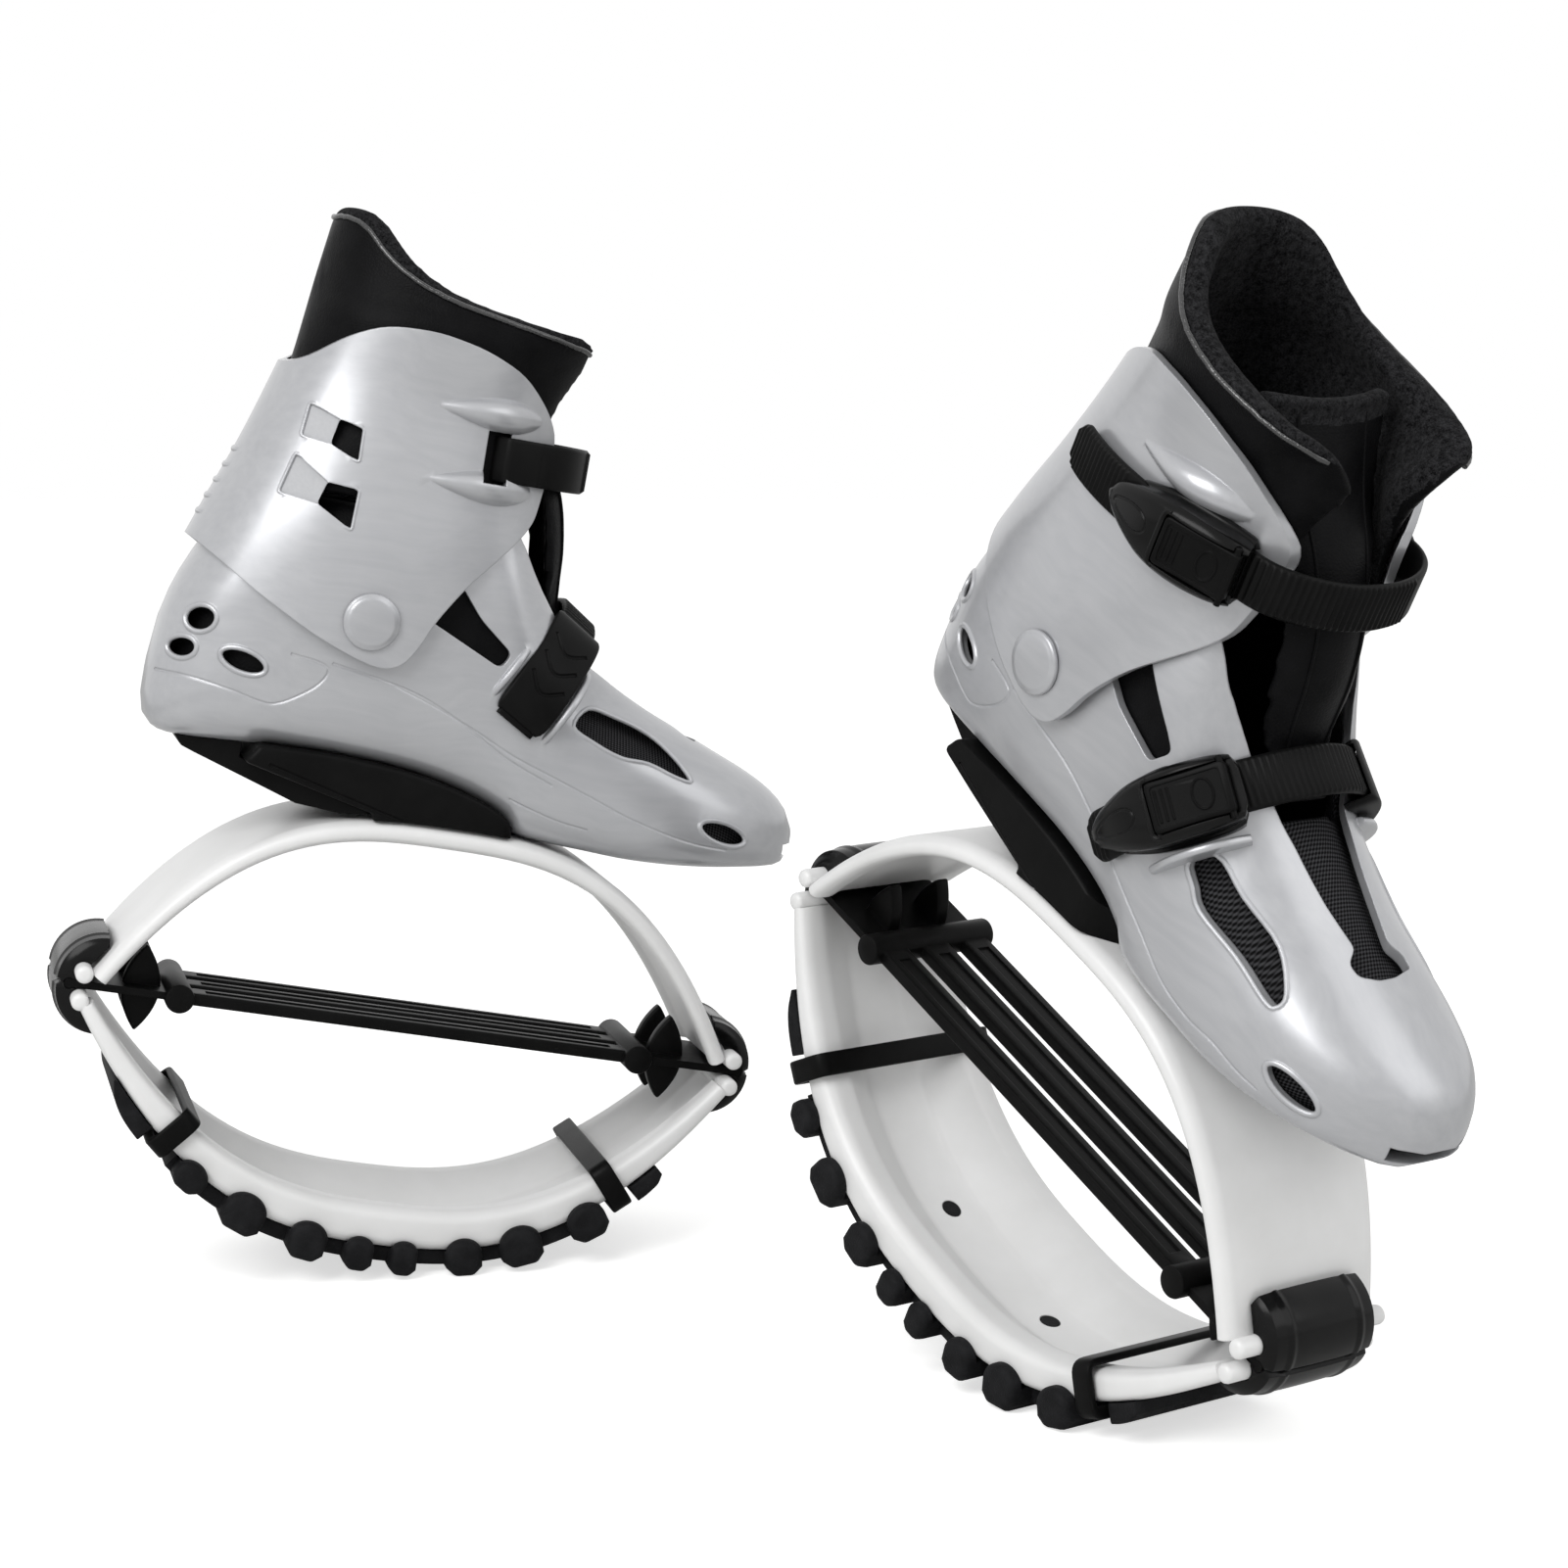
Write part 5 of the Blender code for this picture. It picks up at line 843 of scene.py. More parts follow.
def slot_outline():
    """Plan outline of the tongue slot: down its outer edge and back up the inner one."""
    outline = [(shell_x(along), SHELL_HALF * outer) for along, outer, inner in TONGUE_SLOT]
    return outline + [(shell_x(along), SHELL_HALF * inner)
                      for along, outer, inner in reversed(TONGUE_SLOT)]


def vent_outline(along, up, length, height, tilt, points=28):
    turn = math.radians(tilt)
    outline = []
    for index in range(points):
        angle = math.tau * index / points
        ahead = length * math.cos(angle)
        rise = height * math.sin(angle)
        outline.append((shell_x(along) + ahead * math.cos(turn) - rise * math.sin(turn),
                        shell_z(up) + ahead * math.sin(turn) + rise * math.cos(turn)))
    return outline


shell = shell_form("shell", 0)
rim = rounded(shell_outline(RIM) + [(0.075, 0.290), (-0.160, 0.290)], 0.010, 4)
carve(shell, side_prism("rim_room", rim, -0.08, 0.08))
carve(shell, shell_form("shell_room", SHELL_WALL, 56, 0.016))
slot = rounded(slot_outline(), 0.0022, 3)
carve(shell, plan_prism("tongue_slot", slot, shell_z(0.30), 0.300))
windows = ((LATERAL_ANKLE, -1, 0.0030), (MEDIAL_ANKLE, 1, 0.0035))
leaf_windows = ((LATERAL_LEAF, -1), (MEDIAL_LEAF, 1))
edges = []
for shares, side, radius in windows:
    outline = rounded(shell_outline(shares), radius, 4)
    carve(shell, side_prism("window", outline, *sorted((0, side * SIDE_REACH))))
for shares, side in leaf_windows:
    outline = flowing(shell_outline(shares), 4)
    edges.append((outline, side, 0.0011))
    carve(shell, side_prism("leaf_window", outline, *sorted((0, side * SIDE_REACH))))
for name, *sizes in VENTS:
    outline = vent_outline(*sizes)
    carve(shell, side_prism(name, outline, -SIDE_REACH, SIDE_REACH))
    edges += [(outline, side, 0.0013) for side in (-1, 1)]
carve(shell, block("toe_slot", (0.0110, 0.0200, 0.0030),
                   Matrix.Translation((shell_x(1), 0.0020, SHELL_BASE + 0.0140))))
carve(shell, rod("pivot_room", 0.0054, ((PIVOT_X, -0.08, PIVOT_Z), (PIVOT_X, 0.08, PIVOT_Z))))
for outline, side, radius in edges:
    weld(shell, wire("edge_bead", on_side(SHELL_TREE, outline, side, 0.0004), radius))
print("shell", len(shell.data.polygons), "faces")

# %% [markdown]
# Shallow styling lines run over the shell. Each is laid on the form from the side and
# carved with a thin wire, so that it is a real groove that catches the light.

# %% Styling lines of the boot shell
MM = 0.001
HEEL_LINE = ((-140.0, 143.4), (-125.9, 143.9), (-108.0, 141.5), (-95.6, 138.8),
             (-88.4, 138.8), (-79.6, 143.6), (-71.2, 150.6), (-68.1, 157.4),
             (-72.9, 160.3), (-85.2, 161.8))
FLANK_LINE = ((-66.8, 160.7), (-44.1, 157.0), (-24.5, 152.0), (-3.9, 142.6), (17.2, 130.8))
MEDIAL_LINES = (
    ((-37.9, 155.3), (-18.8, 148.8), (0.7, 141.0), (20.4, 132.1), (39.9, 125.4),
     (59.5, 118.7), (79.1, 111.9), (105.8, 105.7), (126.4, 104.1)),
    ((22.2, 112.5), (43.4, 106.5), (59.7, 104.1)),
    HEEL_LINE,
    (*FLANK_LINE, (40.0, 121.7)),
)
LATERAL_LINES = (
    (*FLANK_LINE, (40.0, 119.7), (57.5, 110.7), (74.0, 107.3), (88.7, 107.0),
     (103.2, 104.0), (112.9, 103.0)),
    HEEL_LINE,
)
for lines, side in ((MEDIAL_LINES, 1), (LATERAL_LINES, -1)):
    for line in lines:
        points = flowing([(x * MM, z * MM) for x, z in line], 5, closed=False)
        laid = on_side(SHELL_TREE, points, side, -0.0004)
        carve(shell, wire("groove", laid, 0.0008, closed=False, sides=2))
print("shell with lines", len(shell.data.polygons), "faces")

# %% [markdown]
# Crescents beside the lower strap keep it in place. They follow the strap's tilted loop.

# %% Line of the lower strap and its guards
LOWER_CROWN = Vector((0.0470, 0, 0.1960))
LOWER_DROP = 0.0570
GUARD_PROUD = 0.0070
GUARD_THICK = 0.0030


def lower_strap_place(angle, lift=0.0):
    """Point and forward direction on the twisted loop; 0 is the outer side, 180 the inner."""
    turn = math.radians(angle)
    tilt = math.radians(56.0 - 3.5 * math.cos(turn))
    reach = 0.0530 if math.cos(turn) > 0 else 0.0490
    fall = (LOWER_DROP + lift) * math.sin(turn) - LOWER_DROP
    point = Vector((LOWER_CROWN.x + math.cos(tilt) * fall, -(reach + lift) * math.cos(turn),
                    LOWER_CROWN.z + math.sin(tilt) * fall))
    return point, Vector((math.sin(tilt), 0, -math.cos(tilt)))


def shell_guard(side, offset, span):
    """Crescent on the shell beside the lower strap."""
    rings = []
    for share in spread(0, 1, 25):
        angle = span[0] + (span[1] - span[0]) * share
        turn = angle if side < 0 else 180 - angle
        near, forward = lower_strap_place(turn, -0.0120)
        far, _ = lower_strap_place(turn, GUARD_PROUD * (1.2 * math.sin(math.pi * share) - 0.4))
        half = forward * GUARD_THICK / 2
        shift = forward * offset
        rings.append(rounded([near + shift - half * 1.8, near + shift + half * 1.8,
                              far + shift + half, far + shift - half], 0.0012, 3))
    return skin("shell_guard", rings)


for side, offset, span in ((1, -0.0160, (-4, 48)), (1, 0.0160, (-4, 48)),
                           (-1, 0.0188, (6, 52))):
    guard = shell_guard(side, offset, span)
    carve(guard, shell_form("guard_room", SHELL_WALL / 2, 56, 0.016))
    weld(shell, guard)
put(shell, "shell_moulding", "boot", "silver_plastic", ("boot_shell",))

# %% [markdown]
# ## Shin cuff
# The cuff is a tapering sleeve, cut to a flowing outline from the side. It turns on two
# broad rivets at the ankle.

# %% Form of the cuff
CUFF_LENGTH = 0.1530
CUFF_HEIGHT = 0.1500
CUFF_WALL = 0.0035
CUFF_HALF = SHELL_HALF + 0.0020 + CUFF_WALL
CUFF_ROWS = (
    (-0.213, -0.621, 0.693, 1.000),
    (0.000, -0.575, 0.667, 1.000),
    (0.220, -0.503, 0.601, 0.982),
    (0.453, -0.418, 0.556, 0.930),
    (0.687, -0.346, 0.549, 0.895),
    (0.920, -0.281, 0.641, 0.965),
)
CUFF_OUTLINE = (
    (-0.380, 0.693), (-0.560, 0.167), (-0.484, 0.127), (-0.327, 0.027), (-0.150, -0.067),
    (-0.013, -0.120), (0.059, -0.133), (0.111, -0.113), (0.150, -0.053), (0.183, 0.027),
    (0.261, 0.147), (0.392, 0.293), (0.438, 0.360), (0.451, 0.427), (0.477, 0.613),
    (0.431, 0.693), (0.333, 0.787), (0.203, 0.840), (0.059, 0.867), (-0.085, 0.860),
    (-0.183, 0.813), (-0.300, 0.713),
)
UPPER_OPENING = ((-0.175, 0.566), (-0.105, 0.553), (-0.105, 0.452), (-0.190, 0.490))
UPPER_RAMP = ((-0.261, 0.600), (-0.175, 0.566), (-0.190, 0.490), (-0.275, 0.500))
LOWER_OPENING = ((-0.183, 0.380), (-0.092, 0.373), (-0.098, 0.253), (-0.203, 0.313))
LOWER_RAMP = ((-0.281, 0.447), (-0.183, 0.380), (-0.203, 0.313), (-0.314, 0.327))


def cuff_x(share):
    return PIVOT_X + CUFF_LENGTH * share


def cuff_z(share):
    return PIVOT_Z + CUFF_HEIGHT * share


def cuff_outline(shares):
    return [(cuff_x(along), cuff_z(up)) for along, up in shares]


def cuff_sizes(up, inset):
    rear, front, half = between(CUFF_ROWS, up)
    back = cuff_x(rear) + inset
    fore = cuff_x(front) - inset
    return (back + fore) / 2, (fore - back) / 2, CUFF_HALF * half - inset


def cuff_half_at(x, up, inset=0.0):
    """Half width of the cuff's section at a place along the shoe."""
    middle, reach, half = cuff_sizes(up, inset)
    share = min(abs(x - middle) / reach, 1)
    return half * (1 - share ** 2.2) ** (1 / 2.2)


def cuff_ring(up, inset, sides=96):
    middle, reach, half = cuff_sizes(up, inset)
    return [(middle + reach * signed_power(math.cos(math.tau * index / sides), 2 / 2.2),
             half * signed_power(math.sin(math.tau * index / sides), 2 / 2.2), cuff_z(up))
            for index in range(sides)]


def cuff_form(name, inset, overrun=0.0, sides=96, levels=34):
    first = CUFF_ROWS[0][0] - overrun
    last = CUFF_ROWS[-1][0] + overrun
    return skin(name, [cuff_ring(up, inset, sides) for up in spread(first, last, levels)])


def ridge(name, side, rise, rear, front, root, proud=GUARD_PROUD):
    """Crescent ridge on the cuff: broad at its root, soft at its crest."""
    up = rise / CUFF_HEIGHT
    rings = []
    for share in spread(0, 1, 33):
        x = PIVOT_X + rear + (front - rear) * share
        swell = math.sin(math.pi * share ** 1.35) ** 0.8
        near = cuff_half_at(x, up) - CUFF_WALL * 0.6
        reach = CUFF_WALL * 0.4 + proud * swell
        root_half = root * (0.20 + 0.80 * math.sin(math.pi * share ** 1.6) ** 0.7)
        ring = []
        for step in range(17):
            angle = math.pi * step / 16
            ring.append((x, side * (near + reach * math.sin(angle) ** 1.25),
                         PIVOT_Z + rise - root_half * math.cos(angle)))
        rings.append(ring)
    return skin(name, rings)


def ramp_room(name, shares, depth=0.0016):
    """Sloping recess that deepens forwards into a window of the cuff's inner side."""
    rear_top, front_top, front_low, rear_low = shares
    rings = []
    for (top_x, top_z), (low_x, low_z), deep in (
            (rear_top, rear_low, 0.0009), (front_top, front_low, depth)):
        ring = []
        for along, up in ((top_x, top_z), (low_x, low_z)):
            ring.append((cuff_x(along), cuff_half_at(cuff_x(along), up) - deep, cuff_z(up)))
        for along, up in ((low_x, low_z), (top_x, top_z)):
            ring.append((cuff_x(along), cuff_half_at(cuff_x(along), up) + 0.008, cuff_z(up)))
        rings.append(ring)
    return skin(name, rings)


# %% Carve the cuff
cuff = cuff_form("cuff", 0)
carve(cuff, cuff_form("cuff_room", CUFF_WALL, 0.05))
carve(cuff, shell_form("boot_clearance", -0.0014, 56, 0.016))
carve(cuff, side_prism("cuff_outline", rounded(cuff_outline(CUFF_OUTLINE), 0.0085, 4),
                       -0.09, 0.09), operation="INTERSECT")
carve(cuff, rod("pivot_room", 0.0054, ((PIVOT_X, -0.08, PIVOT_Z), (PIVOT_X, 0.08, PIVOT_Z))))
CUFF_TREE = tree_of(cuff)
for opening, ramp_shares in ((UPPER_OPENING, UPPER_RAMP), (LOWER_OPENING, LOWER_RAMP)):
    carve(cuff, side_prism("cuff_window", rounded(cuff_outline(opening), 0.0012, 3),
                           0.020, 0.09))
    carve(cuff, ramp_room("cuff_ramp", ramp_shares))
    lip = rounded(cuff_outline((ramp_shares[0], opening[1], opening[2], ramp_shares[3])),
                  0.0015, 3)
    weld(cuff, wire("window_lip", on_side(CUFF_TREE, lip, 1, 0.0003), 0.0008))
for side, rise, rear, front, root in ((1, 0.0990, 0.0120, 0.0640, 0.0080),
                                      (1, 0.0665, 0.0120, 0.0640, 0.0080),
                                      (-1, 0.0998, 0.0010, 0.0590, 0.0078)):
    weld(cuff, ridge("cuff_ridge", side, rise, rear, front, root))
for index in range(5):
    rise = 0.0330 + index * 0.0075
    middle, reach, half = cuff_sizes(rise / CUFF_HEIGHT, 0)
    bar = []
    for y in spread(-0.0120, 0.0120, 13):
        x = middle - reach * (1 - (abs(y) / half) ** 2.2) ** (1 / 2.2)
        bar.append((x + 0.0011 + 0.0016 * (abs(y) / 0.0120) ** 4, y, PIVOT_Z + rise))
    weld(cuff, wire("spine_rib", bar, 0.0019, closed=False))
STRAP_RISE = 0.0800
STRAP_WIDTH = 0.0200
carve(cuff, block("strap_slot", (0.0055, CUFF_HALF / 2, STRAP_WIDTH / 2 + 0.0015),
                  Matrix.Translation((PIVOT_X + 0.0440, CUFF_HALF, PIVOT_Z + STRAP_RISE))))


def on_ramp(face):
    """Floors of the two window ramps, which get a lighter matt plastic as a painted highlight."""
    x, y, z = face.center
    along, up = (x - PIVOT_X) / CUFF_LENGTH, (z - PIVOT_Z) / CUFF_HEIGHT
    return (y > 0 and face.normal.y > 0.8 and -0.33 < along < -0.16 and 0.29 < up < 0.62
            and CUFF_TREE.find_nearest(face.center)[3] > 0.0006)


# the ramp floors get the painted highlight material
faces_to(cuff, 1, on_ramp)
put(cuff, "cuff_moulding", "cuff", ("silver_plastic", "ramp_painted_highlight"),
    ("cuff",))

# %% Pivot rivets
for side, name in ((1, "medial"), (-1, "lateral")):
    outside = CUFF_HALF + 0.0003
    crown = outside + 0.0028
    profile = [(0.0, crown), (0.0060, crown - 0.0001), (0.0095, crown - 0.0004),
               (0.0108, crown - 0.0006), (0.0112, crown - 0.0010), (0.0118, crown - 0.0010),
               (0.0125, crown - 0.0014), (0.0127, crown - 0.0020), (0.0127, outside),
               (0.0050, outside), (0.0050, SHELL_HALF - SHELL_WALL),
               (0.0, SHELL_HALF - SHELL_WALL)]
    turn = Matrix.Rotation(-side * math.pi / 2, 4, "X")
    rivet = turned("rivet", profile, Matrix.Translation((PIVOT_X, 0, PIVOT_Z)) @ turn)
    put(rivet, name + "_rivet", "boot", "silver_plastic",
        (name + "_pivot_cap",), angle=50)

# %% [markdown]
# ## Ladder straps
# The upper strap runs level round the shin, the lower one tilts over the instep. Both
# are soft plastic with fine cross ribs that the buckle's pawl catches. A rounded section
# is swept along each line, and its height swells at every rib.

# %% Lines of the straps
UP = Vector((0, 0, 1))
FIT = 0.0003
STRAP_THICK = 0.0026
STRAP_LIFT = 0.0020
RIB_PITCH = 0.0026


def upper_line(steps=90):
    """From the tail on the outer side, round the front, into the inner side's slot."""
    up = STRAP_RISE / CUFF_HEIGHT
    z = PIVOT_Z + STRAP_RISE
    tail, edge, front, slot = (PIVOT_X + reach for reach in (-0.0290, 0.0640, 0.0905, 0.0495))
    line = [Vector((x, -cuff_half_at(x, up) - STRAP_LIFT, z))
            for x in spread(tail, edge, steps)[:-1]]
    wide = cuff_half_at(edge, up) + STRAP_LIFT
    for angle in spread(-math.pi / 2, math.pi / 2, steps):
        line.append(Vector((edge + (front - edge) * math.cos(angle), wide * math.sin(angle), z)))
    for x in spread(edge, slot, steps // 3)[1:]:
        line.append(Vector((x, cuff_half_at(x, up) + STRAP_LIFT, z)))
    hook = line[-1]
    line.append(hook + Vector((-STRAP_LIFT * 2, -STRAP_LIFT * 2, 0)))
    line.append(hook + Vector((-STRAP_LIFT * 2, -STRAP_LIFT - CUFF_WALL * 0.9, 0)))
    return [(point, UP) for point in line]


def lower_line(steps=220):
    line = []
    for angle in spread(-17.0, 181.0, steps):
        point, forward = lower_strap_place(angle)
        line.append((point, -forward))
    return line


LINES = {"upper": upper_line(), "lower": lower_line()}
BUCKLE_LENGTH = 0.0630
BUCKLE_STARTS = {"upper": 0.0345, "lower": 0.0060}


def even_path(dense, pitch):
    """Stations of point and width direction, evenly spaced along a dense line."""
    stations = [dense[0]]
    carried = 0
    for (start, wide), (end, wide_end) in zip(dense, dense[1:]):
        length = (end - start).length
        at = pitch - carried
        while at <= length:
            share = at / length
            stations.append((start.lerp(end, share), wide.lerp(wide_end, share).normalized()))
            at += pitch
        carried = length - (at - pitch)
    return stations


def line_frame(dense, distance):
    """Frame on a strap's line: X forwards, Y across and Z outwards."""
    walked = 0
    for (start, wide), (end, _) in zip(dense, dense[1:]):
        length = (end - start).length
        if walked + length >= distance:
            break
        walked += length
    point = start.lerp(end, min((distance - walked) / length, 1))
    ahead = (end - start).normalized()
    outward = ahead.cross(wide).normalized()
    across = outward.cross(ahead)
    return Matrix((
        (ahead.x, across.x, outward.x, point.x),
        (ahead.y, across.y, outward.y, point.y),
        (ahead.z, across.z, outward.z, point.z),
        (0, 0, 0, 1),
    ))


def swept(name, path, section):
    """Sweep a section along a path; section gives (across, outwards) points by index."""
    last = len(path) - 1
    rings = []
    for index, (point, wide) in enumerate(path):
        ahead = path[min(index + 1, last)][0] - path[max(index - 1, 0)][0]
        outward = ahead.cross(wide).normalized()
        rings.append([point + wide * across + outward * rise
                      for across, rise in section(index)])
    return skin(name, rings)


def ladder_strap(which, rib):
    dense = LINES[which]
    start = BUCKLE_STARTS[which]
    covered = [(start + 0.004, start + BUCKLE_LENGTH - 0.004)]
    if which == "lower":
        covered.append((0.1290, 0.1840))
    path = even_path(dense, RIB_PITCH / 6)
    length = len(path) * RIB_PITCH / 6
    if which == "upper":
        covered.append((length - 0.056, length))

    def section(index):
        walked = index * RIB_PITCH / 6
        plain = any(low < walked < high for low, high in covered)
        wave = min(max(0.35 + math.sin(math.tau * walked / RIB_PITCH), 0), 1)
        top = STRAP_THICK + (0 if plain else rib * wave)
        tip = min(walked / 0.0070, 1)
        half = STRAP_WIDTH / 2 * (0.45 + 0.55 * math.sqrt(1 - (1 - tip) ** 2))
        return [(-half, 0.0006), (0.0006 - half, 0), (half - 0.0006, 0), (half, 0.0006),
                (half, STRAP_THICK - 0.0008), (half - 0.0006, STRAP_THICK - 0.0002),
                (half - 0.0016, top), (0.0016 - half, top),
                (0.0006 - half, STRAP_THICK - 0.0002), (-half, STRAP_THICK - 0.0008)]
    made = swept(which + "_strap", path, section)
    if which == "lower":
        carve(made, shell_form("shell_clearance", -FIT, 56, 0.016))
    return made


put(ladder_strap("upper", 0.0009), "shin_strap", "cuff", "strap_plastic",
    ("upper_strap",), angle=50)
put(ladder_strap("lower", 0.0006), "instep_strap", "boot", "strap_plastic",
    ("lower_strap",), angle=50)

# %% [markdown]
# ## Ratchet buckles
# A buckle is a teardrop bridge over the strap, narrow at its tail, with a thin flange
# round its foot and a pocket for the lever. Its sections follow the strap's line, so it
# hugs the boot. A ring is pressed into the tail, and a raised rim frames the pocket.

# %% Body of a buckle
BUCKLE_HALF = 0.0158
BUCKLE_HIGH = 0.0118
BUCKLE_DECK = 0.0062
BUCKLE_ROOT = 0.0090
BUCKLE_ROWS = ((0.00, 0.34, 0.52), (0.07, 0.50, 0.62), (0.22, 0.72, 0.78),
               (0.40, 0.92, 0.94), (0.60, 1.00, 1.00), (0.85, 0.97, 1.00),
               (1.00, 0.86, 0.90))
LEVER_LENGTH = 0.0300
LEVER_HALF = 0.0098
LEVER_THICK = 0.0040
LEVER_PLAY = 0.0006
PIN_RADIUS = 0.0013
PIN_REACH = 0.0022


def strap_room(which):
    path = even_path(LINES[which], 0.0030)
    half = STRAP_WIDTH / 2 + FIT
    high = STRAP_THICK + 0.0010 + FIT
    section = [(-half, -0.0135), (half, -0.0135), (half, high), (-half, high)]
    return swept("strap_room", path, lambda index: section)


def lever_frame(which):
    """Frame on a lever's pin: X back along the lever, Y along the pin, Z outwards."""
    pin = BUCKLE_STARTS[which] + BUCKLE_LENGTH - 0.0030
    middle = line_frame(LINES[which], pin - LEVER_LENGTH / 2)
    rise = BUCKLE_DECK + LEVER_PLAY + LEVER_THICK / 2
    return (middle @ Matrix.Translation((LEVER_LENGTH / 2, 0, rise))
            @ Matrix.Rotation(math.pi, 4, "Z"))


def placed(piece, place):
    """Move a piece's mesh from a local frame to the drawing frame."""
    piece.data.transform(place)
    return piece


def laid_from(piece, place, points, sink):
    """Drop local (x, y) points along -Z of a frame onto a piece."""
    tree = tree_of(piece)
    down = (place.to_3x3() @ Vector((0, 0, -1))).normalized()
    made = []
    for x, y in points:
        spot, normal, _, _ = tree.ray_cast(place @ Vector((x, y, 0.03)), down)
        if spot is not None:
            made.append(spot - normal * sink)
    return made


def buckle(which):
    dense = LINES[which]
    start = BUCKLE_STARTS[which]
    low = FIT - STRAP_LIFT if which == "upper" else -BUCKLE_ROOT
    lip = 0.0016
    rings = []
    for place in spread(0, 1, 40):
        wide, tall = between(BUCKLE_ROWS, place)
        end = min(place / 0.05, (1 - place) / 0.03, 1)
        half = BUCKLE_HALF * wide * (0.80 + 0.20 * math.sqrt(end))
        top = BUCKLE_HIGH * tall * (0.90 + 0.10 * math.sqrt(end))
        shoulder = half - 0.0013
        frame_here = line_frame(dense, start + BUCKLE_LENGTH * place)
        profile = rounded([(-half, low), (half, low), (half, lip), (shoulder, lip + 0.0006),
                           (shoulder - 0.0004, top * 0.72), (shoulder - 0.0030, top * 0.95),
                           (shoulder * 0.35, top), (-shoulder * 0.35, top),
                           (0.0030 - shoulder, top * 0.95), (0.0004 - shoulder, top * 0.72),
                           (-shoulder, lip + 0.0006), (-half, lip)], 0.0013, 3)
        rings.append([frame_here @ Vector((0, across, up)) for across, up in profile])
    made = skin(which + "_buckle", rings)
    place = lever_frame(which)
    ring = [(LEVER_LENGTH + 0.0165 + 0.0095 * math.cos(math.tau * step / 36),
             0.0042 * math.sin(math.tau * step / 36)
             * (1 - 0.35 * math.cos(math.tau * step / 36))) for step in range(36)]
    groove = wire("ring", laid_from(made, place, ring, -0.0001), 0.00055)
    rear = LEVER_LENGTH + LEVER_PLAY + 0.0012
    side = LEVER_HALF + LEVER_PLAY + 0.0010
    rim = rounded([(0.002, side), (rear, side), (rear, -side), (0.002, -side)], 0.003, 4)[5:-5]
    raised = wire("pocket_rim", laid_from(made, place, rim, 0.0002), 0.0008, closed=False)
    carve(made, groove)
    weld(made, raised)
    if which == "lower":
        carve(made, shell_form("shell_clearance", -FIT * 2, 56, 0.016))
    else:
        carve(made, cuff_form("cuff_clearance", -FIT))
    carve(made, strap_room(which))
    half = LEVER_HALF + LEVER_PLAY
    floor = -LEVER_THICK / 2 - LEVER_PLAY
    pocket = rounded([(LEVER_LENGTH + LEVER_PLAY, half), (-0.0130, half), (-0.0130, -half),
                      (LEVER_LENGTH + LEVER_PLAY, -half)], 0.0016, 3)
    carve(made, placed(plan_prism("lever_room", pocket, floor, 0.025), place))
    hole = rod("pin_hole", PIN_RADIUS + FIT, ((0, -LEVER_HALF - PIN_REACH - FIT, 0),
                                              (0, LEVER_HALF + PIN_REACH + FIT, 0)))
    return carve(made, placed(hole, place))


for which, name, body in (("upper", "shin_buckle", "cuff"), ("lower", "instep_buckle", "boot")):
    put(buckle(which), name, body, "buckle_plastic", (which + "_buckle",))

# %% [markdown]
# The lever lies in the pocket on a cross pin. It is a flat plate with softened edges, a
# sunk panel, a pressed ring by the hinge and three finger ribs at the free end.

# %% Levers


def lever(which):
    half = LEVER_THICK / 2
    outline = rounded([(LEVER_LENGTH, -LEVER_HALF), (LEVER_LENGTH, LEVER_HALF),
                       (-half, LEVER_HALF), (-half, -LEVER_HALF)], 0.0022, 4)
    made = bevelled(plan_prism(which + "_lever", outline, -half, half), 0.0008)
    panel = rounded([(LEVER_LENGTH - 0.0020, 0.0020 - LEVER_HALF),
                     (LEVER_LENGTH - 0.0020, LEVER_HALF - 0.0020),
                     (0.0008, LEVER_HALF - 0.0020), (0.0008, 0.0020 - LEVER_HALF)], 0.0018, 4)
    carve(made, plan_prism("panel", panel, half - 0.0004, half + 0.002))
    ring = [(0.0088 + 0.0040 * math.cos(math.tau * step / 32),
             0.0058 * math.sin(math.tau * step / 32), half - 0.0004) for step in range(32)]
    weld(made, wire("ring", ring, 0.00045))
    for place in (0.0215, 0.0240, 0.0265):
        weld(made, wire("finger_rib", [(place, y, half - 0.0004)
                                       for y in (-0.0062, 0, 0.0062)], 0.0005, closed=False))
    weld(made, rod("pin", PIN_RADIUS, ((0, -LEVER_HALF - PIN_REACH, 0),
                                       (0, LEVER_HALF + PIN_REACH, 0))))
    return placed(made, lever_frame(which))


for which, name in (("upper", "shin_lever"), ("lower", "instep_lever")):
    put(lever(which), name, which + "_lever", "black_plastic",
        (which + "_lever",))

# %% [markdown]
# On the inner side the lower strap is anchored under a plate with three nested chevrons.

# %% Strap plate
PLATE_START = 0.1270
PLATE_LENGTH = 0.0585
PLATE_HALF = 0.0130
PLATE_HIGH = 0.0054
PLATE_ROWS = ((0.0, 0.94, 0.86), (0.12, 1.0, 1.0), (0.5, 1.0, 1.0), (0.88, 1.0, 1.0),
              (1.0, 0.94, 0.86))
rings = []
for place in spread(0, 1, 34):
    wide, tall = between(PLATE_ROWS, place)
    end = math.sqrt(min(place / 0.05, (1 - place) / 0.05, 1))
    half = PLATE_HALF * wide * (0.90 + 0.10 * end)
    top = PLATE_HIGH * tall * (0.80 + 0.20 * end)
    here = line_frame(LINES["lower"], PLATE_START + PLATE_LENGTH * place)
    profile = rounded([(-half, -BUCKLE_ROOT), (half, -BUCKLE_ROOT), (half, top - 0.0008),
                       (half - 0.0008, top), (0.0008 - half, top), (-half, top - 0.0008)],
                      0.0006, 3)
    rings.append([here @ Vector((0, across, up)) for across, up in profile])
plate = skin("strap_plate", rings)
grooves = []
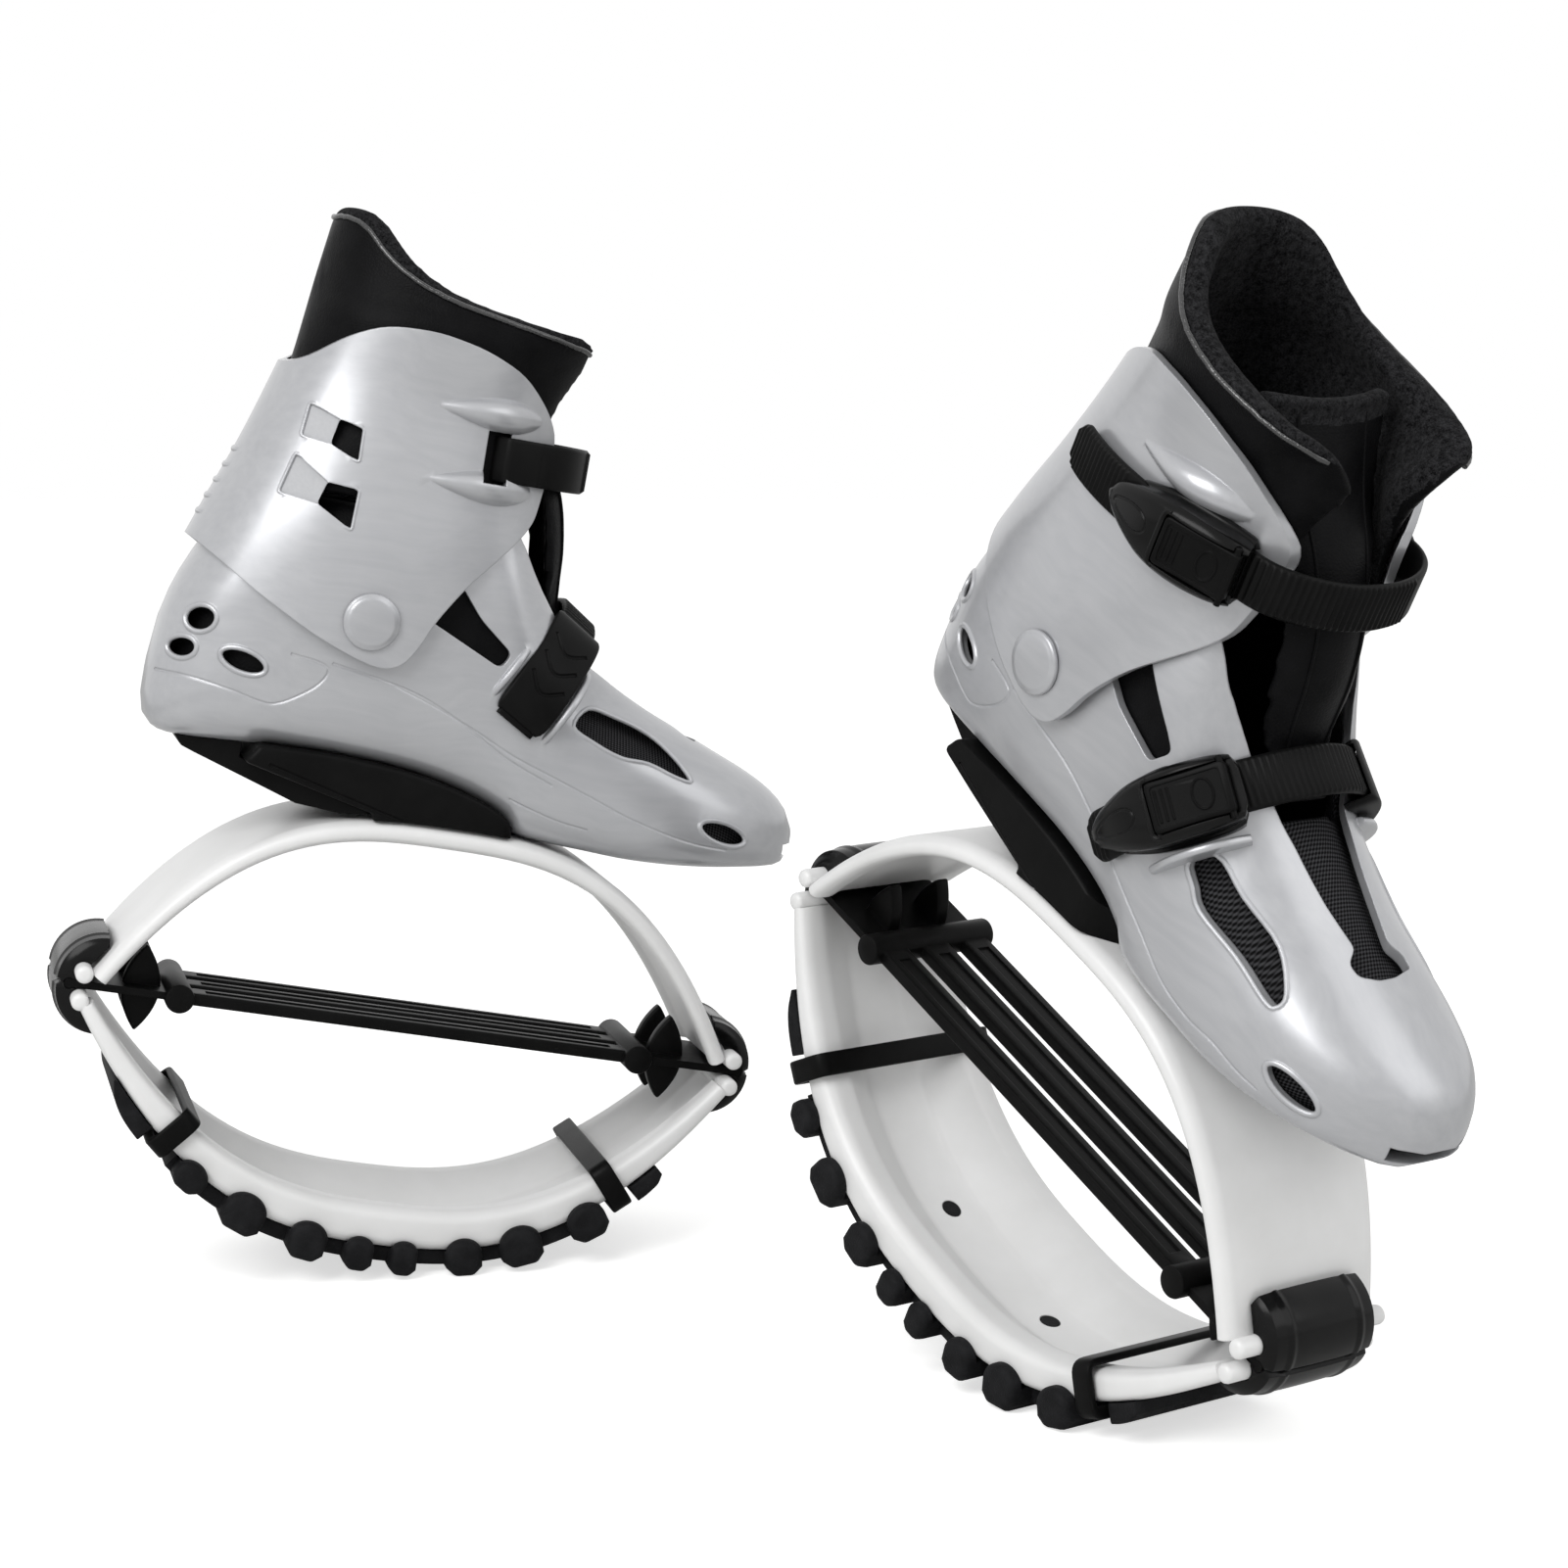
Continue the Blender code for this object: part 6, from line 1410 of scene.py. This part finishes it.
for index in range(3):
    here = line_frame(LINES["lower"], PLATE_START + PLATE_LENGTH / 2 + (index - 1) * 0.0105)
    chevron = [(-0.0035, -0.0092), (0.0035, 0.0000), (-0.0035, 0.0092)]
    line = flowing(chevron, 6, closed=False)
    grooves.append(wire("chevron", laid_from(plate, here, line, -0.0002), 0.0010,
                        closed=False))
carve(plate, *grooves)
carve(plate, shell_form("shell_clearance", -FIT * 2, 56, 0.016), strap_room("lower"))
put(plate, "instep_strap_plate", "boot", "strap_plastic",
    ("lower_strap_plate",))

# %% [markdown]
# ## Soft inner boot
# The inner boot has three padded parts: a foot, a shaft with a thick collar, and a
# tongue. Each starts as a hollow form a little under size, is remeshed into an even
# skin, and is then blown up as cloth under pressure, with a cap on how far it may move.

# %% Padding


def padded(piece, voxel, cap, rounds):
    """Swell a soft form by cloth pressure, by no more than a cap."""
    step = piece.modifiers.new("even_skin", "REMESH")
    step.mode = "VOXEL"
    step.voxel_size = voxel
    step = piece.modifiers.new("smooth", "SMOOTH")
    step.factor = 0.5
    step.iterations = rounds
    settle(piece)
    cloth = piece.modifiers.new("cloth", "CLOTH")
    cloth.settings.use_pressure = True
    cloth.settings.uniform_pressure_force = 4
    cloth.settings.effector_weights.gravity = 0
    for number in range(1, 21):
        bpy.context.scene.frame_set(number)
    graph = bpy.context.evaluated_depsgraph_get()
    swollen = [vertex.co.copy() for vertex in piece.evaluated_get(graph).data.vertices]
    piece.modifiers.clear()
    bpy.context.scene.frame_set(1)
    for vertex, moved in zip(piece.data.vertices, swollen):
        shift = moved - vertex.co
        if shift.length > cap:
            shift *= cap / shift.length
        vertex.co += shift
    step = piece.modifiers.new("fine", "SUBSURF")
    step.levels = 1
    settle(piece)
    print(piece.name, "padded,", len(piece.data.polygons), "faces")
    return piece


def joined(piece, *others):
    """Keep separate closed shells in one piece."""
    work = bmesh.new()
    for one in (piece, *others):
        work.from_mesh(one.data)
    work.to_mesh(piece.data)
    work.free()
    for other in others:
        bpy.data.objects.remove(other)
    return piece


# %% Shaft and collar
TONGUE_ROWS = (
    (0.000, 0.680, 0.42, 0.30, 0.000),
    (0.060, 0.637, 0.47, 0.40, 0.000),
    (0.110, 0.600, 0.54, 0.55, 0.000),
    (0.175, 0.593, 0.61, 0.75, 0.000),
    (0.300, 0.588, 0.66, 1.00, 0.000),
    (0.447, 0.556, 0.68, 1.00, -0.020),
    (0.587, 0.484, 0.76, 1.00, -0.060),
    (0.720, 0.386, 0.90, 1.00, -0.100),
    (0.860, 0.302, 1.00, 0.80, -0.118),
    (0.913, 0.272, 0.98, 0.50, -0.118),
)
TONGUE_HALF = 0.0340
TONGUE_BOW = 0.0100
COLLAR_TOP = ((-0.262, 1.186), (-0.209, 1.193), (-0.160, 1.170), (-0.095, 1.100),
              (-0.010, 1.036), (0.100, 0.994), (0.268, 0.962), (0.477, 0.934), (0.600, 0.922))
COLLAR_FOOT = ((-0.420, 0.345), (0.000, 0.345), (0.280, 0.385), (0.523, 0.415))
COLLAR_FRONT = ((0.415, 0.523), (0.533, 0.523), (0.693, 0.549), (0.827, 0.566), (0.925, 0.562))
COLLAR_PADDING = ((0.290, 0.0058, 0.0058, 0.0058), (0.500, 0.0058, 0.0058, 0.0058),
                  (0.620, 0.0064, 0.0066, 0.0060), (0.750, 0.0084, 0.0118, 0.0064),
                  (0.900, 0.0095, 0.0135, 0.0075), (0.960, 0.0135, 0.0135, 0.0085),
                  (1.080, 0.0130, 0.0130, 0.0105), (1.250, 0.0130, 0.0130, 0.0130))
COLLAR_LEVELS = ((0.870, -0.288, 0.587, 0.858, 0.000), (0.950, -0.277, 0.730, 0.885, -0.065),
                 (1.250, -0.240, 0.775, 0.835, -0.088))
COLLAR_ROWS = [(up, *cuff_sizes(up, CUFF_WALL + 0.0012), 0.0)
               for up in (0.270, 0.340, 0.453, 0.687)]
COLLAR_ROWS += [(up, cuff_x((rear + front) / 2), CUFF_LENGTH * (front - rear) / 2,
                 CUFF_HALF * half, CUFF_HALF * shift)
                for up, rear, front, half, shift in COLLAR_LEVELS]


def collar_spot(angle, up, inset):
    middle, reach, half, shift = between(COLLAR_ROWS, up)
    return Vector((middle + (reach - inset) * signed_power(math.cos(angle), 2 / 2.2),
                   (half - inset) * signed_power(math.sin(angle), 2 / 2.2) + shift,
                   cuff_z(up)))


def tongue_form(name, grow, low=0.0, high=0.913, levels=40):
    rings = []
    for up in spread(low, high, levels):
        ahead, wide, bow, shift = between(TONGUE_ROWS, up)
        front, rear = [], []
        for across in spread(-1, 1, 15):
            x = cuff_x(ahead) - TONGUE_BOW * bow * across * across
            y = (TONGUE_HALF * wide + grow) * across + TONGUE_HALF * shift
            thick = 0.0060 * (1 - 0.30 * across * across)
            front.append((x + grow, y, cuff_z(up)))
            rear.append((x - thick - grow, y, cuff_z(up)))
        rings.append(front + rear[::-1])
    return skin(name, rings)


# %% [markdown]
# The collar is one thick pad, bent round the leg like a letter C. At each angle its
# section runs up the outside, rolls over the rim and comes down the inside. The padding
# is thickest at the rim and in the two front wings, which close round the tongue.

# %% Collar pad
BAND = 0.0056


def evened(values, rounds):
    """Smooth a list of numbers along its length."""
    for step in range(rounds):
        values = [values[0], *((before + 2 * here + after) / 4 for before, here, after
                               in zip(values, values[1:], values[2:])), values[-1]]
    return values


WING_ROOM = ((0.290, 0.0265, 0.0290), (0.560, 0.0265, 0.0290), (0.660, 0.0225, 0.0240),
             (0.820, 0.0185, 0.0190), (1.250, 0.0185, 0.0190))
WING_SHORTER = ((0.290, 0.0), (0.650, 0.0), (0.820, 0.020), (0.930, 0.045), (1.250, 0.045))


def wing_end(side, up):
    """Angle at which a wing ends, on the inner (1) or outer (-1) side."""
    edge = between(COLLAR_FRONT, up)[0]
    if side < 0:
        edge -= between(WING_SHORTER, up)[0]
    room = between(WING_ROOM, up)[side < 0]
    angle = 0.1
    while angle < 1.5 and (collar_spot(angle, up, 0).x > cuff_x(edge)
                           or collar_spot(angle, up, 0).y < room):
        angle += 0.01
    return angle


END_LEVELS = spread(0.290, 1.250, 61)
WING_ENDS = {side: tuple(zip(END_LEVELS, evened([wing_end(side, up) for up in END_LEVELS], 8)))
             for side in (-1, 1)}


def front_angle(side, up):
    return between(WING_ENDS[side], min(max(up, 0.290), 1.250))[0]


def wing_angle(turn, up):
    """Angle for a turn from -1, the outer wing's front edge, to 1, the inner one's."""
    side = 1 if turn > 0 else -1
    return math.pi - turn * (math.pi - front_angle(side, up))


def edge_level(turn, line, start):
    """Height share at which the wall meets a line in the side view."""
    up = start
    for step in range(8):
        share = (collar_spot(wing_angle(turn, up), up, 0).x - PIVOT_X) / CUFF_LENGTH
        up += (between(line, share)[0] - up) * 0.6
    return up


def padding(turn, up):
    outer, inner, back = between(COLLAR_PADDING, up)
    share = min(max((abs(turn) - 0.40) / 0.35, 0), 1)
    share = share * share * (3 - 2 * share)
    end = 1 - 0.35 * max((abs(turn) - 0.93) / 0.07, 0) ** 2
    return (back + ((inner if turn > 0 else outer) - back) * share) * end


turns = spread(-1, 1, 97)
tops = evened([edge_level(turn, COLLAR_TOP, 1.0) for turn in turns], 14)
tops = [top - 0.026 * max((abs(turn) - 0.92) / 0.08, 0) ** 2
        for turn, top in zip(turns, tops)]
rings = []
for turn, top in zip(turns, tops):
    low = edge_level(turn, COLLAR_FOOT, 0.4)
    band = BAND / CUFF_HEIGHT
    rim = padding(turn, top)
    line = [(up, 0.0006) for up in spread(low, top - band, 26)]
    line += [(top - band * 0.62, 0.0012), (top - band * 0.28, rim * 0.20),
             (top - band * 0.06, rim * 0.36), (top, rim * 0.52),
             (top - band * 0.12, rim * 0.70), (top - band * 0.45, rim * 0.88)]
    line += [(up, padding(turn, up)) for up in spread(top - band, low, 26)]
    rings.append([collar_spot(wing_angle(turn, up), up, inset) for up, inset in line])
collar = skin("collar", rings)
padded(collar, 0.0022, 0.0012, 6)

# %% [markdown]
# Leather covers the outside of the shaft. A napped band rolls over the rim and lines the
# inside, and a glossy crinkled piping runs where the two meet.

# %% Rim band and piping
COLLAR_TREE = tree_of(collar)
piping = []
for turn, top in zip(turns, tops):
    up = top - BAND / CUFF_HEIGHT
    angle = wing_angle(turn, up)
    start, deep = collar_spot(angle, up, -0.008), collar_spot(angle, up, 0.010)
    hit, normal, index, distance = COLLAR_TREE.ray_cast(start, (deep - start).normalized())
    if hit and distance < 0.014 and abs(turn) < 0.975:
        piping.append(hit + normal * 0.0004)
piping = [point + Vector((0, 0, noise.noise(point * 260) * 0.0004)) for point in piping]


def on_band(face):
    """Napped faces: everything inside, over the rim and down to the piping."""
    x, y, z = face.center
    up = (z - PIVOT_Z) / CUFF_HEIGHT
    middle, reach, half, shift = between(COLLAR_ROWS, min(max(up, 0.27), 1.25))
    u, v = (x - middle) / reach, (y - shift) / half
    if face.normal.dot(Vector((u / reach, v / half, 0)).normalized()) < 0.05:
        return up > 0.5
    near = min(piping, key=lambda point: (point.x - x) ** 2 + (point.y - y) ** 2)
    return z > near.z


faces_to(collar, 1, on_band)
trim = wire("piping", piping, 0.0012, closed=False)
faces_to(trim, 2, lambda face: True)
joined(collar, trim)
copies = put(collar, "shaft_lining", "cuff", ("liner_leather", "napped_cloth", "glossy_trim"),
             ("liner_shaft",), angle=80)

# %% Foot and tongue
foot = shell_form("foot", 0.0052, 64, 0.014)
carve(foot, block("split_room", (0.3, 0.3, 0.15),
                  Matrix.Translation((0, 0, PIVOT_Z + 0.0510 + 0.15))))
carve(foot, shell_form("foot_room", 0.0102, 48, 0.016))
throat = [row for row in TONGUE_SLOT if row[0] <= 0.645]
throat = ([(shell_x(row[0]), SHELL_HALF * row[1] - FIT) for row in throat]
          + [(shell_x(row[0]), SHELL_HALF * row[2] + FIT) for row in reversed(throat)])
carve(foot, plan_prism("throat", throat, shell_z(0.30), 0.3))
padded(foot, 0.0030, 0.0008, 3)
faces_to(foot, 1, lambda face: face.center.x > 0.030)
copies = put(foot, "foot_lining", "boot", ("liner_leather", "toe_mesh"),
             ("liner_foot",), angle=80)

tongue = tongue_form("tongue", -0.0006)
ahead, wide, bow, shift = between(TONGUE_ROWS, 0.905)
top_edge = [(cuff_x(ahead) - 0.0030 - TONGUE_BOW * bow * across * across,
             TONGUE_HALF * (wide * across * 0.96 + shift), cuff_z(0.900))
            for across in spread(-1, 1, 25)]
weld(tongue, wire("tongue_roll", top_edge, 0.0040, closed=False))
padded(tongue, 0.0019, 0.0010, 4)
faces_to(tongue, 1, lambda face: face.center.z > cuff_z(0.868))
for across in (-0.52, 0.52):
    seam = []
    for up in spread(0.03, 0.90, 60):
        ahead, wide, bow, shift = between(TONGUE_ROWS, up)
        x = cuff_x(ahead) - TONGUE_BOW * bow * across * across
        seam.append((x + 0.0001, TONGUE_HALF * (wide * across + shift), cuff_z(up)))
    joined(tongue, wire("seam", seam, 0.0007, closed=False))
copies = put(tongue, "tongue_pad", ("boot", "cuff", (0, 0, 0.2000), (0, 0, 0.2450)),
             ("liner_leather", "napped_cloth"), ("tongue",), angle=80)

# %% [markdown]
# ## Blocks under the boot
# A wedge fills the space under the heel and a saddle block carries the boot on the
# crown of the spring. They are prisms from side-view outlines with softened edges. The
# saddle has an overlaid panel, set off by a groove.

# %% Wedge and saddle


def sole_line(start, stop, lift, steps=24):
    return [(shell_x(along), shell_z(between(SHELL_ROWS, along)[0]) + lift)
            for along in spread(start, stop, steps)]


def plan_room(name, shares, half, inner):
    outline_here = [(shell_x(along), -half * wide) for along, wide in shares]
    outline_here += [(shell_x(along), half * max(wide, inner))
                     for along, wide in reversed(shares)]
    return plan_prism(name, rounded(outline_here, 0.006, 4), -0.05, 0.25)


SADDLE = ((0.1466, 0.138), (0.345, 0.036), (0.345, -0.030), (0.550, -0.030))
WEDGE = ((0.345, 0.036), (0.300, 0.021), (0.235, 0.028), (0.081, 0.131), (0.062, 0.145),
         (0.049, 0.180))
front = sole_line(0.550, 0.1466, 0.0020)
saddle = side_prism("saddle", shell_outline(SADDLE) + front[:-1], -0.0445, 0.0445)
saddle = bevelled(saddle, 0.0022, 3, 50)
carve(saddle, plan_room("saddle_plan", ((0.140, 0.96), (0.345, 1.00), (0.480, 1.00),
                                        (0.555, 0.30)), 0.0445, 1), operation="INTERSECT")
carve(saddle, shell_form("shell_clearance", -FIT, 56, 0.016),
      arch_form("arch_clearance", 1, FIT, True),
      rod("bolt_room", 0.0043, ((BOLT_PLACE, 0, 0.0857), (BOLT_PLACE, 0, 0.1043))))
panel = flowing([(-0.086, 0.1115), (-0.050, 0.1020), (-0.015, 0.0935), (0.008, 0.0925)], 8,
                closed=False)
for side in (-1, 1):
    groove = on_side(tree_of(saddle), panel, side, -0.0002)
    if len(groove) > 4:
        carve(saddle, wire("panel_line", groove, 0.0009, closed=False))
put(saddle, "saddle_moulding", "boot", "black_plastic", ("saddle_block",))

low = [(x - FIT, z - FIT) for x, z in shell_outline(WEDGE)]
top = [(x - FIT, z) for x, z in sole_line(0.049, 0.1466, 0.0020, 10)]
seam = [(x - FIT, z - FIT) for x, z in shell_outline(SADDLE[:1])]
wedge = bevelled(side_prism("wedge", low + top + seam, -0.0400, 0.0400), 0.0022, 3, 25)
carve(wedge, plan_room("wedge_plan", ((0.030, 0.48), (0.190, 0.70), (0.345, 1.00)), 0.0400, 0),
      operation="INTERSECT")
carve(wedge, shell_form("shell_clearance", -FIT, 56, 0.016))
put(wedge, "wedge_moulding", "boot", "black_plastic", ("heel_wedge",))

# %% [markdown]
# ## Tread
# Eight rubber lugs stand on a thin strip round the lower leaf. Each lug is a pillow:
# a side-view dome, swept across the shoe and rounded on all its edges.

# %% Tread
LUGS = ((-0.594, 0.81, 0.23, 0.82), (-0.424, 1.00, 0.38, 0.96), (-0.225, 0.88, 0.33, 1.00),
        (-0.066, 0.66, 0.22, 1.00), (0.070, 0.63, 0.22, 1.00), (0.2515, 0.83, 0.31, 0.96),
        (0.420, 0.97, 0.39, 0.945), (0.606, 0.92, 0.31, 0.955))
LUG_SCALE = 0.0200


def lug_outline(width, dome, foot):
    """Side view of a lug: flat foot, straight sides and a domed top."""
    half = width / 2
    corner = min(0.0040, half / 2)
    shoulder = half * 0.8 - dome
    points = rounded([(-half, foot - corner), (-half + corner, foot), (half - corner, foot),
                      (half, foot - corner)], 0.0016, 3)[4:-4]
    points = [(-half, foot - corner), *points, (half, foot - corner)]
    for angle in spread(0, math.pi, 19):
        points.append((half * math.cos(angle), shoulder - half * 0.8 * math.sin(angle)))
    return points


def strip(name, start, stop, inner, outers, half):
    """Rubber strip along the outside of the lower leaf."""
    rings = []
    for share in spread(0, 1, 61):
        outer = between([(index / (len(outers) - 1), value)
                         for index, value in enumerate(outers)], share)[0]
        point, normal = arch_line(-1, start + (stop - start) * share)
        profile = rounded([(-half, inner), (half, inner), (half, outer), (-half, outer)],
                          0.0012, 3)
        rings.append([point + normal * rise + Vector((0, across, 0))
                      for across, rise in profile])
    return skin(name, rings)


upright = Matrix.Rotation(-math.pi / 2, 4, "X") @ Matrix.Diagonal((1, -1, 1, 1))
tread = strip("tread", -0.0970, 0.0970, FIT, [0.0075, 0.0075], 0.0400)
for place_share, width, dome, foot in LUGS:
    outline_here = lug_outline(LUG_SCALE * width, LUG_SCALE * dome, 0.0112 * foot)
    lug = plan_prism("lug", outline_here, -0.0515, 0.0515)
    lug = bevelled(lug, 0.0034, 4, 60)
    weld(tread, placed(lug, arch_frame(-1, place_share * SPRING) @ upright))
carve(tread, arch_form("tread_room", -1, FIT, True))
for end in (-1, 1):
    stand = arch_frame(-1, end * PLUG_PLACE)
    depth = arch_depth(-1, PLUG_PLACE) * 0.28
    weld(tread, rod("plug", 0.0042, (stand @ Vector((0, 0, -depth)),
                                     stand @ Vector((0, 0, 0.0037)))))
put(tread, "tread_moulding", "base", "dark_rubber", ("tread",))

for end, name, length, shares in ((-1, "heel", 0.0190, (1.0, 0.98, 0.90, 0.68, 0.22)),
                                  (1, "toe", 0.0110, (1.0, 1.0, 0.96, 0.88, 0.60))):
    pad = strip(name + "_pad", end * 0.1100, end * (0.1100 + length), FIT,
                [0.0085 * share for share in shares], 0.0425)
    put(bevelled(pad, 0.0008, 2, 60), name + "_pad_moulding", "base", "dark_rubber",
        (name + "_pad",))

# %% [markdown]
# A broad ring holds each pad at the end of the tread. It is drawn as a frame in the
# section of the leaf and swept along it, then all its edges are softened.

# %% Clamps
CLAMP_PLACE = 0.1045
section_up = Matrix(((0, 0, 1, 0), (1, 0, 0, 0), (0, 1, 0, 0), (0, 0, 0, 1)))
deep = arch_depth(-1, CLAMP_PLACE) + 0.0010
wide = arch_half(-1, CLAMP_PLACE) + 0.0010


def clamp_ring(side, top, foot, radius):
    return rounded([(-side, -top), (side, -top), (side, foot), (-side, foot)], radius, 6)


for end, name in ((-1, "heel_clamp"), (1, "toe_clamp")):
    outer = clamp_ring(wide + 0.0032, deep + 0.0032, 0.0065, 0.0070)
    inner = clamp_ring(wide, deep, 0.0010, 0.0022)
    ring = plan_prism(name, outer, -0.0050, 0.0050)
    carve(ring, plan_prism("room", inner, -0.02, 0.02))
    ring = bevelled(ring, 0.0010, 3, 60)
    put(placed(ring, arch_frame(-1, end * CLAMP_PLACE) @ section_up), name + "_ring", "base",
        "black_plastic", (name,))

# %% [markdown]
# ## End caps and tension band
# The beads of both leaves lie in a moulded cap at each end. The band between the caps
# has three rails with grooves, cross rods, and fins that keep fingers out.

# %% End caps
for end, name in ((-1, "heel_cap"), (1, "toe_cap")):
    rings = []
    for share in spread(-1, 1, 49):
        swell = 1 - 0.07 * abs(share) ** 3 - 0.16 * max(abs(share) - 0.93, 0) / 0.07
        rib = 0.0006 * (0.62 < abs(share) < 0.70)
        arc = []
        for angle in spread(math.pi / 2, 0, 18):
            arc.append((SPRING - 0.0095 + (0.0213 * swell + rib) * math.cos(angle),
                        0.00155 + (0.02145 * swell + rib) * math.sin(angle)))
        waist = (SPRING + 0.0118 * swell - 0.0024, 0)
        profile = arc + [waist] + [(x, -z) for x, z in reversed(arc)]
        profile += [(SPRING + 0.0020, -0.0031), (SPRING + 0.0020, 0.0031)]
        rings.append([(x, 0.0285 * share, z) for x, z in profile])
    cap = skin(name, rings)
    carve(cap, arch_form("upper_room", 1, FIT, True), arch_form("lower_room", -1, FIT, True))
    plate_room = block("band_room", (0.03, 0.0288, 0.0020),
                       Matrix.Translation((0.1252, 0, 0)))
    carve(cap, plate_room, rod("hook_room", 0.0026, ((0.1552, -0.0288, 0),
                                                     (0.1552, 0.0288, 0))))
    if end < 0:
        placed(cap, Matrix.Rotation(math.pi, 4, "Z"))
        cap.data.update()
    put(cap, name + "_moulding", "band", "buckle_plastic", (name,))

# %% Tension band
ROD = 0.1063
HOOK = 0.1552
HOOK_RADIUS = 0.0023
BAND_HALF = 0.0285
FIN_PLACE = 0.1225
FIN_SIDE = 0.0130
FIN_HALF_THICK = 0.00325
rails = []
for y, half in ((0.0, 0.0070), (0.02175, 0.00675), (-0.02175, 0.00675)):
    rail = block("rail", (ROD, half, 0.0028), Matrix.Translation((0, y, 0)))
    rail = bevelled(rail, 0.0007, 2)
    for face in (-1, 1):
        carve(rail, block("groove", (ROD - 0.012, half * 0.45, 0.0008),
                          Matrix.Translation((0, y, face * 0.0028))))
    rails.append(rail)
band = rails[0]
for end in (-1, 1):
    ending = block("band_end", (0.02445, 0.0285, 0.0017),
                   Matrix.Translation((end * (ROD + 0.02445), 0, 0)))
    rails.append(ending)
    rails.append(rod("hook", HOOK_RADIUS, ((end * HOOK, -BAND_HALF, 0),
                                           (end * HOOK, BAND_HALF, 0))))
    rails.append(bevelled(rod("cross_rod", 0.0066, ((end * ROD, -0.0326, 0),
                                                    (end * ROD, 0.0326, 0)), 32), 0.0009, 2))
    for side in (-1, 1):
        edge = [(0.0086 * (1 - share * share), 0.0200 * share) for share in spread(-1, 1, 21)]
        fin = edge + [(-x, z) for x, z in reversed(edge[1:-1])]
        fin = side_prism("fin", [(x + end * FIN_PLACE, z) for x, z in fin],
                         side * FIN_SIDE - FIN_HALF_THICK, side * FIN_SIDE + FIN_HALF_THICK)
        rails.append(bevelled(fin, 0.0012, 3, 60))
weld(band, *rails[1:])
put(band, "band_moulding", "band", "black_plastic", ("tension_band",))

# %% [markdown]
# ## Camera, light and floor
# The camera stands where the photograph was taken from: a little above the boots,
# looking slightly down through a long lens. The world and two broad lamps give a plain,
# level light, and the floor keeps a soft shadow.

# %% Camera
CAMERA_LENS = 82.2
SENSOR_WIDTH = 36.0
CAMERA_PLACE = (0.0406, -1.4824, 0.4480)
LOOKS_DOWN = 7.966
lens = bpy.data.cameras.new("studio_camera")
lens.lens = CAMERA_LENS
lens.sensor_width = SENSOR_WIDTH
camera = bpy.data.objects.new("studio_camera", lens)
bpy.context.scene.collection.objects.link(camera)
camera.location = CAMERA_PLACE
camera.rotation_euler = (math.radians(90 - LOOKS_DOWN), 0, 0)
bpy.context.scene.camera = camera

# %% World, lamps and floor
scene = bpy.context.scene
scene.view_settings.view_transform = "Standard"
world = bpy.data.worlds.new("studio")
scene.world = world
world.use_nodes = True
tree = world.node_tree
tree.nodes.clear()
start = Wire(tree)
path = start.node("ShaderNodeLightPath", {}, {}, "Is Camera Ray")
seen = path.socket.node.outputs
bright = start.maths("MAXIMUM", Wire(tree, seen["Is Camera Ray"]),
                     start.maths("MAXIMUM", Wire(tree, seen["Is Glossy Ray"]),
                                 Wire(tree, seen["Is Transmission Ray"])))
strength = 0.50 + bright * 0.50
ground_light = start.node("ShaderNodeBackground", {}, {"Color": (1, 1, 1, 1),
                                                       "Strength": strength}, "Background")
out = tree.nodes.new("ShaderNodeOutputWorld")
tree.links.new(ground_light.socket, out.inputs["Surface"])

for name, place, aim, size, power in (
        ("key", (-0.9, -1.4, 1.6), (0, 0, 0.25), 1.2, 26.0),
        ("fill", (1.5, -0.9, 1.3), (0, 0, 0.25), 1.4, 8.0)):
    light = bpy.data.lights.new(name, "AREA")
    light.shape = "SQUARE"
    light.size = size
    light.energy = power
    lamp = bpy.data.objects.new(name, light)
    scene.collection.objects.link(lamp)
    lamp.location = place
    lamp.rotation_euler = (Vector(aim) - Vector(place)).to_track_quat("-Z", "Y").to_euler()

floor_material = bpy.data.materials.new("pale_floor")
floor_material.use_nodes = True
tree = floor_material.node_tree
tree.nodes.clear()
start = Wire(tree)
matte = start.node("ShaderNodeBsdfDiffuse", {}, {"Color": (0.85, 0.85, 0.84, 1)}, "BSDF")
path = start.node("ShaderNodeLightPath", {}, {}, "Is Camera Ray")
glow = start.node("ShaderNodeEmission", {}, {"Color": (1, 1, 1, 1),
                                             "Strength": path * 0.62}, "Emission")
both = start.node("ShaderNodeAddShader", {}, {0: matte, 1: glow}, 0)
out = tree.nodes.new("ShaderNodeOutputMaterial")
tree.links.new(both.socket, out.inputs["Surface"])
FLOOR_SIZE = 6.0
floor = solid("floor", [(-FLOOR_SIZE, -FLOOR_SIZE, 0), (FLOOR_SIZE, -FLOOR_SIZE, 0),
                        (FLOOR_SIZE, FLOOR_SIZE, 0), (-FLOOR_SIZE, FLOOR_SIZE, 0)],
              [(0, 1, 2, 3)])
floor.data.materials.append(floor_material)

# %% Dress the model's own solids that stay
KEPT = ("silver_plastic", "white_nylon", "black_plastic", "dark_rubber", "strap_plastic",
        "liner_leather", "bolt_steel")
for node in frame["nodes"].values():
    for held in node.material_slots:
        base = held.material.name.split(".")[0]
        if base in KEPT:
            held.material = FINISHES[base]
